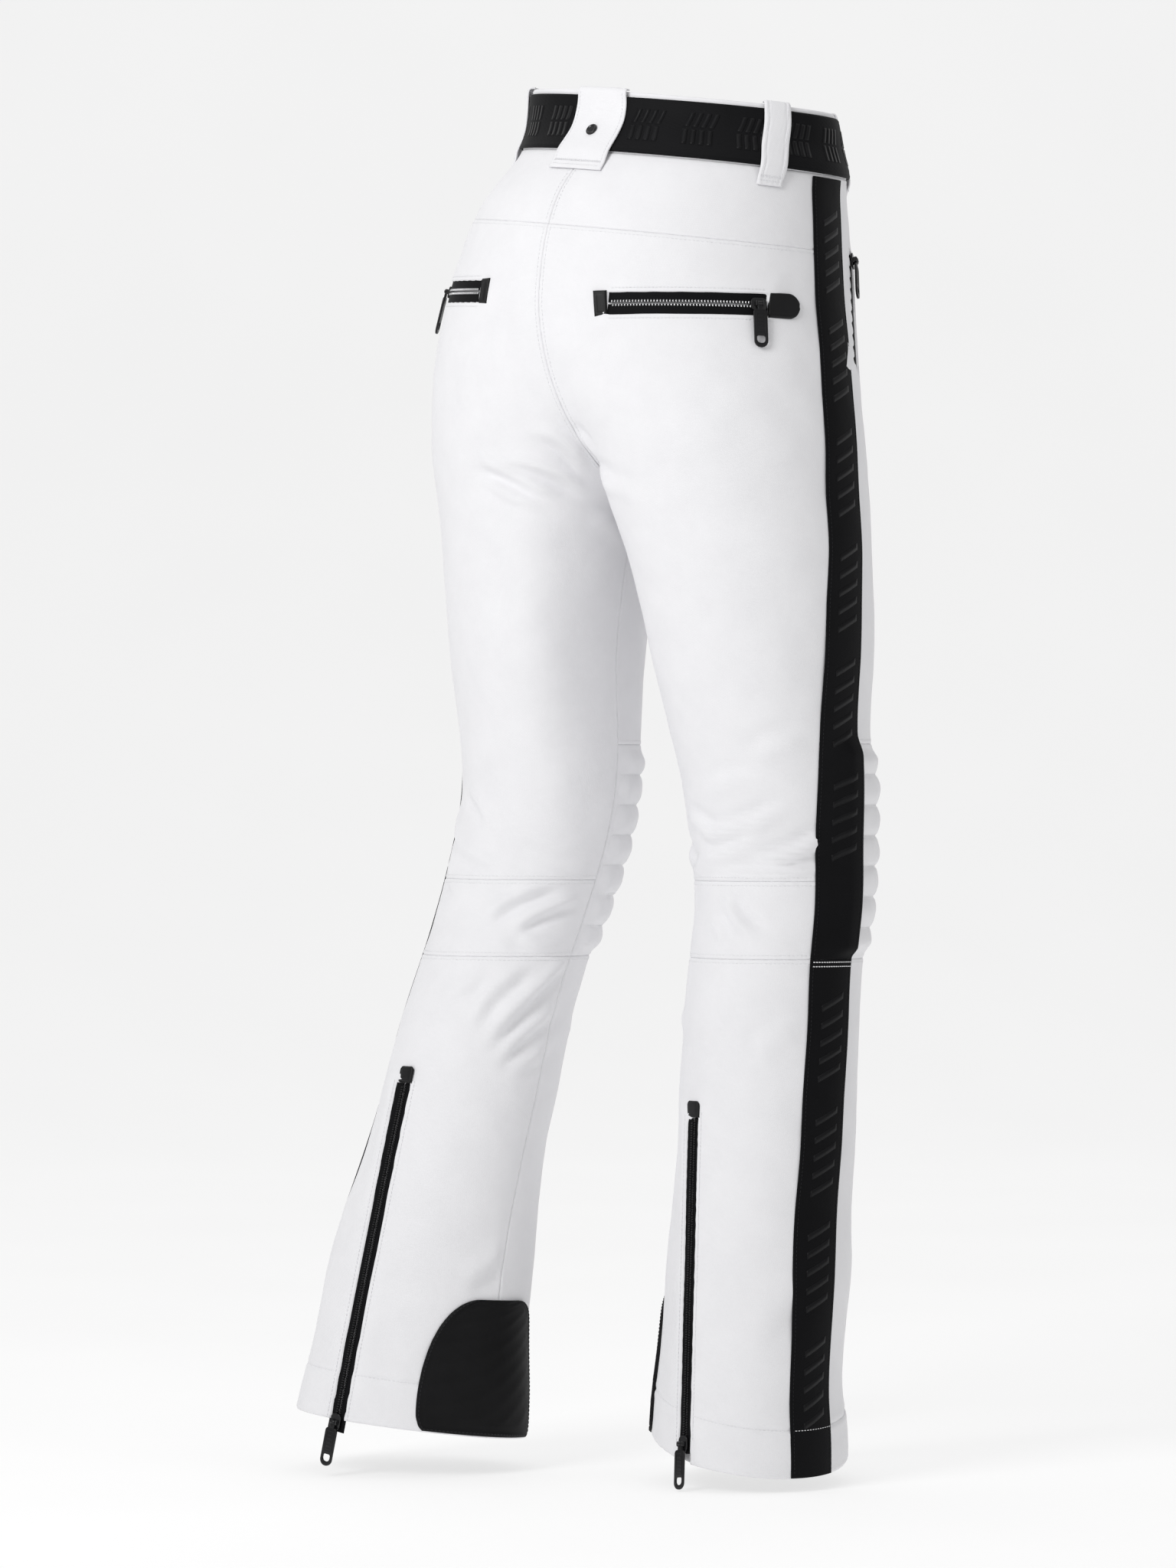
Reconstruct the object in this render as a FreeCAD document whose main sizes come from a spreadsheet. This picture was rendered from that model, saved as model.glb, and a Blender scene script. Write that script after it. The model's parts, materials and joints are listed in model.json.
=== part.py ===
import FreeCAD, Part
import math, os, json
from FreeCAD import Vector, Placement, Rotation, Matrix

# Ski pants. Millimetres. Origin: centre of the waist opening, +Z up, wearer's front towards -Y, wearer's left +X.
# The right leg stands straight, the left leg trails a little behind and outwards.
doc = FreeCAD.newDocument("SkiPants")
sheet = doc.addObject("Spreadsheet::Sheet", "Sizes")
SIZES = [
    ("cloth_thick", 1.4), ("seam_gap", 0.35), ("row_gap", 0.5), ("overlay_gap", 0.3),
    ("band_height", 47.0), ("band_thick", 2.0), ("belt_height", 43.0), ("belt_thick", 2.0), ("belt_drop", 4.0),
    ("belt_offset", 2.5), ("loop_thick", 1.4), ("loop_offset", 5.0), ("loop_width", 19.0), ("loop_reach", 61.0),
    ("back_loop_top", 44.0), ("back_loop_bottom", 55.0), ("snap_radius", 4.6), ("snap_height", 1.6), ("snap_shank", 1.4),
    ("yoke_depth", 103.5), ("waist_roll", 0.125), ("waist_pitch", 0.007),
    ("stripe_width", 39.0), ("stripe_thick", 1.0), ("pad_thick", 6.5), ("knee_top", 482.0), ("knee_seam", 583.0),
    ("knee_bottom", 640.0), ("guard_thick", 1.8), ("facing_height", 80.0), ("facing_thick", 1.0),
    ("tape_thick", 0.8), ("tape_half", 9.0), ("hem_tape_half", 7.6), ("bead_half", 1.1), ("bead_width", 2.4), ("slot_half", 0.75),
    ("slider_long", 12.0), ("slider_wide", 9.0), ("slider_plate", 1.3), ("slider_gap", 1.75), ("post_thick", 0.9), ("post_long", 2.4),
    ("lug_thick", 0.9), ("lug_long", 3.4), ("lug_high", 3.1), ("lug_span", 4.4), ("pin_radius", 0.75), ("pin_high", 5.2), ("eye_radius", 1.6), ("eye_bore", 0.82),
    ("puller_long", 33.0), ("puller_wide", 10.4), ("puller_thick", 1.7), ("puller_neck", 3.9), ("window_long", 5.4), ("window_wide", 6.4),
    ("tab_thick", 1.5), ("tab_long", 9.0), ("garage_long", 26.0), ("cap_long", 12.0), ("cap_wide", 13.0),
    ("buckle_high", 38.0), ("buckle_wide", 22.0), ("buckle_thick", 3.0), ("bar_width", 4.0),
    ("bag_thick", 1.6), ("bag_offset", -6.5), ("placket_thick", 1.2), ("fly_half", 12.0), ("fly_recess", 3.6),
]
for i, (name, value) in enumerate(SIZES):
    sheet.set("A%d" % (i + 1), name)
    sheet.set("B%d" % (i + 1), str(value))
    sheet.setAlias("B%d" % (i + 1), name)
doc.recompute()
G = {name: float(getattr(sheet, name)) for name, _ in SIZES}

# ---------------------------------------------------------------- outer shape of the garment
PHI = math.radians(40.0)
RX, RY = -math.cos(PHI), -math.sin(PHI)
BX, BY = -math.sin(PHI), math.cos(PHI)


def spline(xs, ys):
    n = len(xs)
    h = [xs[i + 1] - xs[i] for i in range(n - 1)]
    al = [0.0] * n
    for i in range(1, n - 1):
        al[i] = 3 * ((ys[i + 1] - ys[i]) / h[i] - (ys[i] - ys[i - 1]) / h[i - 1])
    l, mu, zz = [1.0] * n, [0.0] * n, [0.0] * n
    for i in range(1, n - 1):
        l[i] = 2 * (xs[i + 1] - xs[i - 1]) - h[i - 1] * mu[i - 1]
        mu[i] = h[i] / l[i]
        zz[i] = (al[i] - h[i - 1] * zz[i - 1]) / l[i]
    c, b, d = [0.0] * n, [0.0] * n, [0.0] * n
    for j in range(n - 2, -1, -1):
        c[j] = zz[j] - mu[j] * c[j + 1]
        b[j] = (ys[j + 1] - ys[j]) / h[j] - h[j] * (c[j + 1] + 2 * c[j]) / 3
        d[j] = (c[j + 1] - c[j]) / (3 * h[j])

    def f(x):
        if x <= xs[0]:
            return ys[0] + b[0] * (x - xs[0])
        if x >= xs[-1]:
            t = xs[-1] - xs[-2]
            return ys[-1] + (b[-2] + 2 * c[-2] * t + 3 * d[-2] * t * t) * (x - xs[-1])
        lo, hi = 0, n - 1
        while hi - lo > 1:
            m = (lo + hi) // 2
            if xs[m] <= x:
                lo = m
            else:
                hi = m
        t = x - xs[lo]
        return ys[lo] + t * (b[lo] + t * (c[lo] + t * d[lo]))
    return f


def half_depth(E, C):
    lo, hi = 20.0, 200.0
    for _ in range(40):
        F = (lo + hi) / 2
        hh = ((E - F) / (E + F)) ** 2
        if math.pi * (E + F) * (1 + 3 * hh / (10 + math.sqrt(4 - 3 * hh))) < C:
            lo = F
        else:
            hi = F
    return F


# depth below the waist, sideways centre, half width, aspect, centre X of the pelvis sections
PEL = [(0, 0.5, 110.5, .72, 0.0), (14, 0.2, 111.5, .72, 0.0), (30, -1.0, 115.5, .74, 1.0), (45, -4.0, 121.5, .78, 3.0),
       (61, -8.5, 129.5, .80, 5.0), (72, -12.5, 133.5, .81, 7.0), (95, -17.5, 140.0, .82, 10.0), (118, -21.3, 144.8, .81, 12.0),
       (141, -24.3, 148.6, .79, 13.0), (164, -26.2, 152.0, .77, 14.0), (187, -26.8, 153.8, .76, 14.0), (210, -26.5, 154.8, .76, 14.0),
       (233, -25.5, 155.0, .76, 13.0), (256, -24.0, 155.6, .76, 12.0), (280, -22.5, 157.0, .76, 11.0), (330, -20, 157, .76, 10.0)]
# depth, sideways centre, back centre, half width, girth of the leg sections
RL = [(180, 28, 84, 106, 620), (230, 30.5, 82, 101.5, 610), (265, 34.5, 79, 98.5, 602), (302.6, 39.8, 74, 96.2, 588),
      (340.3, 47.6, 70, 91.0, 570), (371, 52.5, 66, 86.9, 552), (418.6, 58.4, 60, 81.3, 528), (464, 63.5, 57, 74.2, 490),
      (509, 70.4, 53, 70.0, 450), (555, 74.0, 50, 66.6, 420), (600, 74.6, 50, 63.9, 404), (645, 69.2, 55, 62.7, 398),
      (690, 66.0, 59, 64.0, 402), (736, 63.3, 64, 64.3, 408), (781, 61.8, 68, 63.9, 416), (826, 58.3, 72, 65.6, 428),
      (870, 55.6, 77, 66.9, 440), (915, 51.8, 81, 66.0, 454), (960, 48.5, 86, 68.2, 466), (982, 48.6, 88, 70.0, 472),
      (1030, 48, 90, 71, 480)]
LL = [(180, -98, -10, 98, 620), (230, -95.5, -16, 93.5, 610), (265, -95.5, -20, 90.5, 602), (302.6, -96.5, -23, 85.0, 588),
      (340.3, -98.0, -24, 80.2, 570), (371, -99, -24, 76.8, 552), (416.8, -100.0, -24, 72.0, 528), (463, -98.5, -31, 68.3, 490),
      (509, -98.6, -33, 65.0, 450), (556, -105.8, -31, 64.2, 420), (602, -118.8, -25, 62.6, 404), (648, -134.2, -15, 61.6, 398),
      (694, -148.0, -7, 63.1, 402), (739, -158.0, -2, 63.9, 408), (785, -169.4, 4, 66.1, 416), (831, -180.2, 9, 71.1, 428),
      (876, -188.4, 13, 75.4, 440), (922, -194.6, 14, 78.2, 454), (968, -200.4, 15, 84.3, 470), (1010, -205, 16, 87, 480)]
_p = [spline([r[0] for r in PEL], [r[k] for r in PEL]) for k in (1, 2, 3, 4)]


def _legtab(T):
    q = [r[0] for r in T]
    return [spline(q, [r[1] for r in T]), spline(q, [r[2] for r in T]), spline(q, [r[3] for r in T]),
            spline(q, [half_depth(r[3], r[4]) for r in T])]


_l = {-1: _legtab(RL), 1: _legtab(LL)}
KS, KM, Q0, YM, RU = 14.0, 22.0, 292.0, 40.0, 70.0


def smooth(a, b, x):
    t = min(1.0, max(0.0, (x - a) / (b - a)))
    return t * t * (3 - 2 * t)


def pel(q):
    s, E, asp, xc = [f(q) for f in _p]
    ax = E / math.sqrt(math.cos(PHI) ** 2 + (asp * math.sin(PHI)) ** 2)
    return xc, (-s - xc * math.cos(PHI)) / math.sin(PHI), ax, asp * ax


def leg(side, q):
    s, d, E, F = [f(q) for f in _l[side]]
    return s * RX + d * BX, s * RY + d * BY, E, F


def centre(side, q):
    px, py, ax, ay = pel(min(q, 330.0))
    lx, ly, E, F = leg(side, max(q, 180.0))
    w = smooth(60.0, 320.0, q)
    return (px + side * 0.5 * ax) * (1 - w) + lx * w, py * (1 - w) + ly * w


_cache = {}


def level(q):
    k = round(q, 5)
    if k not in _cache:
        if len(_cache) > 200000:
            _cache.clear()
        a, b = centre(1, q), centre(-1, q)
        _cache[k] = (pel(min(q, 330.0)), leg(1, max(q, 180.0)), leg(-1, max(q, 180.0)), smooth(150.0, 285.0, q), q, (a[0] + b[0]) / 2)
    return _cache[k]


def fval(x, y, L):
    P, Lf, Rt, w = L[:4]
    f0 = 0.0
    if w < 1.0:
        p = (x - P[0]) / P[2]
        r = (y - P[1]) / P[3]
        f0 = (math.sqrt(p * p + r * r) - 1) * math.sqrt(P[2] * P[3])
        if w <= 0:
            return f0
    gap = 24.0 * math.tanh((L[4] - (Q0 - (y - YM) ** 2 / (2 * RU))) / 95.0)
    v = []
    for sd, g in ((1, Lf), (-1, Rt)):
        dx, dy = x - g[0], y - g[1]
        p = (dx * RX + dy * RY) / g[2]
        r = (dx * BX + dy * BY) / g[3]
        e = (math.sqrt(p * p + r * r) - 1) * math.sqrt(g[2] * g[3])
        hs = gap - sd * (x - L[5])
        hk = max(KM - abs(e - hs), 0) / KM
        v.append(max(e, hs) + hk * hk * KM / 4)
    a, b = v
    hh = max(KS - abs(a - b), 0) / KS
    return f0 * (1 - w) + (min(a, b) - hh * hh * KS / 4) * w


def radius(side, q, th):
    L, c = level(q), centre(side, q)
    dx, dy = side * math.cos(th), math.sin(th)
    r0 = 20.0
    r1 = r0
    # a ray towards the other leg stops at the plane between the legs
    stop = (L[5] - c[0]) / dx if dx * side < -1e-6 else 1e9
    while r1 < 330:
        r1 = min(r1 + 12.0, stop)
        if fval(c[0] + dx * r1, c[1] + dy * r1, L) > 0:
            break
        if r1 >= stop:
            return stop
        r0 = r1
    for _ in range(28):
        m = (r0 + r1) / 2
        if fval(c[0] + dx * m, c[1] + dy * m, L) > 0:
            r1 = m
        else:
            r0 = m
    return (r0 + r1) / 2


def skin(side, q, th, off=0.0):
    """point on the cloth at depth q and angle th (0 outer side, + to the back), moved out by off along the true normal"""
    c, r = centre(side, q), radius(side, q, th)
    x, y = c[0] + side * math.cos(th) * r, c[1] + math.sin(th) * r
    if off:
        nx, ny, nz = normal(x, y, q)
        return Vector(x + nx * off, y + ny * off, -q + nz * off)
    return Vector(x, y, -q)


def normal(x, y, q):
    e = 0.5
    L = level(q)
    gx = fval(x + e, y, L) - fval(x - e, y, L)
    gy = fval(x, y + e, L) - fval(x, y - e, L)
    gq = fval(x, y, level(q + e)) - fval(x, y, level(q - e))
    m = math.sqrt(gx * gx + gy * gy + gq * gq)
    return gx / m, gy / m, -gq / m


def seam(q, front):
    """centre seam crossing at depth q, or None below the crotch"""
    L = level(q)
    x = L[5]
    a, b = centre(1, q), centre(-1, q)
    ym = (a[1] + b[1]) / 2
    y0 = min([ym + k * 4.0 for k in range(-20, 21)], key=lambda y: fval(x, y, L))
    if fval(x, y0, L) >= 0:
        return None
    sg = -1 if front else 1
    y1 = y0
    while fval(x, y1, L) < 0:
        y1 += sg * 6
    lo, hi = y1 - sg * 6, y1
    for _ in range(30):
        m = (lo + hi) / 2
        if fval(x, m, L) < 0:
            lo = m
        else:
            hi = m
    return x, (lo + hi) / 2


def seam_angle(side, q, front):
    s = seam(q, front)
    if s is None:
        return inseam(side, q) - (2 * math.pi if front else 0.0)
    c = centre(side, q)
    a = math.atan2(s[1] - c[1], side * (s[0] - c[0]))
    if front:
        return a if a <= 0 else a - 2 * math.pi
    return a if a >= 0 else a + 2 * math.pi


lo, hi = 280.0, 330.0
for _ in range(30):
    m = (lo + hi) / 2
    if seam(m, True) is None:
        hi = m
    else:
        lo = m
Q_CROTCH = lo
Y_CROTCH = seam(lo - 0.02, True)[1] * 0.5 + seam(lo - 0.02, False)[1] * 0.5

INNER = {}
for sd in (1, -1):
    c = centre(sd, Q_CROTCH)
    a = math.atan2(Y_CROTCH - c[1], sd * (level(Q_CROTCH)[5] - c[0]))
    INNER[sd] = a if a > 0 else a + 2 * math.pi


def inseam(side, q):
    """angle of the inner leg seam below the crotch"""
    return math.pi + (INNER[side] - math.pi) * (1 - smooth(Q_CROTCH, Q_CROTCH + 170.0, q))


_st = spline([0, 50, 100, 150, 200, 245, 290, 335, 380, 420, 465, 510, 555, 600, 645, 690, 735, 780, 825, 870, 915, 1010],
             [-7, -9, -11, -12, -9.5, -6, -4, -1, 3.5, 6.5, 10, 13, 14.5, 14, 12, 11, 12.5, 14.5, 16.3, 16.6, 16, 15.5])


def stripe_angle(q):
    return math.radians(_st(q))


# hem planes: centre point, depth there and the slopes
HEM = {}
for sd, s, d, z, gx, gy in ((-1, 49.3, 88.0, 996.9, 0.2, -0.061), (1, -202.9, 15.0, 988.9, 0.085, 0.098)):
    HEM[sd] = (s * RX + d * BX, s * RY + d * BY, z, gx, gy)


def hem_depth(side, x, y):
    h = HEM[side]
    return h[2] - h[3] * (x - h[0]) - h[4] * (y - h[1])


def depth_at(side, th, hgt):
    """true depth of a garment level: levels follow the waist at the top, are level in between and follow the hem below"""
    q = hgt
    for _ in range(4):
        c, r = centre(side, q), radius(side, q, th)
        x, y = c[0] + side * math.cos(th) * r, c[1] + math.sin(th) * r
        if hgt < 300:
            q = hgt - (G["waist_roll"] * x + G["waist_pitch"] * y) * (1 - smooth(110, 300, hgt))
        elif hgt > G["knee_bottom"]:
            k = (hgt - G["knee_bottom"]) / (HEM[side][2] - G["knee_bottom"])
            q = hgt + k * (hem_depth(side, x, y) - HEM[side][2])
        else:
            return hgt
    return q


# ---------------------------------------------------------------- solids from point grids
def face_of(grid):
    s = Part.BSplineSurface()
    s.interpolate(grid)
    return s.toShape()


def solid_of(outer, inner, label):
    a, b = face_of(outer), face_of(inner)
    nu, nv = len(outer), len(outer[0])
    sides = []

    def bound(surf_face, which, grid):
        s = surf_face.Surface
        u0, u1, v0, v1 = s.bounds()
        c = {"u0": lambda: s.uIso(u0), "u1": lambda: s.uIso(u1), "v0": lambda: s.vIso(v0), "v1": lambda: s.vIso(v1)}[which]()
        return c.toShape()
    for w in ("u0", "u1", "v0", "v1"):
        sides.append(Part.makeRuledSurface(bound(a, w, outer), bound(b, w, inner), 1))
    faces = [a, b] + [f for sh in sides for f in sh.Faces]
    sewn = Part.makeCompound(faces)
    shell = Part.makeShell(sewn.Faces)
    shell.sewShape()
    if shell.ShapeType != "Shell":
        shell = shell.Shells[0]
    sol = Part.makeSolid(shell)
    if sol.Volume < 0:
        sol.reverse()
    sol = sol.removeSplitter() if False else sol
    if sol.isNull() or not sol.isValid() or sol.Volume <= 0:
        raise RuntimeError("bad solid %s valid %s volume %.1f closed %s" % (label, sol.isValid(), sol.Volume, shell.isClosed()))
    return sol


def sheet_solid(label, rows, o1, o2):
    """rows: list of rows of (side, q, th) ; the sheet lies between offsets o1 and o2 (numbers, or functions of row and column fractions)"""
    nv, nu = len(rows), len(rows[0])
    A, B = [], []
    for i, row in enumerate(rows):
        ra, rb = [], []
        for j, (sd, q, th) in enumerate(row):
            a = o1(i / (nv - 1), j / (nu - 1)) if callable(o1) else o1
            b = o2(i / (nv - 1), j / (nu - 1)) if callable(o2) else o2
            p = skin(sd, q, th)
            n = normal(p.x, p.y, q)
            ra.append(Vector(p.x + n[0] * b, p.y + n[1] * b, p.z + n[2] * b))
            rb.append(Vector(p.x + n[0] * a, p.y + n[1] * a, p.z + n[2] * a))
        A.append(ra)
        B.append(rb)
    return solid_of(A, B, label)


NODES = {}


def feature(label, shape, cuts=()):
    for tool in cuts:
        shape = shape.cut(tool)
    if cuts:
        shape = Part.makeCompound([x for x in shape.Solids if x.Volume > 50.0]) if len(shape.Solids) > 1 else shape.Solids[0]
        print("CUT", label, [round(x.Volume) for x in shape.Solids], shape.isValid())
    o = doc.addObject("Part::Feature", label)
    o.Label = label
    o.Shape = shape
    o.Placement = Placement()
    NODES[label] = o
    return o


def lerp(a, b, t):
    return a + (b - a) * t


def inner_path(side, front, h0, q_end, step=15.0):
    """depths and angles down the centre seam, round the crotch point and down the inner leg seam"""
    q_start = depth_at(side, seam_angle(side, h0, front), h0)
    pts = []
    n = 260
    for k in range(n + 1):
        t = k / n
        q = lerp(q_start, Q_CROTCH - 0.02, 1 - (1 - t) ** 2)
        s = seam(q, front)
        pts.append((s[1], q))
    cum = [0.0]
    for a, b in zip(pts, pts[1:]):
        cum.append(cum[-1] + math.dist(a, b))
    total = cum[-1] + abs(pts[-1][0] - Y_CROTCH)
    R = 7.0
    out = []

    def at(sv):
        if sv >= cum[-1]:
            return Q_CROTCH - 0.02
        for i in range(1, len(cum)):
            if cum[i] >= sv:
                t = (sv - cum[i - 1]) / (cum[i] - cum[i - 1])
                return lerp(pts[i - 1][1], pts[i][1], t)
    stop = total - R
    ncoarse = max(4, int((stop - 10) / step))
    svals = [(stop - 10) * k / ncoarse for k in range(ncoarse + 1)] + [stop - 5.0, stop]
    for sv in svals:
        q = at(sv)
        out.append((q, seam_angle(side, q, front), sv))
    qa, ta = out[-1][0], out[-1][1]
    sgn = -1 if front else 1
    wrap = 2 * math.pi if front else 0.0
    tc = inseam(side, Q_CROTCH) - wrap
    te = inseam(side, Q_CROTCH + R) - wrap
    for k in (1, 2, 3, 4):
        t = k / 4
        th = (1 - t) ** 2 * ta + 2 * t * (1 - t) * tc + t * t * te
        q = (1 - t) ** 2 * qa + 2 * t * (1 - t) * Q_CROTCH + t * t * (Q_CROTCH + R)
        out.append((q, th, stop + 2 * R * t * 0.8))
    s_corner = out[-1][2]
    rest = q_end - (Q_CROTCH + R)
    if rest > 0:
        first = [5.0] + []
        nrest = max(3, int((rest - 5) / 20))
        for dd in first + [5 + (rest - 5) * (k + 1) / nrest for k in range(nrest)]:
            out.append((Q_CROTCH + R + dd, inseam(side, Q_CROTCH + R + dd) - wrap, s_corner + dd))
    return out, s_corner


def leg_rows(side, front, h0, q_end, ncol=15):
    path, s_corner = inner_path(side, front, h0, q_end)
    s_end = path[-1][2]
    sgn = -1 if front else 1
    rows = []
    for q_i, th_i, sv in path:
        if sv <= s_corner:
            h_o = lerp(h0, Q_CROTCH + 7.0, sv / s_corner)
        else:
            h_o = lerp(Q_CROTCH + 7.0, q_end, (sv - s_corner) / (s_end - s_corner))
        row = []
        gap_i = G["seam_gap"] / max(20.0, radius(side, q_i, th_i))
        th_in = th_i - sgn * gap_i
        for j in range(ncol):
            u = j / (ncol - 1)
            q_o = depth_at(side, 0.1, h_o)
            th_o = stripe_angle(q_o)
            th_o += sgn * G["seam_gap"] / radius(side, q_o, th_o)
            th = lerp(th_o, th_in, u)
            q_lev = depth_at(side, th, h_o)
            w = u * u
            q = q_lev + (q_i - depth_at(side, th_i, h_o)) * w
            if j == ncol - 1:
                q = q_i
            row.append((side, q, th))
        rows.append(row)
    return rows


def tube_rows(side, tha, thb, ha, hb, nrow, ncol, gap=True):
    """rows between garment levels ha and hb; tha and thb are functions of the depth"""
    rows = []
    for i in range(nrow):
        hg = lerp(ha, hb, i / (nrow - 1))
        row = []
        for j in range(ncol):
            u = j / (ncol - 1)
            q = hg
            for _ in range(3):
                a, b = tha(q), thb(q)
                th = lerp(a, b, u)
                q = depth_at(side, th, hg)
            row.append((side, q, th))
        rows.append(row)
    return rows


def edge_angle(side, base, sgn, extra=0.0):
    """an angle function moved by the seam gap (or extra mm) away from base"""
    def f(q):
        a = base(q)
        return a + sgn * (G["seam_gap"] + extra) / radius(side, q, a)
    return f


SIDE_NAME = {1: "left", -1: "right"}
T = G["cloth_thick"]
RG = G["row_gap"] / 2
HB = G["band_height"]

# ---------------------------------------------------------------- zip frames
def unit(v):
    return v.multiply(1.0 / v.Length)


def circle3(a, b, c):
    ab, ac = b - a, c - a
    n = ab.cross(ac)
    d = 2 * n.dot(n)
    o = (n.cross(ab) * ac.dot(ac) + ac.cross(n) * ab.dot(ab)) * (1.0 / d)
    return a + o, o.Length


def frame(o, x, z):
    x, z = unit(Vector(x)), Vector(z)
    z = unit(z - x * z.dot(x))
    y = z.cross(x)
    return Placement(Matrix(x.x, y.x, z.x, o.x, x.y, y.y, z.y, o.y, x.z, y.z, z.z, o.z, 0, 0, 0, 1))


def surf(side, q, th, off):
    p = skin(side, q, math.radians(th))
    n = normal(p.x, p.y, q)
    return p + Vector(*n) * off


class Zip:
    """a chain along a circular arc: from its closed end p0 towards its open end p1"""
    def __init__(self, p0, pm, p1, out):
        self.c, self.r = circle3(p0, pm, p1)
        e0 = unit(p0 - self.c)
        n = unit((p0 - self.c).cross(p1 - self.c))
        self.sgn = 1 if unit(pm - self.c).dot(out) > 0 else -1      # +1: the centre is on the wearer's side
        self.n, self.e0 = n, e0
        e1 = n.cross(e0)
        v = p1 - self.c
        self.angle = math.degrees(math.atan2(v.dot(e1), v.dot(e0)))
        self.length = math.radians(self.angle) * self.r
        self.place = frame(self.c, e0, n)
        em = unit(pm - self.c) * self.sgn
        # the tape leans about the chain so that it lies flat on the cloth
        self.lean = math.atan2(out.dot(n), out.dot(em))
        self.turn = self.sgn * self.lean

    def spot(self, across, high=0.0):
        """sketch offsets (radius, axis) of a point this far across the tape and this far outwards along the radius"""
        c, s = math.cos(self.turn), math.sin(self.turn)
        return self.r + high * c - s * across, high * s + c * across

    def tilt(self):
        return Rotation(Vector(0, 0, 1), math.degrees(self.turn))

    def at(self, mm):
        a = mm / self.r
        e1 = self.n.cross(self.e0)
        e = self.e0 * math.cos(a) + e1 * math.sin(a)
        t = e1 * math.cos(a) - self.e0 * math.sin(a)
        return self.c + e * self.r, t, e * (self.sgn * math.cos(self.lean)) + self.n * math.sin(self.lean)


def body(label):
    b = doc.addObject("PartDesign::Body", label)
    b.Label = label
    NODES[label] = b
    return b


def plane(b, role):
    for o in b.Origin.OriginFeatures:
        if getattr(o, "Role", "") == role:
            return o
    raise RuntimeError(role)


def sketch(b, name, role="XY_Plane", off=(0, 0, 0), rot=None):
    sk = b.newObject("Sketcher::SketchObject", b.Name + "_" + name)
    sk.AttachmentSupport = (plane(b, role), [""])
    sk.MapMode = "FlatFace"
    sk.AttachmentOffset = Placement(Vector(*off), rot or Rotation())
    return sk


def rect(sk, w, h):
    """rectangle centred on the sketch origin, its sides bound to sheet expressions"""
    import Sketcher
    a, c = 5.0, 3.0
    P = [Vector(-a, -c, 0), Vector(a, -c, 0), Vector(a, c, 0), Vector(-a, c, 0)]
    for i in range(4):
        sk.addGeometry(Part.LineSegment(P[i], P[(i + 1) % 4]), False)
    for i in range(4):
        sk.addConstraint(Sketcher.Constraint("Coincident", i, 2, (i + 1) % 4, 1))
    for i, k in ((0, "Horizontal"), (2, "Horizontal"), (1, "Vertical"), (3, "Vertical")):
        sk.addConstraint(Sketcher.Constraint(k, i))
    sk.addConstraint(Sketcher.Constraint("Symmetric", 0, 1, 2, 1, -1, 1))
    k = sk.addConstraint(Sketcher.Constraint("DistanceX", 0, 1, 0, 2, 2 * a))
    sk.setExpression("Constraints[%d]" % k, w)
    k = sk.addConstraint(Sketcher.Constraint("DistanceY", 1, 1, 1, 2, 2 * c))
    sk.setExpression("Constraints[%d]" % k, h)


def circle(sk, r):
    import Sketcher
    sk.addGeometry(Part.Circle(Vector(0, 0, 0), Vector(0, 0, 1), 2.0), False)
    sk.addConstraint(Sketcher.Constraint("Coincident", 0, 3, -1, 1))
    k = sk.addConstraint(Sketcher.Constraint("Radius", 0, 2.0))
    sk.setExpression("Constraints[%d]" % k, r)


def pad(b, sk, name, length, mid=False, rev=False):
    f = b.newObject("PartDesign::Pad", b.Name + "_" + name)
    f.Profile = sk
    f.setExpression("Length", length)
    f.Midplane = mid
    f.Reversed = rev
    b.Tip = f
    return f


def pocket(b, sk, name, length, mid=False, rev=False):
    f = b.newObject("PartDesign::Pocket", b.Name + "_" + name)
    f.Profile = sk
    f.setExpression("Length", length)
    f.Midplane = mid
    f.Reversed = rev
    b.Tip = f
    return f


def zip_slider(label, pl, chain_along_x):
    """local X: the way the puller hangs, local Y: the puller's pin, local Z: away from the cloth"""
    S = "Sizes."
    b = body(label)
    lx, ly = (S + "slider_long", S + "slider_wide") if chain_along_x else (S + "slider_wide", S + "slider_long")
    px, py = (S + "post_long", S + "post_thick") if chain_along_x else (S + "post_thick", S + "post_long")
    sk = sketch(b, "post")
    rect(sk, px, py)
    pad(b, sk, "post_pad", "2 * (Sizes.slider_gap + Sizes.slider_plate)", mid=True)
    for name, z in (("top", G["slider_gap"]), ("under", -G["slider_gap"] - G["slider_plate"])):
        sk = sketch(b, name, off=(0, 0, z))
        rect(sk, lx, ly)
        pad(b, sk, name + "_pad", "Sizes.slider_plate")
    for k, s in enumerate((1, -1)):
        sk = sketch(b, "lug%d" % k, off=(0, s * (G["lug_span"] + G["lug_thick"]) / 2, G["slider_gap"] + G["slider_plate"] - 0.1))
        rect(sk, S + "lug_long", S + "lug_thick")
        pad(b, sk, "lug_pad%d" % k, "Sizes.lug_high + 0.1")
    sk = sketch(b, "pin", "XZ_Plane", off=(0, G["pin_high"], 0))
    circle(sk, S + "pin_radius")
    pad(b, sk, "pin_pad", "Sizes.lug_span + Sizes.lug_thick", mid=True)
    b.Placement = pl
    return b


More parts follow.
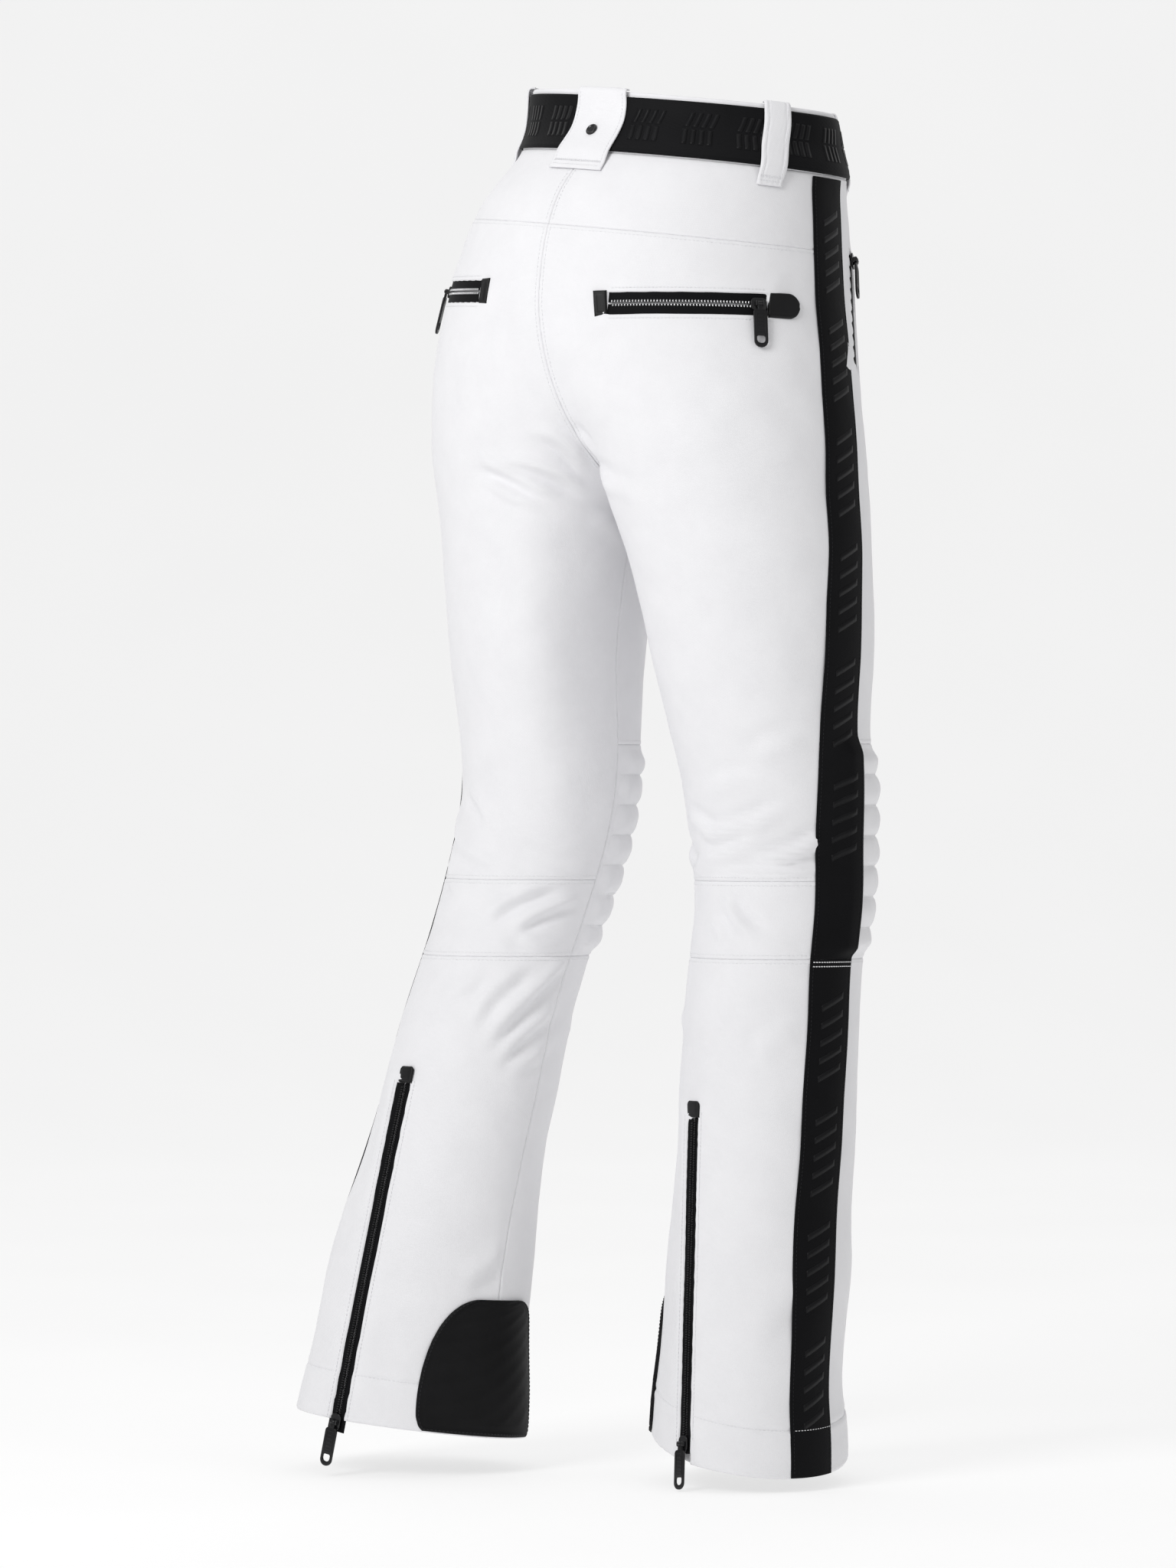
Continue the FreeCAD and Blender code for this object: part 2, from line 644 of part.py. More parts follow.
def zip_puller(label, pl):
    """local origin on the pin, local X hanging down, Y along the pin"""
    S = "Sizes."
    b = body(label)
    sk = sketch(b, "plate", off=((G["puller_long"] + 4.0) / 2, 0, 0))
    rect(sk, S + "puller_long - 4", S + "puller_wide")
    pad(b, sk, "plate_pad", S + "puller_thick", mid=True)
    sk = sketch(b, "neck", off=(3.0, 0, 0))
    rect(sk, "6.4", S + "puller_neck")
    pad(b, sk, "neck_pad", S + "puller_thick", mid=True)
    sk = sketch(b, "eye", "XZ_Plane")
    circle(sk, S + "eye_radius")
    pad(b, sk, "eye_pad", S + "puller_neck", mid=True)
    sk = sketch(b, "bore", "XZ_Plane")
    circle(sk, S + "eye_bore")
    pocket(b, sk, "bore_cut", S + "puller_neck + 2", mid=True)
    sk = sketch(b, "window", off=(G["puller_long"] - 6.0, 0, 0))
    rect(sk, S + "window_long", S + "window_wide")
    pocket(b, sk, "window_cut", S + "puller_thick + 2", mid=True)
    doc.recompute()
    es = []
    for i, e in enumerate(b.Shape.Edges):
        v = e.Vertexes
        if len(v) == 2 and abs(v[0].X - v[1].X) < 1e-4 and abs(v[0].Y - v[1].Y) < 1e-4 and abs(abs(v[0].Y) - G["puller_wide"] / 2) < 1e-3:
            es.append("Edge%d" % (i + 1))
    if es:
        base = b.Tip
        f = b.newObject("PartDesign::Fillet", b.Name + "_corners")
        f.Base = (base, es)
        f.Radius = 2.9
        b.Tip = f
    b.Placement = pl
    return b


def tape_arc(label, z, a0, a1, half, bead=True, bead_end=0.0):
    """two tape halves with their tooth beads, turned about the arc's axis; the centre slot is left open"""
    obs = []
    for k, s in enumerate((1, -1)):
        b = doc.addObject("PartDesign::Body", label + "_half%d" % k)
        w = G[half] - G["slot_half"]
        sk = sketch(b, "strip", "XZ_Plane", off=z.spot(s * (G["slot_half"] + w / 2)) + (0,), rot=z.tilt())
        rect(sk, "Sizes.tape_thick", "Sizes.%s - Sizes.slot_half" % half)
        f = b.newObject("PartDesign::Revolution", b.Name + "_turn")
        f.Profile = sk
        f.ReferenceAxis = (axis_of(b, "Z_Axis"), [""])
        f.Angle = a1 - a0
        b.Tip = f
        if bead:
            sk = sketch(b, "bead", "XZ_Plane", off=z.spot(s * (G["slot_half"] + G["bead_width"] / 2)) + (0,), rot=z.tilt())
            rect(sk, "2 * Sizes.bead_half", "Sizes.bead_width")
            f = b.newObject("PartDesign::Revolution", b.Name + "_beadturn")
            f.Profile = sk
            f.ReferenceAxis = (axis_of(b, "Z_Axis"), [""])
            f.Angle = a1 - a0 - bead_end
            b.Tip = f
        b.Placement = z.place.multiply(Placement(Vector(), Rotation(Vector(0, 0, 1), a0)))
        obs.append(b)
    c = doc.addObject("Part::Compound", label)
    c.Label = label
    c.Links = obs
    NODES[label] = c
    return c


def axis_of(b, role):
    for o in b.Origin.OriginFeatures:
        if getattr(o, "Role", "") == role:
            return o
    raise RuntimeError(role)


JOINTS = {}
CUTS = {}


def sweep_tool(z, a0, a1, half, t):
    """a block along the arc that opens the cloth under a zip"""
    p = []
    for dt, dw in ((-t, -half), (t, -half), (t, half), (-t, half)):
        a, b = z.spot(dw, dt)
        p.append(Vector(a, 0, b))
    f = Part.Face(Part.makePolygon(p + [p[0]]))
    s = f.revolve(Vector(0, 0, 0), Vector(0, 0, 1), a1 - a0)
    s.Placement = z.place.multiply(Placement(Vector(), Rotation(Vector(0, 0, 1), a0)))
    return s


def puller_lift(z, hang, travel, start):
    """degrees the puller leans away from the cloth so that it clears it all along the chain"""
    best = 0.0
    for i in range(7):
        p, t, out = z.at(start + travel * i / 6)
        p0, t0, out0 = z.at(start)
        X = t0 * -1.0 if hang == "away" else (t0 * 1.0 if hang == "along" else Vector(0, 0, -1) - t0 * Vector(0, 0, -1).dot(t0))
        X = X - out0 * X.dot(out0)
        rot = Rotation(z.n, math.degrees((travel * i / 6) / z.r))
        X = unit(rot.multVec(X))
        Y = out.cross(X)
        pin = p + out * G["pin_high"]
        a = best
        while a < 45:
            c, s = math.cos(math.radians(a)), math.sin(math.radians(a))
            X1, Z1 = X * c + out * s, out * c - X * s
            low = 99.0
            for k in range(6):
                for w in (-0.5, 0.0, 0.5):
                    v = pin + X1 * (7.0 + (G["puller_long"] - 6.5) * k / 5) + Y * (w * G["puller_wide"]) - Z1 * (G["puller_thick"] / 2)
                    low = min(low, fval(v.x, v.y, level(-v.z)))
            if low > G["cloth_thick"] + 0.7:
                break
            a += 0.5
        best = max(best, a)
    return best


def zip_moving(name, z, hang, travel, start=0.0):
    """slider and puller at the closed end of the chain, with their joints"""
    p, t, out = z.at(start)
    if hang == "away":
        X = t * -1.0
    elif hang == "along":
        X = t * 1.0
    else:
        X = Vector(0, 0, -1)
        X = X - t * X.dot(t)
        X = X - out * X.dot(out)
    pl = frame(p, X, out)
    m = pl.toMatrix()
    X = Vector(m.A11, m.A21, m.A31)
    Y = Vector(m.A12, m.A22, m.A32)
    Z = Vector(m.A13, m.A23, m.A33)
    zip_slider(name + "_slider", pl, hang != "down")
    pin = p + Z * G["pin_high"]
    lift = puller_lift(z, hang, travel, start)
    print("LIFT", name, lift)
    zip_puller(name + "_puller", Placement(pin, pl.Rotation.multiply(Rotation(Vector(0, 1, 0), -lift))))
    if z.r > 5000:
        e = unit(z.at(start + travel)[0] - p)
        JOINTS[name + "_slide"] = dict(type="slide", pos=[p.x, p.y, p.z], axis=[e.x, e.y, e.z], range=[0, travel], r=1000.0, travel=travel)
    else:
        JOINTS[name + "_slide"] = dict(type="hinge", pos=[z.c.x, z.c.y, z.c.z], axis=[z.n.x, z.n.y, z.n.z], range=[0, math.degrees(travel / z.r)], r=z.r, travel=travel)
    JOINTS[name + "_pull"] = dict(type="hinge", pos=[pin.x, pin.y, pin.z], axis=[-Y.x, -Y.y, -Y.z], range=[0, 150])


# ---------------------------------------------------------------- zips: where they lie
ZIPS = {}
BACK = {-1: ((165.0, 35.0), (164.0, 68.0), (162.8, 104.0)), 1: ((139.5, 35.0), (143.0, 68.0), (147.5, 101.0))}
for sd in (1, -1):
    nm = "back_pocket_zip_" + SIDE_NAME[sd]
    a = [surf(sd, q, th, 0.9) for q, th in BACK[sd]]
    ZIPS[nm] = Zip(a[0], a[1], a[2], surf(sd, BACK[sd][1][0], BACK[sd][1][1], 1.0) - surf(sd, BACK[sd][1][0], BACK[sd][1][1], 0.0))
FRONT = {-1: ((122.0, -50.0), (163.0, -41.0), (204.0, -31.0)), 1: ((108.0, -50.0), (150.0, -41.0), (191.0, -31.0))}
for sd in (1, -1):
    nm = "front_pocket_zip_" + SIDE_NAME[sd]
    a = [surf(sd, q, th, 0.9) for q, th in FRONT[sd]]
    ZIPS[nm] = Zip(a[0], a[1], a[2], surf(sd, FRONT[sd][1][0], FRONT[sd][1][1], 1.0) - surf(sd, FRONT[sd][1][0], FRONT[sd][1][1], 0.0))
HEMZ = {-1: ((990.0, 88.5), (871.0, 96.5), (750.0, 106.5)), 1: ((983.0, 84.0), (856.0, 88.5), (728.0, 81.5))}
for sd in (1, -1):
    nm = "hem_zip_" + SIDE_NAME[sd]
    a = [surf(sd, q, th, 0.9) for q, th in HEMZ[sd]]
    ZIPS[nm] = Zip(a[0], a[1], a[2], surf(sd, HEMZ[sd][1][0], HEMZ[sd][1][1], 1.0) - surf(sd, HEMZ[sd][1][0], HEMZ[sd][1][1], 0.0))
nm = "fly_zip"
fy = []
for q in (57.0, 108.0, 160.0):
    s = seam(q, True)
    n = normal(s[0], s[1], q)
    fy.append(Vector(s[0], s[1], -q) - Vector(*n) * G["fly_recess"])
    if q == 108.0:
        fly_out = Vector(*n)
ZIPS[nm] = Zip(fy[0], fy[1], fy[2], fly_out)

for nm, z in ZIPS.items():
    print("ZIP", nm, "radius %.1f length %.1f angle %.2f sgn %d" % (z.r, z.length, z.angle, z.sgn))

# windows in the cloth below the zips
SIDE_CUTS = {}
for nm, z in ZIPS.items():
    k = 180 / math.pi / z.r
    if nm.startswith("hem"):
        SIDE_CUTS[nm] = sweep_tool(z, -16 * k, z.angle - 5.4 * k, G["hem_tape_half"] + 0.6, 14.0)
    elif nm == "fly_zip":
        SIDE_CUTS[nm] = sweep_tool(z, -12 * k, z.angle + 6 * k, 5.4, 7.0)
    else:
        SIDE_CUTS[nm] = sweep_tool(z, -7 * k, z.angle + (4 if nm.startswith("front") else -3.2) * k, G["tape_half"] + 0.5, 9.0)

# ---------------------------------------------------------------- cloth panels
for sd in (1, -1):
    N = SIDE_NAME[sd]
    outer = lambda q: stripe_angle(q)
    back_in = lambda q, sd=sd: seam_angle(sd, q, False)
    # back yoke
    rows = tube_rows(sd, edge_angle(sd, outer, 1), edge_angle(sd, back_in, -1), HB + RG, G["yoke_depth"] - RG, 6, 15)
    feature("back_yoke_" + N, sheet_solid("back_yoke_" + N, rows, 0.0, T))
    # back and front leg panels
    rows = leg_rows(sd, False, G["yoke_depth"] + RG, G["knee_seam"] - RG)
    feature("back_panel_" + N, sheet_solid("back_panel_" + N, rows, 0.0, T), [SIDE_CUTS["back_pocket_zip_" + N]])
    rows = leg_rows(sd, True, HB + RG, G["knee_top"] - RG)
    feature("front_panel_" + N, sheet_solid("front_panel_" + N, rows, 0.0, T), [SIDE_CUTS["front_pocket_zip_" + N], SIDE_CUTS["fly_zip"]])
    pi_f = lambda q, sd=sd: inseam(sd, q) - 2 * math.pi
    pi_b = lambda q, sd=sd: inseam(sd, q)
    # knee: quilted pad in front, plain panel behind
    pad_o = lambda i, j: lerp(T + 0.2, G["pad_thick"], min(1.0, 6 * min(i, 1 - i, j, 1 - j)))
    rows = tube_rows(sd, edge_angle(sd, outer, -1), edge_angle(sd, pi_f, 1), G["knee_top"] + RG, G["knee_bottom"] - RG, 13, 19)
    feature("knee_pad_" + N, sheet_solid("knee_pad_" + N, rows, 0.0, pad_o))
    rows = tube_rows(sd, edge_angle(sd, outer, 1), edge_angle(sd, pi_b, -1), G["knee_seam"] + RG, G["knee_bottom"] - RG, 6, 17)
    feature("knee_back_panel_" + N, sheet_solid("knee_back_panel_" + N, rows, 0.0, T))
    # shin panels
    H = HEM[sd][2]
    rows = tube_rows(sd, edge_angle(sd, outer, -1), edge_angle(sd, pi_f, 1), G["knee_bottom"] + RG, H, 20, 17)
    feature("shin_front_panel_" + N, sheet_solid("shin_front_panel_" + N, rows, 0.0, T))
    rows = tube_rows(sd, edge_angle(sd, outer, 1), edge_angle(sd, pi_b, -1), G["knee_bottom"] + RG, H, 20, 21)
    feature("shin_back_panel_" + N, sheet_solid("shin_back_panel_" + N, rows, 0.0, T), [SIDE_CUTS["hem_zip_" + N]])
    # hem facing inside, open at the zip
    zt = math.radians(89.5 if sd < 0 else 85.0)
    za = lambda q, sd=sd, zt=zt: zt + 11.5 / radius(sd, q, zt)
    zb = lambda q, sd=sd, zt=zt: zt + 2 * math.pi - 11.5 / radius(sd, q, zt)
    rows = tube_rows(sd, za, zb, H - G["facing_height"], H - 2.0, 7, 37)
    feature("hem_facing_" + N, sheet_solid("hem_facing_" + N, rows, -0.5 - G["facing_thick"], -0.5))
    # side stripe, two lengths
    def se(sg, sd=sd):
        return lambda q: stripe_angle(q) + sg * 0.5 * G["stripe_width"] / (radius(sd, q, stripe_angle(q)) * 0.995)
    ov = T + G["overlay_gap"] + 0.25
    rows = tube_rows(sd, se(-1), se(1), HB + 2.6, G["knee_bottom"] - RG, 44, 7)
    # over the knee pad's edge the stripe rides on the pad
    def so(extra, sd=sd):
        def f(i, j):
            q = lerp(HB + 2.6, G["knee_bottom"], i)
            k = smooth(G["knee_top"] - 14, G["knee_top"] + 16, q) * (1 - smooth(G["knee_bottom"] - 14, G["knee_bottom"] - 1, q)) * (1 - smooth(0.35, 0.75, j))
            return ov + extra + (G["pad_thick"] - T + 0.2) * k
        return f
    feature("side_stripe_upper_" + N, sheet_solid("side_stripe_upper_" + N, rows, so(0.0), so(G["stripe_thick"])))
    rows = tube_rows(sd, se(-1), se(1), G["knee_bottom"] + RG, H - 0.5, 24, 7)
    feature("side_stripe_lower_" + N, sheet_solid("side_stripe_lower_" + N, rows, ov, ov + G["stripe_thick"]))
    # scuff guard at the inner hem
    rows = []
    hh = [(892.0, 167.0, 197.0), (893.5, 160.0, 203.0), (897.5, 153.5, 208.0), (904.0, 147.5, 211.5), (913.0, 142.3, 213.2), (925.0, 138.0, 214.0),
          (940.0, 135.0, 214.0), (955.0, 133.5, 214.0), (970.0, 133.2, 214.0), (982.0, 134.0, 214.0), (988.0, 136.0, 213.0), (991.5, 139.0, 211.0)]
    q0, q1 = 892.0, 991.5
    for (hg, a, b) in hh:
        hg2 = HEM[sd][2] - 1.0 - (991.5 - hg) * 1.0
        row = []
        for j in range(11):
            th = math.radians(lerp(a, b, j / 10))
            row.append((sd, depth_at(sd, th, hg2), th))
        rows.append(row)
    feature("scuff_guard_" + N, sheet_solid("scuff_guard_" + N, rows, ov, ov + G["guard_thick"]))

# ---------------------------------------------------------------- waistband, belt, loops
def ring_point(hgt, al, off):
    q = hgt
    for _ in range(4):
        xc, yc, ax, ay = pel(q)
        x, y = xc + ax * math.cos(al), yc + ay * math.sin(al)
        q = hgt - (G["waist_roll"] * x + G["waist_pitch"] * y)
    xc, yc, ax, ay = pel(q)
    x, y = xc + ax * math.cos(al), yc + ay * math.sin(al)
    n = normal(x, y, q)
    return Vector(x + n[0] * off, y + n[1] * off, -q + n[2] * off), Vector(*n)


def ring_solid(label, a0, a1, h0, h1, o1, o2, nu=49, nv=6):
    A, B = [], []
    for i in range(nv):
        hg = lerp(h0, h1, i / (nv - 1))
        A.append([ring_point(hg, math.radians(lerp(a0, a1, j / (nu - 1))), o2)[0] for j in range(nu)])
        B.append([ring_point(hg, math.radians(lerp(a0, a1, j / (nu - 1))), o1)[0] for j in range(nu)])
    return solid_of(A, B, label)


feature("waistband", ring_solid("waistband", -89.3, 269.3, 0.0, HB - RG, 0.0, G["band_thick"]))
b0, b1 = G["belt_drop"], G["belt_drop"] + G["belt_height"]
bo = G["belt_offset"]
feature("belt", ring_solid("belt", -81.0, 261.0, b0, b1, bo, bo + G["belt_thick"]))


def strip_loop(label, al_deg, w_top, w_bot, reach):
    """a belt loop: hooked over the top edge, over the belt, stitched down below it"""
    t = G["loop_thick"] / 2
    mid = [(-1.6, 0.6), (-1.75, 2.8), (-1.2, 4.8), (1.4, 5.75), (6.0, 5.75), (16.0, 5.75), (26.0, 5.75), (36.0, 5.75), (45.0, 5.75), (49.5, 5.55), (53.0, 4.3), (56.5, 2.9), (reach, 2.55)]
    A, B = [], []
    m = len(mid)
    for i in range(m):
        h_, o_ = mid[i]
        pa, pb = mid[max(0, i - 1)], mid[min(m - 1, i + 1)]
        dx, dy = pb[0] - pa[0], pb[1] - pa[1]
        L = math.hypot(dx, dy)
        nx, ny = -dy / L, dx / L
        w = lerp(w_top, w_bot, max(0.0, h_) / reach)
        ra, rb = [], []
        for j in range(7):
            f = lerp(-0.5, 0.5, j / 6)
            xc, yc, ax, ay = pel(max(h_, 0.0))
            al = math.radians(al_deg)
            ds = math.hypot(ax * math.sin(al), ay * math.cos(al))
            a = al + f * w / ds
            ra.append(ring_point(h_ + nx * t, a, o_ + ny * t)[0])
            rb.append(ring_point(h_ - nx * t, a, o_ - ny * t)[0])
        A.append(ra)
        B.append(rb)
    return solid_of(A, B, label)


feature("centre_back_loop", strip_loop("centre_back_loop", 90.0, G["back_loop_top"], G["back_loop_bottom"], G["loop_reach"] + 1.0))
loops = [strip_loop("loop", a, G["loop_width"], G["loop_width"], G["loop_reach"]) for a in (24.0, 158.0, 225.0, 315.0)]
feature("belt_loops", Part.makeCompound(loops))

# snap on the centre-back loop: cap outside, shank through loop, belt and band
p, n = ring_point(34.0, math.radians(90.0), 6.7)
b = body("loop_snap")
sk = sketch(b, "cap")
circle(sk, "Sizes.snap_radius")
pad(b, sk, "cap_pad", "Sizes.snap_height")
sk = sketch(b, "rim", off=(0, 0, G["snap_height"] - 0.5))
circle(sk, "Sizes.snap_radius - 1.3")
pocket(b, sk, "rim_cut", "0.5", rev=True)
doc.recompute()
b.Placement = frame(p, Vector(1, 0, 0), n)

# belt buckle at the front: frame on the wearer's left, hook plate on the right
for nm, a, sg in (("belt_buckle_frame", 277.2, 1), ("belt_buckle_hook", 262.8, -1)):
    p, n = ring_point(b0 + G["belt_height"] / 2, math.radians(a), bo + G["belt_thick"] + 3.7)
    b = body(nm)
    sk = sketch(b, "plate")
    rect(sk, "Sizes.buckle_wide", "Sizes.buckle_high")
    pad(b, sk, "plate_pad", "Sizes.buckle_thick")
    sk = sketch(b, "hole", off=(sg * 5.6, 0, 0))
    rect(sk, "Sizes.bar_width", "Sizes.buckle_high - 12")
    pocket(b, sk, "hole_cut", "3 * Sizes.buckle_thick", mid=True)
    e = ring_point(b0 + G["belt_height"] / 2, math.radians(a + 0.5), 0)[0] - ring_point(b0 + G["belt_height"] / 2, math.radians(a - 0.5), 0)[0]
    b.Placement = frame(p, e, n)

# fly placket over the fly zip
A, B = [], []
for i in range(9):
    q = lerp(HB + 1.2, 176.0, i / 8)
    s = seam(q, True)
    ra, rb = [], []
    for j in range(9):
        dx = lerp(-8.5, 32.0 - 30.0 * max(0.0, (i - 5) / 3.0) ** 2, j / 8)
        # point on the front at this sideways offset
        L = level(q)
        x = s[0] + dx
        y = s[1]
        for _ in range(25):
            g = (fval(x, y + 0.2, L) - fval(x, y - 0.2, L)) / 0.4
            y -= fval(x, y, L) / g
        n = normal(x, y, q)
        lift = T + G["overlay_gap"] + 1.2
        ra.append(Vector(x, y, -q) + Vector(*n) * (lift + G["placket_thick"]))
        rb.append(Vector(x, y, -q) + Vector(*n) * lift)
    A.append(ra)
    B.append(rb)
feature("fly_placket", solid_of(A, B, "fly_placket"))

# pocket bags hanging inside, one node for each pair
for nm, B_, dq0, dq1, t0, t1 in (("back", BACK, 14, 105, 45.0, 96.0), ("front", FRONT, -6, 72, -74.0, -54.0)):
    both = []
    for sd in (1, -1):
        rows = []
        for i in range(6):
            q = lerp(B_[sd][1][0] + dq0, B_[sd][1][0] + dq1, i / 5)
            rows.append([(sd, q, math.radians(lerp(t0, t1, j / 7))) for j in range(8)])
        both.append(sheet_solid("bag", rows, G["bag_offset"] - G["bag_thick"], G["bag_offset"]))
    feature(nm + "_pocket_bags", Part.makeCompound(both))

# ---------------------------------------------------------------- zips: tapes, teeth, sliders, pullers, rubber pieces
GARAGES, TABS = [], []
for sd in (1, -1):
    N = SIDE_NAME[sd]
    # back pocket
    nm = "back_pocket_zip_" + N
    z = ZIPS[nm]
    k = 180 / math.pi / z.r
    tape_arc("back_pocket_tape_" + N, z, -4.4 * k, z.angle - 5.3 * k, "tape_half", bead=False)
    # the tooth rows: a bead along each tape edge, outside and inside of the tape
    obs = []
    for kk, s in enumerate((1, -1)):
        b = doc.addObject("PartDesign::Body", "teeth_%s_%d" % (N, kk))
        for m, rr in enumerate((1, -1)):
            sk = sketch(b, "row%d" % m, "XZ_Plane", off=z.spot(s * (G["slot_half"] + G["bead_width"] / 2), rr * (G["tape_thick"] / 2 + 0.03 + 0.33)) + (0,), rot=z.tilt())
            rect(sk, "0.66", "Sizes.bead_width")
            f = b.newObject("PartDesign::Revolution", b.Name + "_turn%d" % m)
            f.Profile = sk
            f.ReferenceAxis = (axis_of(b, "Z_Axis"), [""])
            f.Angle = z.angle - 3.2 * k
            b.Tip = f
            if m == 0:
                b.Placement = z.place.multiply(Placement(Vector(), Rotation(Vector(0, 0, 1), -3.8 * k)))
                obs.append(b)
                b = doc.addObject("PartDesign::Body", "teethin_%s_%d" % (N, kk))
        b.Placement = z.place.multiply(Placement(Vector(), Rotation(Vector(0, 0, 1), -3.8 * k)))
        obs.append(b)
    c = doc.addObject("Part::Compound", "back_pocket_teeth_" + N)
    c.Label = "back_pocket_teeth_" + N
    c.Links = obs
    NODES["back_pocket_teeth_" + N] = c
    zip_moving("back_pocket_zip_" + N, z, "down", z.length - 13.6, start=2.6)
    # rubber end tab at the inner end and rounded garage at the outer end
    (qa, ta), (qm, tm), (qb, tb) = BACK[sd]
    r_a, r_b = radius(sd, qa, math.radians(ta)), radius(sd, qb, math.radians(tb))
    slope = (qb - qa) / ((tb - ta) * math.pi / 180)
    hh = G["tape_half"] + 0.4
    rows = []
    L_ = G["garage_long"]
    for i in range(11):
        s_mm = L_ * (1 - (1 - i / 10.0) ** 1.6)
        edge = L_ - s_mm
        half = hh if edge > hh else max(1.6, math.sqrt(max(0.0, hh * hh - (hh - edge) ** 2)))
        d = (4.9 + s_mm) / r_a
        rows.append([(sd, qa - d * slope + lerp(-half, half, j / 6), math.radians(ta) - d) for j in range(7)])
    GARAGES.append(sheet_solid("garage", rows, T + 0.3, T + 0.3 + G["tab_thick"]))
    rows = []
    for i in range(4):
        d = (-4.0 + G["tab_long"] * i / 3) / r_b
        rows.append([(sd, qb + d * slope * 0.3 + lerp(-hh, hh, j / 6), math.radians(tb) + d) for j in range(7)])
    TABS.append(sheet_solid("tab", rows, T + 0.3, T + 0.3 + G["tab_thick"]))
    # front pocket
    nm = "front_pocket_zip_" + N
    z = ZIPS[nm]
    k = 180 / math.pi / z.r
    tape_arc("front_pocket_tape_" + N, z, -5.5 * k, z.angle + 2.5 * k, "tape_half")
    zip_moving(nm, z, "along", z.length - 12.0, start=2.0)
    # hem zip
    nm = "hem_zip_" + N
    z = ZIPS[nm]
    k = 180 / math.pi / z.r
    tape_arc("hem_zip_tape_" + N, z, -7.0 * k, z.angle - 6.5 * k, "hem_tape_half", bead_end=1.5 * k)
    zip_moving(nm, z, "away", z.length - 16.0, start=0.0)
    (qa, ta), (qm, tm), (qb, tb) = HEMZ[sd]
    sl = math.radians(tb - tm) / (qb - qm)
    rows = []
    for i in range(5):
        q = qb + 6.0 - G["cap_long"] * i / 4
        th = math.radians(tb) + sl * (q - qb)
        r_ = radius(sd, q, th)
        w_ = (G["cap_wide"] / 2 + 1.0) * (1.0 if i < 4 else 0.86)
        rows.append([(sd, q, th + lerp(-w_, w_, j / 6) / r_) for j in range(7)])
    feature("hem_zip_cap_" + N, sheet_solid("cap", rows, T + 0.3, T + 0.3 + G["tab_thick"]))
z = ZIPS["fly_zip"]
k = 180 / math.pi / z.r
feature("back_pocket_garages", Part.makeCompound(GARAGES))
feature("back_pocket_end_tabs", Part.makeCompound(TABS))
tape_arc("fly_zip_tape", z, -5.0 * k, z.angle + 3.0 * k, "fly_half")


def fly_moving():
    # a short slider and puller that stay under the placket
    p, t, out = z.at(3.0)
    pl = frame(p, t, out)
    S = "Sizes."
    b = body("fly_zip_slider")
    sk = sketch(b, "post")
    rect(sk, S + "post_long", S + "post_thick")
    pad(b, sk, "post_pad", "2 * Sizes.slider_gap + 2", mid=True)
    for name, zz in (("top", G["slider_gap"]), ("under", -G["slider_gap"] - 1.0)):
        sk = sketch(b, name, off=(0, 0, zz))
        rect(sk, "9", "7")
        pad(b, sk, name + "_pad", "1")
    for kk, s in enumerate((1, -1)):
        sk = sketch(b, "lug%d" % kk, off=(0, s * 2.0, G["slider_gap"] + 0.9))
        rect(sk, "2.4", "0.7")
        pad(b, sk, "lug_pad%d" % kk, "2.3")
    sk = sketch(b, "pin", "XZ_Plane", off=(0, G["slider_gap"] + 2.2, 0))
    circle(sk, "0.5")
    pad(b, sk, "pin_pad", "4.4", mid=True)
    b.Placement = pl
    m = pl.toMatrix()
    Y = Vector(m.A12, m.A22, m.A32)
    Z = Vector(m.A13, m.A23, m.A33)
    pin = p + Z * (G["slider_gap"] + 2.2)
    b = body("fly_zip_puller")
    sk = sketch(b, "plate", off=(8.5, 0, 0))
    rect(sk, "17", "3")
    pad(b, sk, "plate_pad", "1", mid=True)
    sk = sketch(b, "eye", "XZ_Plane")
    circle(sk, "1.0")
    pad(b, sk, "eye_pad", "3", mid=True)
    sk = sketch(b, "bore", "XZ_Plane")
    circle(sk, "0.56")
    pocket(b, sk, "bore_cut", "5", mid=True)
    b.Placement = Placement(pin, pl.Rotation.multiply(Rotation(Vector(0, 1, 0), 5.0)))
    JOINTS["fly_zip_slide"] = dict(type="hinge", pos=[z.c.x, z.c.y, z.c.z], axis=[z.n.x, z.n.y, z.n.z], range=[0, math.degrees((z.length - 14.0) / z.r)], r=z.r, travel=z.length - 14.0)
    JOINTS["fly_zip_pull"] = dict(type="hinge", pos=[pin.x, pin.y, pin.z], axis=[-Y.x, -Y.y, -Y.z], range=[0, 3])


fly_moving()
for sd in (1, -1):
    c = centre(sd, 611.5)
    JOINTS["knee_" + SIDE_NAME[sd]] = dict(type="hinge", pos=[c[0], c[1] + 17.0, -611.5], axis=[1, 0, 0], range=[0, 60])

doc.recompute()
bad = [o.Label for o in doc.Objects if "Invalid" in o.State or "Error" in o.State]
if bad:
    raise RuntimeError("failed objects: %s" % bad)
os.makedirs("parts", exist_ok=True)
for old in os.listdir("parts"):
    if old.endswith(".step") and old[:-5] not in NODES:
        os.remove(os.path.join("parts", old))
for name, o in NODES.items():
    s = o.Shape
    if s.isNull() or not s.isValid() or not s.Solids or any(x.Volume <= 0 for x in s.Solids):
        raise RuntimeError("bad shape: " + name)
    s.exportStep("parts/%s.step" % name)
print(len(NODES), "nodes")
print("JOINTS " + json.dumps(JOINTS))
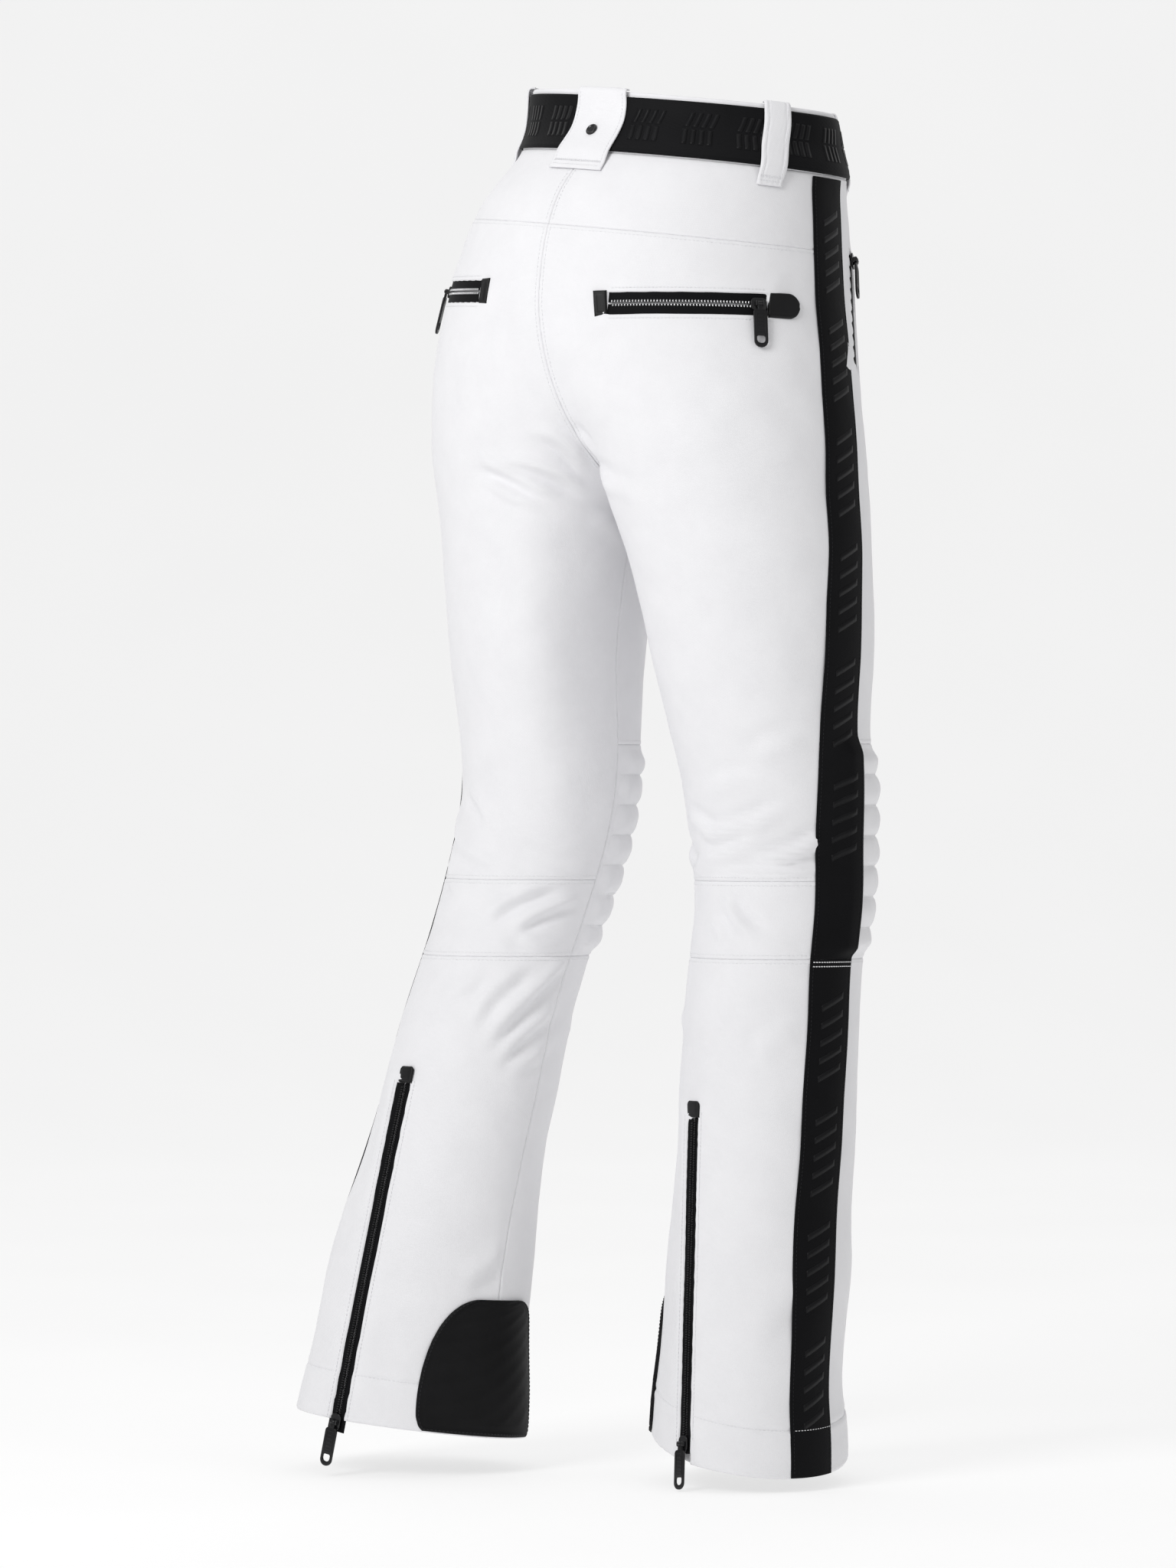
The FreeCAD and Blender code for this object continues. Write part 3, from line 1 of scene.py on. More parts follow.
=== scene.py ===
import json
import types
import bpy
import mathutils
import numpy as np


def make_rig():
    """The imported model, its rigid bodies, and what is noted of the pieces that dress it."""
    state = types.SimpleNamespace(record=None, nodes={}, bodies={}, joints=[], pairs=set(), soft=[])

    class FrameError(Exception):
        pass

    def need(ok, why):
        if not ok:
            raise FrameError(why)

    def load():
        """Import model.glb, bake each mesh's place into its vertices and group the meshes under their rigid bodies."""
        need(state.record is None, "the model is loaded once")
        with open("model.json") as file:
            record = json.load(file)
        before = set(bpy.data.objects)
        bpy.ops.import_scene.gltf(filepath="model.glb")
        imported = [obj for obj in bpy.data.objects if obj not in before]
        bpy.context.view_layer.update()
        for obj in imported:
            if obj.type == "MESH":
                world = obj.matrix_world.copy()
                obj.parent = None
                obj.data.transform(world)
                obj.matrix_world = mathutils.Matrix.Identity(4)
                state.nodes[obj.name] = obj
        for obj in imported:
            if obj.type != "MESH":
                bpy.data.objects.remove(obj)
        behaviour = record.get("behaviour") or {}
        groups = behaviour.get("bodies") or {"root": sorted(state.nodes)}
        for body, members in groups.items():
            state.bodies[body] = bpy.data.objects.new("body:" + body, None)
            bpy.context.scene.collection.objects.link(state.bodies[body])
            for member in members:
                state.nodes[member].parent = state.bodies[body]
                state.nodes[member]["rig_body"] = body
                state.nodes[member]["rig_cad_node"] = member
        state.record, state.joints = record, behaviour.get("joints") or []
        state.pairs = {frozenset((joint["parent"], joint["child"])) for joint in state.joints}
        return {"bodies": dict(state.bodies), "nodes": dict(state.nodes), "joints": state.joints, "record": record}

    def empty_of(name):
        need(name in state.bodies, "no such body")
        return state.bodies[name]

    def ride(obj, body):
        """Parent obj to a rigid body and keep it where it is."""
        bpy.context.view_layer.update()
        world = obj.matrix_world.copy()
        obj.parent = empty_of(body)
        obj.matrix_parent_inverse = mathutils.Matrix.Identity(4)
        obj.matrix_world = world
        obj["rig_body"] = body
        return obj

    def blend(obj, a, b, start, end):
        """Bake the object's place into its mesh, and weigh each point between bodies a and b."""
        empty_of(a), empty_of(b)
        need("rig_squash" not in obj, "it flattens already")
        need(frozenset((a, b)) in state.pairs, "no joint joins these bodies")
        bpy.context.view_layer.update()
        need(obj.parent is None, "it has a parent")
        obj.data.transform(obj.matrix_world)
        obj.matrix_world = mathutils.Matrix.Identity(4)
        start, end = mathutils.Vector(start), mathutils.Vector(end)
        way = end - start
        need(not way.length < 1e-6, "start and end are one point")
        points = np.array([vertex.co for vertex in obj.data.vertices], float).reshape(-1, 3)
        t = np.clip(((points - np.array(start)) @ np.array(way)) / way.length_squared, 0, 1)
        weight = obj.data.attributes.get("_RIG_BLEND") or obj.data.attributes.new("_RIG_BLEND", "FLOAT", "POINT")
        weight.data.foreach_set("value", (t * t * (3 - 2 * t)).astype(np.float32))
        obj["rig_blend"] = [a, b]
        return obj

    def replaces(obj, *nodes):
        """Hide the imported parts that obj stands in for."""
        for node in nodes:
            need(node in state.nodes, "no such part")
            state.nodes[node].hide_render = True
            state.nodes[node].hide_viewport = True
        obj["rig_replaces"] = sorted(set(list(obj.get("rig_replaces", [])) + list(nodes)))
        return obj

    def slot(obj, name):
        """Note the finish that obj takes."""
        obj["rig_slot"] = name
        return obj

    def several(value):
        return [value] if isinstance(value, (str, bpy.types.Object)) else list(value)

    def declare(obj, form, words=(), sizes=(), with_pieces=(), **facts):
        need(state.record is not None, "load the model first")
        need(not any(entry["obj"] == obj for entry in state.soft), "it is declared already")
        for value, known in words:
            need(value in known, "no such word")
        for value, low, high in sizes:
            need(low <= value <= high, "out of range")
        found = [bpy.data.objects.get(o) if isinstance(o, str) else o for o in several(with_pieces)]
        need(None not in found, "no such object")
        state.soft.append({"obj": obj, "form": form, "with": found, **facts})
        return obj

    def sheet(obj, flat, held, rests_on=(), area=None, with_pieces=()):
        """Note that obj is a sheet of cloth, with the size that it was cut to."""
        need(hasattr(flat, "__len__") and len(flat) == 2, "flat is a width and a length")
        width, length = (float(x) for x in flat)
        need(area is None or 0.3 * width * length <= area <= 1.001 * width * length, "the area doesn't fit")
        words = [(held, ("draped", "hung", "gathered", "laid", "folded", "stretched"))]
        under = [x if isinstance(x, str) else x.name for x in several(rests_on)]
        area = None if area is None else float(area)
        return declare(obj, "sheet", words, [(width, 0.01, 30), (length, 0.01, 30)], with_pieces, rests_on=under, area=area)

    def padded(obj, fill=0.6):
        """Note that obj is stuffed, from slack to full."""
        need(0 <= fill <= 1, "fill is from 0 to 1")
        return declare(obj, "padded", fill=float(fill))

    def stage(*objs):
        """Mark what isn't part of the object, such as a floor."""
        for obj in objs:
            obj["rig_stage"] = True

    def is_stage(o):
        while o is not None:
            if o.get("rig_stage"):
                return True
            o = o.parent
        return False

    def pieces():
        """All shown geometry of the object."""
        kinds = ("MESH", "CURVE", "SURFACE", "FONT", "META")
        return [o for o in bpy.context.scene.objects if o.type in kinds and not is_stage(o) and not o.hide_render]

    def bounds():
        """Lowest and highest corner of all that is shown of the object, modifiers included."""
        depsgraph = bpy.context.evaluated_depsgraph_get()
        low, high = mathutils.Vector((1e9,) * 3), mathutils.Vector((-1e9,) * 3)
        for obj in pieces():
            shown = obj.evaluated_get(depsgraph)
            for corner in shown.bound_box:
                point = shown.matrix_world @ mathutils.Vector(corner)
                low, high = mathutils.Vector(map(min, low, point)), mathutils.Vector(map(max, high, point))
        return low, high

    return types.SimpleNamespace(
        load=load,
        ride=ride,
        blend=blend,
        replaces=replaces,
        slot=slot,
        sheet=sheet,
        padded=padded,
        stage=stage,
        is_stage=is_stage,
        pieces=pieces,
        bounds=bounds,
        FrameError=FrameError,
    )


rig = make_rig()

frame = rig.load()        # bodies, nodes, joints, record
CAD_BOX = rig.bounds()
import bpy, math, json
import numpy as np

NODES = frame["nodes"]
PI = math.pi

# ------------------------------------------------------------------ the garment's outer shape (mm, depth q below the waist)
PHI = math.radians(40.0)
RX, RY = -math.cos(PHI), -math.sin(PHI)
BX, BY = -math.sin(PHI), math.cos(PHI)


class Spline:
    def __init__(self, xs, ys):
        xs, ys = np.array(xs, float), np.array(ys, float)
        n = len(xs)
        h = np.diff(xs)
        al = np.zeros(n)
        for i in range(1, n - 1):
            al[i] = 3 * ((ys[i + 1] - ys[i]) / h[i] - (ys[i] - ys[i - 1]) / h[i - 1])
        l, mu, zz = np.ones(n), np.zeros(n), np.zeros(n)
        for i in range(1, n - 1):
            l[i] = 2 * (xs[i + 1] - xs[i - 1]) - h[i - 1] * mu[i - 1]
            mu[i] = h[i] / l[i]
            zz[i] = (al[i] - h[i - 1] * zz[i - 1]) / l[i]
        c, b, d = np.zeros(n), np.zeros(n), np.zeros(n)
        for j in range(n - 2, -1, -1):
            c[j] = zz[j] - mu[j] * c[j + 1]
            b[j] = (ys[j + 1] - ys[j]) / h[j] - h[j] * (c[j + 1] + 2 * c[j]) / 3
            d[j] = (c[j + 1] - c[j]) / (3 * h[j])
        self.x, self.y, self.b, self.c, self.d = xs, ys, b, c, d
        t = xs[-1] - xs[-2]
        self.end = b[-2] + 2 * c[-2] * t + 3 * d[-2] * t * t

    def __call__(self, x):
        x = np.asarray(x, float)
        i = np.clip(np.searchsorted(self.x, x, "right") - 1, 0, len(self.x) - 2)
        t = x - self.x[i]
        v = self.y[i] + t * (self.b[i] + t * (self.c[i] + t * self.d[i]))
        v = np.where(x < self.x[0], self.y[0] + self.b[0] * (x - self.x[0]), v)
        return np.where(x > self.x[-1], self.y[-1] + self.end * (x - self.x[-1]), v)


def half_depth(E, C):
    lo, hi = 20.0, 200.0
    for _ in range(40):
        F = (lo + hi) / 2
        hh = ((E - F) / (E + F)) ** 2
        if math.pi * (E + F) * (1 + 3 * hh / (10 + math.sqrt(4 - 3 * hh))) < C:
            lo = F
        else:
            hi = F
    return F


PEL = [(0, 0.5, 110.5, .72, 0.0), (14, 0.2, 111.5, .72, 0.0), (30, -1.0, 115.5, .74, 1.0), (45, -4.0, 121.5, .78, 3.0),
       (61, -8.5, 129.5, .80, 5.0), (72, -12.5, 133.5, .81, 7.0), (95, -17.5, 140.0, .82, 10.0), (118, -21.3, 144.8, .81, 12.0),
       (141, -24.3, 148.6, .79, 13.0), (164, -26.2, 152.0, .77, 14.0), (187, -26.8, 153.8, .76, 14.0), (210, -26.5, 154.8, .76, 14.0),
       (233, -25.5, 155.0, .76, 13.0), (256, -24.0, 155.6, .76, 12.0), (280, -22.5, 157.0, .76, 11.0), (330, -20, 157, .76, 10.0)]
RL = [(180, 28, 84, 106, 620), (230, 30.5, 82, 101.5, 610), (265, 34.5, 79, 98.5, 602), (302.6, 39.8, 74, 96.2, 588),
      (340.3, 47.6, 70, 91.0, 570), (371, 52.5, 66, 86.9, 552), (418.6, 58.4, 60, 81.3, 528), (464, 63.5, 57, 74.2, 490),
      (509, 70.4, 53, 70.0, 450), (555, 74.0, 50, 66.6, 420), (600, 74.6, 50, 63.9, 404), (645, 69.2, 55, 62.7, 398),
      (690, 66.0, 59, 64.0, 402), (736, 63.3, 64, 64.3, 408), (781, 61.8, 68, 63.9, 416), (826, 58.3, 72, 65.6, 428),
      (870, 55.6, 77, 66.9, 440), (915, 51.8, 81, 66.0, 454), (960, 48.5, 86, 68.2, 466), (982, 48.6, 88, 70.0, 472),
      (1030, 48, 90, 71, 480)]
LL = [(180, -98, -10, 98, 620), (230, -95.5, -16, 93.5, 610), (265, -95.5, -20, 90.5, 602), (302.6, -96.5, -23, 85.0, 588),
      (340.3, -98.0, -24, 80.2, 570), (371, -99, -24, 76.8, 552), (416.8, -100.0, -24, 72.0, 528), (463, -98.5, -31, 68.3, 490),
      (509, -98.6, -33, 65.0, 450), (556, -105.8, -31, 64.2, 420), (602, -118.8, -25, 62.6, 404), (648, -134.2, -15, 61.6, 398),
      (694, -148.0, -7, 63.1, 402), (739, -158.0, -2, 63.9, 408), (785, -169.4, 4, 66.1, 416), (831, -180.2, 9, 71.1, 428),
      (876, -188.4, 13, 75.4, 440), (922, -194.6, 14, 78.2, 454), (968, -200.4, 15, 84.3, 470), (1010, -205, 16, 87, 480)]
_p = [Spline([r[0] for r in PEL], [r[k] for r in PEL]) for k in (1, 2, 3, 4)]


def _legtab(T):
    q = [r[0] for r in T]
    return [Spline(q, [r[1] for r in T]), Spline(q, [r[2] for r in T]), Spline(q, [r[3] for r in T]),
            Spline(q, [half_depth(r[3], r[4]) for r in T])]


_l = {-1: _legtab(RL), 1: _legtab(LL)}
KS, KM, Q0, YM, RU = 14.0, 22.0, 292.0, 40.0, 70.0
T = 1.4
SEAM = 0.03
GAP = 0.04
YOKE, KTOP, KSEAM, KBOT = 103.5, 482.0, 583.0, 640.0
ROLL, PITCH = 0.125, 0.007
HB = 47.0


def smooth(a, b, x):
    t = np.clip((np.asarray(x, float) - a) / (b - a), 0, 1)
    return t * t * (3 - 2 * t)


def pel(q):
    s, E, asp, xc = [f(q) for f in _p]
    ax = E / np.sqrt(math.cos(PHI) ** 2 + (asp * math.sin(PHI)) ** 2)
    return xc, (-s - xc * math.cos(PHI)) / math.sin(PHI), ax, asp * ax


def leg(side, q):
    s, d, E, F = [f(q) for f in _l[side]]
    return s * RX + d * BX, s * RY + d * BY, E, F


def centre(side, q):
    px, py, ax, ay = pel(np.minimum(q, 330.0))
    lx, ly, E, F = leg(side, np.maximum(q, 180.0))
    w = smooth(60.0, 320.0, q)
    return (px + side * 0.5 * ax) * (1 - w) + lx * w, py * (1 - w) + ly * w


def level(q):
    q = np.asarray(q, float)
    return (pel(np.minimum(q, 330.0)), leg(1, np.maximum(q, 180.0)), leg(-1, np.maximum(q, 180.0)), smooth(150.0, 285.0, q), q,
            (centre(1, q)[0] + centre(-1, q)[0]) / 2)


def fval(x, y, L):
    P, Lf, Rt, w, q, xs = L
    f0 = (np.hypot((x - P[0]) / P[2], (y - P[1]) / P[3]) - 1) * np.sqrt(P[2] * P[3])
    gap = 24.0 * np.tanh((q - (Q0 - (y - YM) ** 2 / (2 * RU))) / 95.0)
    v = []
    for sd, g in ((1, Lf), (-1, Rt)):
        dx, dy = x - g[0], y - g[1]
        e = (np.hypot((dx * RX + dy * RY) / g[2], (dx * BX + dy * BY) / g[3]) - 1) * np.sqrt(g[2] * g[3])
        hs = gap - sd * (x - xs)
        hk = np.maximum(KM - np.abs(e - hs), 0) / KM
        v.append(np.maximum(e, hs) + hk * hk * KM / 4)
    a, b = v
    hh = np.maximum(KS - np.abs(a - b), 0) / KS
    return f0 * (1 - w) + (np.minimum(a, b) - hh * hh * KS / 4) * w


def radius(side, q, th):
    q, th = np.broadcast_arrays(np.asarray(q, float), np.asarray(th, float))
    L = level(q)
    cx, cy = centre(side, q)
    dx, dy = side * np.cos(th), np.sin(th)
    stop = np.where(dx * side < -1e-6, (L[5] - cx) / np.where(np.abs(dx) < 1e-9, 1e-9, dx), 1e9)
    r0 = np.full(q.shape, 20.0)
    r1 = r0.copy()
    done = np.zeros(q.shape, bool)
    atstop = np.zeros(q.shape, bool)
    for _ in range(28):
        nr = np.minimum(r1 + 12.0, stop)
        f = fval(cx + dx * nr, cy + dy * nr, L) > 0
        go = ~done
        r1 = np.where(go, nr, r1)
        end = go & ~f & (nr >= stop)
        atstop |= end
        r0 = np.where(go & ~f & ~end, nr, r0)
        done |= f | end
        if done.all():
            break
    for _ in range(24):
        m = (r0 + r1) / 2
        f = fval(cx + dx * m, cy + dy * m, L) > 0
        r1 = np.where(f & ~atstop, m, r1)
        r0 = np.where(~f & ~atstop, m, r0)
    return np.where(atstop, stop, (r0 + r1) / 2)


def normal(x, y, q):
    e = 0.5
    L = level(q)
    gx = fval(x + e, y, L) - fval(x - e, y, L)
    gy = fval(x, y + e, L) - fval(x, y - e, L)
    gq = fval(x, y, level(q + e)) - fval(x, y, level(q - e))
    m = np.sqrt(gx * gx + gy * gy + gq * gq)
    return np.stack([gx / m, gy / m, -gq / m], -1)


def base(side, q, th):
    q, th = np.broadcast_arrays(np.asarray(q, float), np.asarray(th, float))
    cx, cy = centre(side, q)
    r = radius(side, q, th)
    x, y = cx + side * np.cos(th) * r, cy + np.sin(th) * r
    return np.stack([x, y, -q], -1), normal(x, y, q)


def seam(q, front):
    q = np.atleast_1d(np.asarray(q, float))
    L = level(q)
    x = L[5]
    ym = (centre(1, q)[1] + centre(-1, q)[1]) / 2
    cand = ym[:, None] + np.arange(-20, 21)[None, :] * 4.0
    LL_ = tuple((tuple(a[:, None] for a in t) if isinstance(t, tuple) else t[:, None]) for t in L)
    F = fval(x[:, None], cand, LL_)
    k = F.argmin(1)
    y0 = cand[np.arange(len(q)), k]
    inside = F.min(1) < 0
    sg = -1.0 if front else 1.0
    y1 = y0.copy()
    done = ~inside
    for _ in range(60):
        f = fval(x, y1, L) >= 0
        done |= f
        if done.all():
            break
        y1 = np.where(done, y1, y1 + sg * 6)
    lo, hi = y1 - sg * 6, y1.copy()
    for _ in range(30):
        m = (lo + hi) / 2
        f = fval(x, m, L) < 0
        lo = np.where(f, m, lo)
        hi = np.where(f, hi, m)
    return x, np.where(inside, (lo + hi) / 2, np.nan)


lo, hi = 280.0, 330.0
for _ in range(30):
    m = (lo + hi) / 2
    if np.isnan(seam(m, True)[1][0]):
        hi = m
    else:
        lo = m
QC = lo
YC = float(seam(QC - 0.02, True)[1][0] + seam(QC - 0.02, False)[1][0]) / 2
INNER = {}
for sd in (1, -1):
    c = centre(sd, QC)
    a = math.atan2(YC - c[1], sd * (float(level(QC)[5]) - c[0]))
    INNER[sd] = a if a > 0 else a + 2 * PI


def inseam(side, q):
    return PI + (INNER[side] - PI) * (1 - smooth(QC, QC + 170.0, q))


def seam_angle(side, q, front):
    q = np.asarray(q, float)
    sh = q.shape
    qq = np.atleast_1d(q).ravel()
    x, y = seam(np.minimum(qq, QC - 0.02), front)
    cx, cy = centre(side, qq)
    a = np.arctan2(y - cy, side * (x - cx))
    a = np.where(a > 0, a - 2 * PI, a) if front else np.where(a < 0, a + 2 * PI, a)
    below = inseam(side, qq) - (2 * PI if front else 0.0)
    return np.where(qq >= QC - 0.02, below, a).reshape(sh)


_st = Spline([0, 50, 100, 150, 200, 245, 290, 335, 380, 420, 465, 510, 555, 600, 645, 690, 735, 780, 825, 870, 915, 1010],
             [-7, -9, -11, -12, -9.5, -6, -4, -1, 3.5, 6.5, 10, 13, 14.5, 14, 12, 11, 12.5, 14.5, 16.3, 16.6, 16, 15.5])


def stripe_angle(q):
    return np.radians(_st(q))


HEM = {}
for sd, s, d, z, gx, gy in ((-1, 49.3, 88.0, 996.9, 0.2, -0.061), (1, -202.9, 15.0, 988.9, 0.085, 0.098)):
    HEM[sd] = (s * RX + d * BX, s * RY + d * BY, z, gx, gy)


def depth_at(side, th, hgt):
    th, hgt = np.broadcast_arrays(np.asarray(th, float), np.asarray(hgt, float))
    q = hgt.copy()
    h = HEM[side]
    for _ in range(4):
        p = centre(side, q)
        r = radius(side, q, th)
        x, y = p[0] + side * np.cos(th) * r, p[1] + np.sin(th) * r
        up = hgt - (ROLL * x + PITCH * y) * (1 - smooth(110, 300, hgt))
        k = (hgt - KBOT) / (h[2] - KBOT)
        dn = hgt + k * (-h[3] * (x - h[0]) - h[4] * (y - h[1]))
        q = np.where(hgt < 300, up, np.where(hgt > KBOT, dn, hgt))
    return q


def lerp(a, b, t):
    return a + (b - a) * t


EDGE = np.array([0, 0.7, 1.6, 2.7, 4.0, 5.8])


def spaced(total, step, edge=True):
    """stations 0..total, finer near both ends"""
    if not edge:
        return np.linspace(0, total, max(2, int(total / step) + 1))
    a = EDGE[-1]
    n = max(2, int((total - 2 * a) / step) + 1)
    return np.concatenate([EDGE, np.linspace(a, total - a, n + 1)[1:-1], (total - EDGE)[::-1]])


def inner_path(side, front, h0, q_end, step):
    q0 = float(depth_at(side, seam_angle(side, h0, front), h0))
    n = 400
    t = np.arange(n + 1) / n
    q = lerp(q0, QC - 0.02, 1 - (1 - t) ** 2)
    y = seam(q, front)[1]
    cum = np.concatenate([[0], np.cumsum(np.hypot(np.diff(y), np.diff(q)))])
    total = cum[-1] + abs(y[-1] - YC)
    R = 7.0
    stop = total - R
    sv = np.concatenate([EDGE, np.linspace(EDGE[-1], stop, max(4, int(stop / step)))[1:]])
    qq = np.interp(sv, cum, q)
    th = seam_angle(side, qq, front)
    wrap = 2 * PI if front else 0.0
    tc, te = float(inseam(side, QC)) - wrap, float(inseam(side, QC + R)) - wrap
    k = np.arange(1, 9) / 8
    thc = (1 - k) ** 2 * th[-1] + 2 * k * (1 - k) * tc + k * k * te
    qc = (1 - k) ** 2 * qq[-1] + 2 * k * (1 - k) * QC + k * k * (QC + R)
    sc = stop + 2 * R * k * 0.8
    rest = q_end - (QC + R)
    dd = np.concatenate([np.linspace(0, rest - EDGE[-1], max(3, int(rest / step)))[1:], (rest - EDGE)[::-1][1:]])
    return (np.concatenate([qq, qc, QC + R + dd]), np.concatenate([th, thc, inseam(side, QC + R + dd) - wrap]),
            np.concatenate([sv, sc, sc[-1] + dd]), sc[-1])


def leg_grid(side, front, h0, q_end, step=4.0, width=240.0):
    qi, ti, sv, s_corner = inner_path(side, front, h0, q_end, step)
    sgn = -1 if front else 1
    h_o = np.where(sv <= s_corner, lerp(h0, QC + 7.0, sv / s_corner), lerp(QC + 7.0, q_end, (sv - s_corner) / (sv[-1] - s_corner)))
    th_in = ti - sgn * SEAM / np.maximum(20.0, radius(side, qi, ti))
    q_o = depth_at(side, 0.1, h_o)
    th_o = stripe_angle(q_o)
    th_o = th_o + sgn * SEAM / radius(side, q_o, th_o)
    u = spaced(width, step) / width
    th = lerp(th_o[:, None], th_in[:, None], u[None, :])
    q_lev = depth_at(side, th, h_o[:, None])
    w = (u * u)[None, :]
    q = q_lev + (qi - depth_at(side, ti, h_o))[:, None] * w
    q[:, -1] = qi
    return q, th


def tube_grid(side, tha, thb, ha, hb, step=4.0, width=110.0, edge=True):
    hs = ha + spaced(hb - ha, step, edge)
    u = spaced(width, step, edge) / width
    hg = np.repeat(hs[:, None], len(u), 1)
    q = hg.copy()
    for _ in range(3):
        th = tha(q) + (thb(q) - tha(q)) * u[None, :]
        q = depth_at(side, th, hg)
    return q, th


def off_edge(side, f, sgn, extra=0.0):
    def g(q):
        a = f(q)
        return a + sgn * (SEAM + extra) / radius(side, q, a)
    return g


# ------------------------------------------------------------------ folds in the cloth
# side, depth and angle of both ends, height mm, half width mm
FOLDS = [
    (1, 271.7, 95.3, 298.1, 129.3, 2.6, 5.0), (1, 271.1, 109.0, 289.5, 141.3, 2.6, 4.6), (1, 250.4, 124.8, 273.5, 143.0, 2.2, 5.5),
    (1, 284.0, 100.0, 306.0, 126.0, 1.5, 5.0), (1, 262.0, 96.0, 284.0, 120.0, 1.2, 4.5),
    (-1, 549.9, 103.0, 533.4, 52.0, 2.3, 5.5), (-1, 569.1, 64.0, 550.9, 27.0, 2.6, 5.0), (-1, 579.2, 84.0, 571.9, 30.2, 2.0, 4.5),
    (-1, 597.7, 90.6, 622.8, 68.7, 1.9, 5.0), (-1, 565.6, 108.7, 553.6, 68.4, 1.9, 5.0), (-1, 612.0, 104.0, 628.0, 92.0, 1.2, 5.0),
    (-1, 520.0, 98.0, 508.0, 62.0, 1.0, 6.0), (-1, 493.5, 62.9, 482.0, 34.4, 1.2, 6.5), (-1, 536.3, 124.4, 551.9, 98.3, 1.5, 5.0),
    (-1, 590.0, 132.0, 566.0, 112.0, 1.5, 5.0), (-1, 560.0, 160.0, 574.0, 128.0, 1.5, 6.0),
    (1, 607.7, 110.2, 584.8, 143.4, 2.4, 5.0), (1, 616.3, 130.1, 597.1, 164.0, 2.3, 5.0), (1, 620.6, 131.3, 633.5, 164.4, 1.3, 4.5),
    (1, 514.9, 70.4, 536.7, 93.9, 1.8, 5.5), (1, 556.8, 67.0, 584.2, 126.4, 2.0, 6.0), (1, 570.0, 50.0, 590.0, 80.0, 1.3, 5.5),
    (1, 545.0, 120.0, 560.0, 160.0, 1.2, 6.0), (1, 532.0, 40.0, 556.0, 66.0, 1.2, 6.0),
    (1, 699.9, 134.0, 642.8, 174.4, 2.7, 6.5), (1, 712.3, 143.3, 677.4, 180.3, 2.2, 6.0), (1, 684.1, 121.2, 646.9, 143.0, 1.9, 6.0),
    (1, 720.0, 158.0, 700.0, 186.0, 1.2, 6.0), (1, 873.4, 153.9, 855.9, 176.9, 1.4, 8.0), (1, 668.0, 96.0, 650.0, 118.0, 1.1, 6.0),
    (-1, 690.0, 140.0, 662.0, 176.0, 1.5, 6.5), (-1, 712.0, 60.0, 690.0, 36.0, 0.9, 8.0), (-1, 874.0, 30.0, 902.0, 52.0, 0.9, 9.0),
    (-1, 250.0, 150.0, 272.0, 128.0, 1.2, 6.0), (-1, 292.0, 130.0, 306.0, 100.0, 1.0, 7.0), (-1, 280.0, 145.0, 296.0, 118.0, 1.0, 6.0),
    (1, 330.0, 176.0, 316.0, 150.0, 1.2, 7.0), (-1, 330.0, 176.0, 318.0, 148.0, 1.2, 7.0),
    # front of the thighs, below the crotch and behind the hips
    (1, 262.0, -128.0, 232.0, -88.0, 1.6, 7.0), (-1, 262.0, -128.0, 232.0, -88.0, 1.6, 7.0), (1, 284.0, -140.0, 266.0, -100.0, 1.6, 6.5),
    (-1, 284.0, -140.0, 266.0, -100.0, 1.6, 6.5), (1, 306.0, -150.0, 300.0, -112.0, 1.2, 6.5), (-1, 306.0, -150.0, 300.0, -112.0, 1.2, 6.5),
    (1, 690.0, -70.0, 664.0, -130.0, 1.6, 7.0), (-1, 690.0, -70.0, 664.0, -130.0, 1.6, 7.0), (1, 716.0, -80.0, 694.0, -140.0, 1.2, 7.0),
    (-1, 716.0, -80.0, 694.0, -140.0, 1.2, 7.0),
]


def wrap_angle(a):
    return (a + PI) % (2 * PI) - PI


def fold_field(side, q, th):
    out = np.zeros(q.shape)
    R = radius(side, q, th)
    for sd, q0, t0, q1, t1, amp, wd in FOLDS:
        if sd != side:
            continue
        t0r, t1r = math.radians(t0), math.radians(t1)
        tm = (t0r + t1r) / 2
        X = wrap_angle(th - tm) * np.minimum(R, 95.0)
        near = (np.abs(X) < 90) & (np.abs(q - (q0 + q1) / 2) < 80)
        if not near.any():
            continue
        Rm = float(np.median(R[near]))
        ax, ay = (t0r - tm) * Rm, q0
        bx, by = (t1r - tm) * Rm, q1
        L = math.hypot(bx - ax, by - ay)
        ux, uy = (bx - ax) / L, (by - ay) / L
        px, py = wrap_angle(th - tm) * Rm - ax, q - ay
        s = (px * ux + py * uy) / L
        d = -px * uy + py * ux
        d = d + 5.0 * np.sin(s * PI) * (1 if amp > 1.6 else -1) * 0.6
        env = smooth(-0.18, 0.25, s) * (1 - smooth(0.7, 1.18, s))
        g = np.exp(-(d / wd) ** 2) - 0.85 * np.exp(-((d - 1.7 * wd) / (wd * 0.85)) ** 2)
        out += np.where(near, 1.55 * amp * env * g, 0.0)
    return out


def broad(p):
    x, y, z = p[..., 0] * 0.001, p[..., 1] * 0.001, p[..., 2] * 0.001
    v = 0.55 * np.sin(31 * x + 17 * z + 1.3) * np.sin(27 * y - 21 * z + 0.4)
    v += 0.40 * np.sin(52 * z + 23 * x - 31 * y) * np.sin(44 * x + 9 * y + 2.0)
    v += 0.25 * np.sin(95 * z - 61 * y + 40 * x + 0.7) * np.sin(71 * x + 83 * y)
    v += 0.12 * np.sin(190 * z + 120 * y) * np.sin(150 * x - 130 * y + 60 * z + 1.1)
    return v


# ------------------------------------------------------------------ materials
def material(name):
    m = bpy.data.materials.new(name)
    m.use_nodes = True
    nt = m.node_tree
    b = nt.nodes["Principled BSDF"]
    return m, nt, b


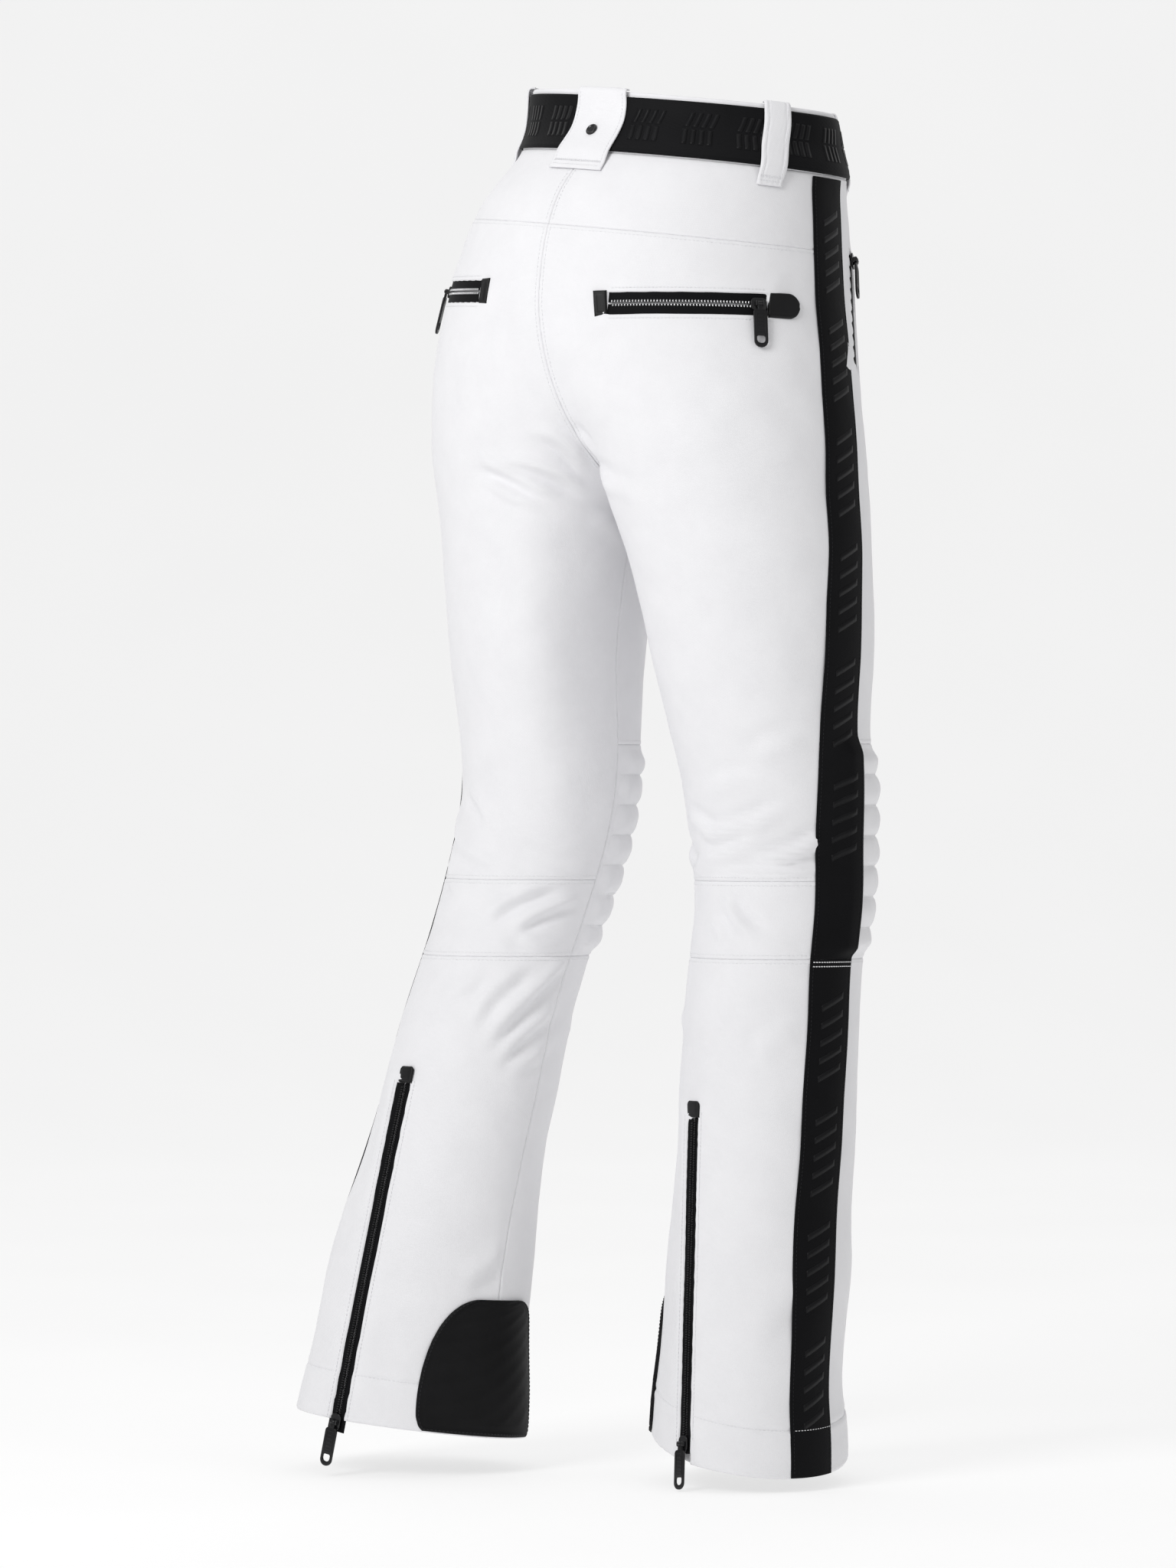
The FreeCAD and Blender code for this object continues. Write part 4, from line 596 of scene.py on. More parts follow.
def node(nt, kind, **kw):
    n = nt.nodes.new(kind)
    for k, v in kw.items():
        if k.startswith("i_"):
            key = k[2:].replace("_", " ")
            n.inputs[key].default_value = v
        else:
            setattr(n, k, v)
    return n


def cloth_material(name, col, dark, rough, weave=0.00042, bump=0.35, sheen=0.15, mottling=0.25, spec=0.25):
    """twill weave: two crossed wave sets along the object's own axes, mottled colour, and a soft large-scale bump"""
    m, nt, b = material(name)
    ln = nt.links
    tc = node(nt, "ShaderNodeTexCoord")
    n1 = node(nt, "ShaderNodeTexNoise", i_Scale=38.0, i_Detail=5.0, i_Roughness=0.6)
    ln.new(tc.outputs["Object"], n1.inputs["Vector"])
    n2 = node(nt, "ShaderNodeTexNoise", i_Scale=900.0, i_Detail=2.0)
    ln.new(tc.outputs["Object"], n2.inputs["Vector"])
    r = node(nt, "ShaderNodeValToRGB")
    r.color_ramp.elements[0].position = 0.3
    r.color_ramp.elements[1].position = 0.72
    r.color_ramp.elements[0].color = (*dark, 1)
    r.color_ramp.elements[1].color = (*col, 1)
    mx = node(nt, "ShaderNodeMix", data_type="FLOAT")
    mx.inputs["Factor"].default_value = mottling
    ln.new(n1.outputs["Fac"], mx.inputs["A"])
    ln.new(n2.outputs["Fac"], mx.inputs["B"])
    ln.new(mx.outputs["Result"], r.inputs["Fac"])
    ln.new(r.outputs["Color"], b.inputs["Base Color"])
    w = []
    for rot in ((0, 0, 0.78), (0, 0, -0.78)):
        mp = node(nt, "ShaderNodeMapping")
        mp.inputs["Rotation"].default_value = (0.5 * (1 if rot[2] > 0 else -1), 0.3, rot[2])
        ln.new(tc.outputs["Object"], mp.inputs["Vector"])
        wv = node(nt, "ShaderNodeTexWave", wave_type="BANDS", bands_direction="Z")
        wv.inputs["Scale"].default_value = 0.314 / weave / 2.0
        wv.inputs["Distortion"].default_value = 1.2
        wv.inputs["Detail"].default_value = 1.0
        ln.new(mp.outputs["Vector"], wv.inputs["Vector"])
        w.append(wv)
    mm = node(nt, "ShaderNodeMath", operation="MULTIPLY")
    ln.new(w[0].outputs["Fac"], mm.inputs[0])
    ln.new(w[1].outputs["Fac"], mm.inputs[1])
    bp = node(nt, "ShaderNodeBump")
    bp.inputs["Strength"].default_value = bump
    bp.inputs["Distance"].default_value = 0.00012
    ln.new(mm.outputs["Value"], bp.inputs["Height"])
    b2 = node(nt, "ShaderNodeBump")
    b2.inputs["Strength"].default_value = 0.22
    b2.inputs["Distance"].default_value = 0.0016
    n3 = node(nt, "ShaderNodeTexNoise", i_Scale=62.0, i_Detail=3.0, i_Roughness=0.55)
    ln.new(tc.outputs["Object"], n3.inputs["Vector"])
    ln.new(n3.outputs["Fac"], b2.inputs["Height"])
    ln.new(bp.outputs["Normal"], b2.inputs["Normal"])
    ln.new(b2.outputs["Normal"], b.inputs["Normal"])
    rr = node(nt, "ShaderNodeMapRange")
    rr.inputs["To Min"].default_value = rough - 0.07
    rr.inputs["To Max"].default_value = rough + 0.07
    ln.new(n1.outputs["Fac"], rr.inputs["Value"])
    ln.new(rr.outputs["Result"], b.inputs["Roughness"])
    b.inputs["Sheen Weight"].default_value = sheen
    b.inputs["Sheen Roughness"].default_value = 0.45
    b.inputs["Specular IOR Level"].default_value = spec
    return m


def rubber_material(name, col, rough=0.55, grain=1400.0, bump=0.25, spec=0.3):
    m, nt, b = material(name)
    ln = nt.links
    tc = node(nt, "ShaderNodeTexCoord")
    n1 = node(nt, "ShaderNodeTexNoise", i_Scale=grain, i_Detail=3.0)
    n2 = node(nt, "ShaderNodeTexNoise", i_Scale=45.0, i_Detail=4.0)
    v = node(nt, "ShaderNodeTexVoronoi", i_Scale=grain * 0.9)
    for n in (n1, n2, v):
        ln.new(tc.outputs["Object"], n.inputs["Vector"])
    r = node(nt, "ShaderNodeValToRGB")
    r.color_ramp.elements[0].position = 0.25
    r.color_ramp.elements[1].position = 0.8
    r.color_ramp.elements[0].color = (col[0] * 0.75, col[1] * 0.75, col[2] * 0.75, 1)
    r.color_ramp.elements[1].color = (col[0] * 1.5, col[1] * 1.5, col[2] * 1.5, 1)
    ln.new(n2.outputs["Fac"], r.inputs["Fac"])
    ln.new(r.outputs["Color"], b.inputs["Base Color"])
    ad = node(nt, "ShaderNodeMath", operation="ADD")
    ln.new(n1.outputs["Fac"], ad.inputs[0])
    ln.new(v.outputs["Distance"], ad.inputs[1])
    bp = node(nt, "ShaderNodeBump")
    bp.inputs["Strength"].default_value = bump
    bp.inputs["Distance"].default_value = 0.0001
    ln.new(ad.outputs["Value"], bp.inputs["Height"])
    ln.new(bp.outputs["Normal"], b.inputs["Normal"])
    rr = node(nt, "ShaderNodeMapRange")
    rr.inputs["To Min"].default_value = rough - 0.1
    rr.inputs["To Max"].default_value = rough + 0.1
    ln.new(n2.outputs["Fac"], rr.inputs["Value"])
    ln.new(rr.outputs["Result"], b.inputs["Roughness"])
    b.inputs["Specular IOR Level"].default_value = spec
    return m


def metal_material(name, col, rough=0.35, metallic=1.0, coat=0.0, spec=0.5):
    m, nt, b = material(name)
    ln = nt.links
    tc = node(nt, "ShaderNodeTexCoord")
    n1 = node(nt, "ShaderNodeTexNoise", i_Scale=700.0, i_Detail=4.0)
    n2 = node(nt, "ShaderNodeTexNoise", i_Scale=120.0, i_Detail=5.0)
    for n in (n1, n2):
        ln.new(tc.outputs["Object"], n.inputs["Vector"])
    r = node(nt, "ShaderNodeValToRGB")
    r.color_ramp.elements[0].color = (col[0] * 0.8, col[1] * 0.8, col[2] * 0.8, 1)
    r.color_ramp.elements[1].color = (min(1, col[0] * 1.25), min(1, col[1] * 1.25), min(1, col[2] * 1.25), 1)
    ln.new(n2.outputs["Fac"], r.inputs["Fac"])
    ln.new(r.outputs["Color"], b.inputs["Base Color"])
    rr = node(nt, "ShaderNodeMapRange")
    rr.inputs["To Min"].default_value = rough - 0.08
    rr.inputs["To Max"].default_value = rough + 0.1
    ln.new(n1.outputs["Fac"], rr.inputs["Value"])
    ln.new(rr.outputs["Result"], b.inputs["Roughness"])
    bp = node(nt, "ShaderNodeBump")
    bp.inputs["Strength"].default_value = 0.08
    bp.inputs["Distance"].default_value = 0.00008
    ln.new(n1.outputs["Fac"], bp.inputs["Height"])
    ln.new(bp.outputs["Normal"], b.inputs["Normal"])
    b.inputs["Metallic"].default_value = metallic
    b.inputs["Coat Weight"].default_value = coat
    b.inputs["Specular IOR Level"].default_value = spec
    return m


M_SHELL = cloth_material("shell_cloth", (0.865, 0.862, 0.880), (0.82, 0.817, 0.836), 0.62, weave=0.0005, sheen=0.05, spec=0.2)
M_INSIDE = cloth_material("lining_cloth", (0.80, 0.80, 0.815), (0.72, 0.72, 0.74), 0.5, weave=0.0007, sheen=0.05)
M_STRIPE = cloth_material("stripe_tape", (0.0045, 0.0045, 0.0055), (0.0025, 0.0025, 0.003), 0.6, weave=0.0008, bump=0.3, sheen=0.0, spec=0.10)
M_BELT = cloth_material("belt_elastic", (0.0055, 0.0055, 0.0065), (0.003, 0.003, 0.0036), 0.66, weave=0.0012, bump=0.5, sheen=0.0, spec=0.12)
M_RELIEF = rubber_material("raised_print", (0.0050, 0.0050, 0.0058), 0.45, 900.0, 0.12, spec=0.16)
M_BLACK = cloth_material("black_lining", (0.008, 0.008, 0.009), (0.004, 0.004, 0.005), 0.55, weave=0.0007, sheen=0.0, spec=0.12)
M_TAPE = cloth_material("zip_tape", (0.005, 0.005, 0.006), (0.003, 0.003, 0.0035), 0.7, weave=0.0007, bump=0.5, sheen=0.0, spec=0.10)
M_GUARD = rubber_material("guard_rubber", (0.0045, 0.0045, 0.005), 0.55, 1100.0, 0.35, spec=0.14)
M_RUBBER = rubber_material("trim_rubber", (0.006, 0.006, 0.0065), 0.48, 1500.0, 0.25, spec=0.25)
M_PLASTIC = rubber_material("zip_plastic", (0.005, 0.005, 0.0058), 0.36, 1800.0, 0.12, spec=0.35)
M_LACQUER = metal_material("black_lacquer", (0.006, 0.006, 0.007), 0.34, 0.0, 0.25, spec=0.4)
M_SILVER = metal_material("silver_teeth", (0.62, 0.62, 0.63), 0.3, 1.0)
M_THREAD_W = cloth_material("white_thread", (0.86, 0.86, 0.87), (0.74, 0.74, 0.76), 0.5, weave=0.0003)
M_THREAD_G = cloth_material("shell_thread", (0.85, 0.85, 0.865), (0.78, 0.78, 0.80), 0.5, weave=0.0003)
M_THREAD_B = cloth_material("black_thread", (0.022, 0.022, 0.025), (0.015, 0.015, 0.017), 0.5, weave=0.0003, sheen=0.0, spec=0.2)

# ------------------------------------------------------------------ mesh helpers
ALL = []


def mesh_object(name, verts, faces, mat, smooth_=True):
    me = bpy.data.meshes.new(name)
    v = np.asarray(verts, np.float32)
    me.vertices.add(len(v))
    me.vertices.foreach_set("co", v.ravel())
    f = np.asarray(faces, np.int32)
    k = f.shape[1]
    me.loops.add(f.size)
    me.loops.foreach_set("vertex_index", f.ravel())
    me.polygons.add(len(f))
    me.polygons.foreach_set("loop_start", np.arange(len(f), dtype=np.int32) * k)
    me.polygons.foreach_set("loop_total", np.full(len(f), k, np.int32))
    me.update(calc_edges=True)
    me.validate()
    if smooth_:
        me.polygons.foreach_set("use_smooth", np.ones(len(me.polygons), bool))
    me.materials.append(mat)
    o = bpy.data.objects.new(name, me)
    bpy.context.scene.collection.objects.link(o)
    ALL.append(o)
    return o


def slab_faces(nr, nc, flip=False):
    """quads of a closed slab: outer grid first, then the inner grid"""
    i, j = np.meshgrid(np.arange(nr - 1), np.arange(nc - 1), indexing="ij")
    a = (i * nc + j).ravel()
    top = np.stack([a, a + nc, a + nc + 1, a + 1], 1)
    N = nr * nc
    bot = np.stack([a + N, a + N + 1, a + N + nc + 1, a + N + nc], 1)
    ring = np.concatenate([np.arange(nc), np.arange(1, nr) * nc + nc - 1, (nr - 1) * nc + np.arange(nc - 2, -1, -1), np.arange(nr - 2, 0, -1) * nc])
    nx = np.roll(ring, -1)
    side = np.stack([ring, nx, nx + N, ring + N], 1)
    f = np.concatenate([top, bot, side])
    return f[:, ::-1] if flip else f


def slab(name, outer, inner, mat, flip=None):
    nr, nc = outer.shape[:2]
    v = np.concatenate([outer.reshape(-1, 3), inner.reshape(-1, 3)]) * 0.001
    if flip is None:
        r, c = nr // 2, nc // 2
        e1 = outer[r + 1, c] - outer[r, c]
        e2 = outer[r, c + 1] - outer[r, c]
        flip = float(np.dot(np.cross(e1, e2), outer[r, c] - inner[r, c])) < 0
    return mesh_object(name, v, slab_faces(nr, nc, flip), mat)


def cum(p, axis):
    d = np.linalg.norm(np.diff(p, axis=axis), axis=-1)
    z = np.zeros_like(np.take(d, [0], axis=axis))
    return np.concatenate([z, np.cumsum(d, axis=axis)], axis=axis)


def edge_dist(p):
    """mm from each of the four edges of a grid: left, right, top, bottom"""
    a, b = cum(p, 1), cum(p, 0)
    return a, a[:, -1:] - a, b, b[-1:, :] - b


SHEETS = []


def declare(o, p, held="hung", rests=(), with_=()):
    a, b = cum(p, 1), cum(p, 0)
    d1, d2 = p[1:, :-1] - p[:-1, :-1], p[:-1, 1:] - p[:-1, :-1]
    area = float(np.linalg.norm(np.cross(d1, d2), axis=-1).sum()) * 1e-6
    w, l = float(a[:, -1].max()) * 0.001, float(b[-1, :].max()) * 0.001
    area = min(area, w * l * 1.0)
    SHEETS.append((o.name, round(w, 3), round(l, 3), round(area, 4)))
    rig.sheet(o, flat=(w, l), held=held, rests_on=list(rests), area=max(area, 0.31 * w * l), with_pieces=list(with_))


STITCH = {}


def stitches(key, line, normals, mat, pitch=3.2, length=2.2, rad=0.24, lift=0.05, zig=None):
    """thread stitches along a polyline in mm; zig makes a zigzag of that half width"""
    L = np.concatenate([[0], np.cumsum(np.linalg.norm(np.diff(line, axis=0), axis=1))])
    n = int(L[-1] / pitch)
    if n < 1:
        return
    s0 = (np.arange(n) + 0.5) * pitch - length / 2
    s1 = s0 + length

    def at(s, arr):
        return np.stack([np.interp(s, L, arr[:, k]) for k in range(3)], -1)
    A, B = at(s0, line), at(s1, line)
    N = at((s0 + s1) / 2, normals)
    N /= np.linalg.norm(N, axis=1)[:, None]
    if zig:
        t = (B - A) / np.linalg.norm(B - A, axis=1)[:, None]
        w = np.cross(N, t)
        sg = np.where(np.arange(n) % 2 == 0, 1.0, -1.0)[:, None] * zig
        A, B = A - w * sg, B + w * sg
    t = B - A
    ln_ = np.linalg.norm(t, axis=1)[:, None]
    t = t / ln_
    w = np.cross(N, t)
    V, F = [], []
    prof = ((0.0, 0.25), (0.12, 0.8), (0.35, 1.0), (0.65, 1.0), (0.88, 0.8), (1.0, 0.25))
    for a, rr in prof:
        for k in range(6):
            an = 2 * PI * k / 6
            V.append(A + t * ln_ * a + (w * math.cos(an) + N * (math.sin(an) * 0.8)) * rad * rr + N * (lift + rad * 0.35 * rr))
    V = np.stack(V, 1)
    for i in range(len(prof) - 1):
        for k in range(6):
            F.append([i * 6 + k, i * 6 + (k + 1) % 6, (i + 1) * 6 + (k + 1) % 6, (i + 1) * 6 + k])
    F = np.array(F)
    m = V.shape[1]
    off = (np.arange(n) * m)[:, None, None]
    STITCH.setdefault(key, [[], mat, 0])
    rec = STITCH[key]
    base_i = rec[2]
    rec[0].append((V.reshape(-1, 3), (F[None] + off).reshape(-1, 4) + base_i))
    rec[2] += n * m


def flush_stitches(key, name, body=None, blend=None, slot="shell"):
    if key not in STITCH:
        return None
    parts, mat, _ = STITCH.pop(key)
    V = np.concatenate([p[0] for p in parts]) * 0.001
    F = np.concatenate([p[1] for p in parts])
    o = mesh_object(name, V, F, mat)
    if blend:
        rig.blend(o, *blend[:2], start=blend[2], end=blend[3])
    else:
        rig.ride(o, body)
    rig.slot(o, slot)
    return o


NAME = {1: "left", -1: "right"}
KNEE = {}
for sd in (1, -1):
    KNEE[sd] = ("upper", "shin_" + NAME[sd], (0, 0, -0.505), (0, 0, -0.668))

GAPG = {}


def cloth_piece(name, side, q, th, node_name, mode="cloth", body="upper", blend=None, mat=None, slot="shell", thick=T, lift=0.0, seams=(1, 1, 1, 1), folds=1.0, extra=None, hem=False):
    """a sewn panel: closed slab with rolled seam edges, a topstitch groove, folds and slight waviness"""
    p, n = base(side, q, th)
    dl, dr, dt, db = edge_dist(p)
    disp = 0.55 * broad(p) * folds + fold_field(side, q, th) * folds
    near = np.full(q.shape, 99.0)
    for dd, on in zip((dl, dr, dt, db), seams):
        if on:
            near = np.minimum(near, dd)
    # near a seam the cloth is held flat, dips into the seam and puckers a little along it
    hold = smooth(0.0, 9.0, near)
    along = dl + dt
    disp = disp * (0.25 + 0.75 * hold)
    disp = disp - 0.95 * np.exp(-(near / 1.1) ** 2) + 0.22 * np.exp(-((near - 2.2) / 1.3) ** 2) - 0.25 * np.exp(-((near - 4.3) / 0.9) ** 2)
    disp = disp + 0.16 * np.sin(along / 9.0 * 2 * PI) * np.exp(-(near / 7.0) ** 2)
    if extra is not None:
        disp = disp + extra(p, q, th, dl, dr, dt, db)
    disp = np.clip(disp, -2.6, 5.0) if mode == "cloth" else disp
    outer = p + n * (lift + thick + disp)[..., None]
    inner = p + n * (lift + np.where(near < 1.0, np.minimum(disp, 0.0), disp))[..., None]
    o = slab(name, outer, inner, mat or M_SHELL)
    if blend:
        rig.blend(o, *blend[:2], start=blend[2], end=blend[3])
    else:
        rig.ride(o, body)
    if node_name:
        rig.replaces(o, node_name)
    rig.slot(o, slot)
    return o, outer, n, (dl, dr, dt, db)


def stations(total, step, dense=(), edge=True):
    """like spaced, with finer stretches (start, end, step) in mm"""
    s = spaced(total, step, edge)
    for a, b, d in dense:
        a, b = max(a, EDGE[-1] + 1), min(b, total - EDGE[-1] - 1)
        if b <= a:
            continue
        s = np.concatenate([s[(s < a - d * 0.6) | (s > b + d * 0.6)], np.linspace(a, b, max(2, int((b - a) / d) + 1))])
    return np.unique(np.round(s, 4))


# ------------------------------------------------------------------ zips: the same arcs as the exact parts
class Zip:
    def __init__(self, p0, pm, p1, out):
        ab, ac = pm - p0, p1 - p0
        n = np.cross(ab, ac)
        d = 2 * n @ n
        self.c = p0 + (np.cross(n, ab) * (ac @ ac) + np.cross(ac, n) * (ab @ ab)) / d
        self.r = float(np.linalg.norm(p0 - self.c))
        self.n = np.cross(p0 - self.c, p1 - self.c)
        self.n /= np.linalg.norm(self.n)
        self.e0 = (p0 - self.c) / self.r
        self.e1 = np.cross(self.n, self.e0)
        em = (pm - self.c) / self.r
        self.sgn = 1 if em @ out > 0 else -1
        em = em * self.sgn
        v = p1 - self.c
        self.angle = math.atan2(v @ self.e1, v @ self.e0)
        self.length = self.angle * self.r
        self.lean = math.atan2(out @ self.n, out @ em)

    def at(self, mm):
        a = np.asarray(mm, float) / self.r
        e = self.e0 * np.cos(a)[..., None] + self.e1 * np.sin(a)[..., None]
        t = self.e1 * np.cos(a)[..., None] - self.e0 * np.sin(a)[..., None]
        out = e * (self.sgn * math.cos(self.lean)) + self.n * math.sin(self.lean)
        return self.c + e * self.r, t, out

    def spot(self, mm, across, high):
        p, t, o = self.at(mm)
        w = np.cross(t, o)
        return p + w * np.asarray(across)[..., None] + o * np.asarray(high)[..., None]

    def find(self, p):
        v = p - self.c
        a = np.arctan2(v @ self.e1, v @ self.e0)
        q, t, o = self.at(a * self.r)
        w = np.cross(t, o)
        d = p - q
        return a * self.r, (d * w).sum(-1), (d * o).sum(-1)


BACK = {-1: ((165.0, 35.0), (164.0, 68.0), (162.8, 104.0)), 1: ((139.5, 35.0), (143.0, 68.0), (147.5, 101.0))}
FRONT = {-1: ((122.0, -50.0), (163.0, -41.0), (204.0, -31.0)), 1: ((108.0, -50.0), (150.0, -41.0), (191.0, -31.0))}
HEMZ = {-1: ((990.0, 88.5), (871.0, 96.5), (750.0, 106.5)), 1: ((983.0, 84.0), (856.0, 88.5), (728.0, 81.5))}
ZIPS = {}
for tab, fmt in ((BACK, "back_pocket_zip_%s"), (FRONT, "front_pocket_zip_%s"), (HEMZ, "hem_zip_%s")):
    for sd in (1, -1):
        pn = [base(sd, q, math.radians(th)) for q, th in tab[sd]]
        ZIPS[fmt % NAME[sd]] = Zip(pn[0][0] + pn[0][1] * 0.9, pn[1][0] + pn[1][1] * 0.9, pn[2][0] + pn[2][1] * 0.9, pn[1][1])
fy = []
for q in (57.0, 108.0, 160.0):
    sx_, sy_ = seam(q, True)
    nn = normal(sx_, sy_, np.array([q]))[0]
    fy.append((np.array([sx_[0], sy_[0], -q]) - nn * 3.6, nn))
ZIPS["fly_zip"] = Zip(fy[0][0], fy[1][0], fy[2][0], fy[1][1])


def window(nm, half, a0, a1, welt=1.3, soft=11.0):
    """cloth extra: follows the tape beside the zip and drops below it within the window"""
    z = ZIPS[nm]

    def f(p, disp):
        al, ac, hi = z.find(p)
        L = z.length
        d = np.maximum(np.abs(ac) - half, np.maximum(a0 - al, al - (L + a1)))      # <0 inside the window
        near = np.exp(-(np.maximum(d, 0) / soft) ** 2) * (np.abs(hi) < 25)
        lip = (welt - T - hi)
        out = disp * (1 - near) + lip * near
        # a folded, pressed edge: slightly raised lip, then a stitched groove
        out = out + near * (0.35 * np.exp(-((d - 0.9) / 0.9) ** 2) - 0.3 * np.exp(-((d - 3.0) / 0.8) ** 2))
        inside = smooth(0.25, -0.75, d) if False else 1 - smooth(-0.9, 0.15, d)
        inside = inside * (np.abs(hi) < 25)
        return out * (1 - inside) + (-T - hi - 2.2) * inside
    return f


def lean_to(side, q, th, p):
    return p


# ------------------------------------------------------------------ cloth panels
def panel(name, side, q, th, body=None, blend=None, mat=None, seams=(1, 1, 1, 1), folds=1.0, wins=(), extra=None, node_name=None, slot="shell", hem=False, padded=False, lift=0.0):
    p, n = base(side, q, th)
    dl, dr, dt, db = edge_dist(p)
    disp = 0.9 * broad(p) * folds + fold_field(side, q, th) * folds
    near = np.full(q.shape, 99.0)
    for dd, on in zip((dl, dr, dt, db), seams):
        if on:
            near = np.minimum(near, dd)
    hold = smooth(0.0, 9.0, near)
    along = dl + dt
    disp = np.clip(disp, -2.8, 6.0) * (0.25 + 0.75 * hold)
    if extra is not None:
        disp = disp + extra(p, q, th, dl, dr, dt, db)
    for w in wins:
        disp = w(p, disp)
    disp = disp - 0.55 * np.exp(-(near / 0.9) ** 2) + 0.16 * np.exp(-((near - 2.0) / 1.2) ** 2) - 0.16 * np.exp(-((near - 3.2) / 0.8) ** 2)
    disp = disp + 0.14 * np.sin(along / 9.0 * 2 * PI) * np.exp(-(near / 7.0) ** 2)
    outer = p + n * (lift + T + disp)[..., None]
    inner = p + n * (lift + np.minimum(disp, 0.6 + 0 * disp) * (1 if not padded else 0))[..., None]
    o = slab(name, outer, inner, mat or M_SHELL)
    if blend:
        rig.blend(o, blend[0], blend[1], start=blend[2], end=blend[3])
    else:
        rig.ride(o, body)
    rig.replaces(o, node_name or name)
    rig.slot(o, slot)
    if padded:
        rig.padded(o, fill=0.6)
    else:
        declare(o, outer)
    return o, outer, n


def seam_line(outer, n, which, inset, i0=0, i1=None):
    """a polyline on the cloth at this distance from one of its edges"""
    g, m = outer, n
    if which in ("top", "bottom"):
        d = cum(g, 0)
        d = d if which == "top" else d[-1:, :] - d
        if which == "bottom":
            g, m, d = g[::-1], m[::-1], d[::-1]
        L, N = [], []
        for c in range(g.shape[1]):
            k = np.array([np.interp(inset, d[:, c], g[:, c, a]) for a in range(3)])
            kn = np.array([np.interp(inset, d[:, c], m[:, c, a]) for a in range(3)])
            L.append(k)
            N.append(kn)
    else:
        d = cum(g, 1)
        d = d if which == "left" else d[:, -1:] - d
        if which == "right":
            g, m, d = g[:, ::-1], m[:, ::-1], d[:, ::-1]
        L, N = [], []
        for r in range(g.shape[0]):
            k = np.array([np.interp(inset, d[r], g[r, :, a]) for a in range(3)])
            kn = np.array([np.interp(inset, d[r], m[r, :, a]) for a in range(3)])
            L.append(k)
            N.append(kn)
    L, N = np.array(L), np.array(N)
    if i1 is None:
        i1 = len(L)
    return L[i0:i1], N[i0:i1]


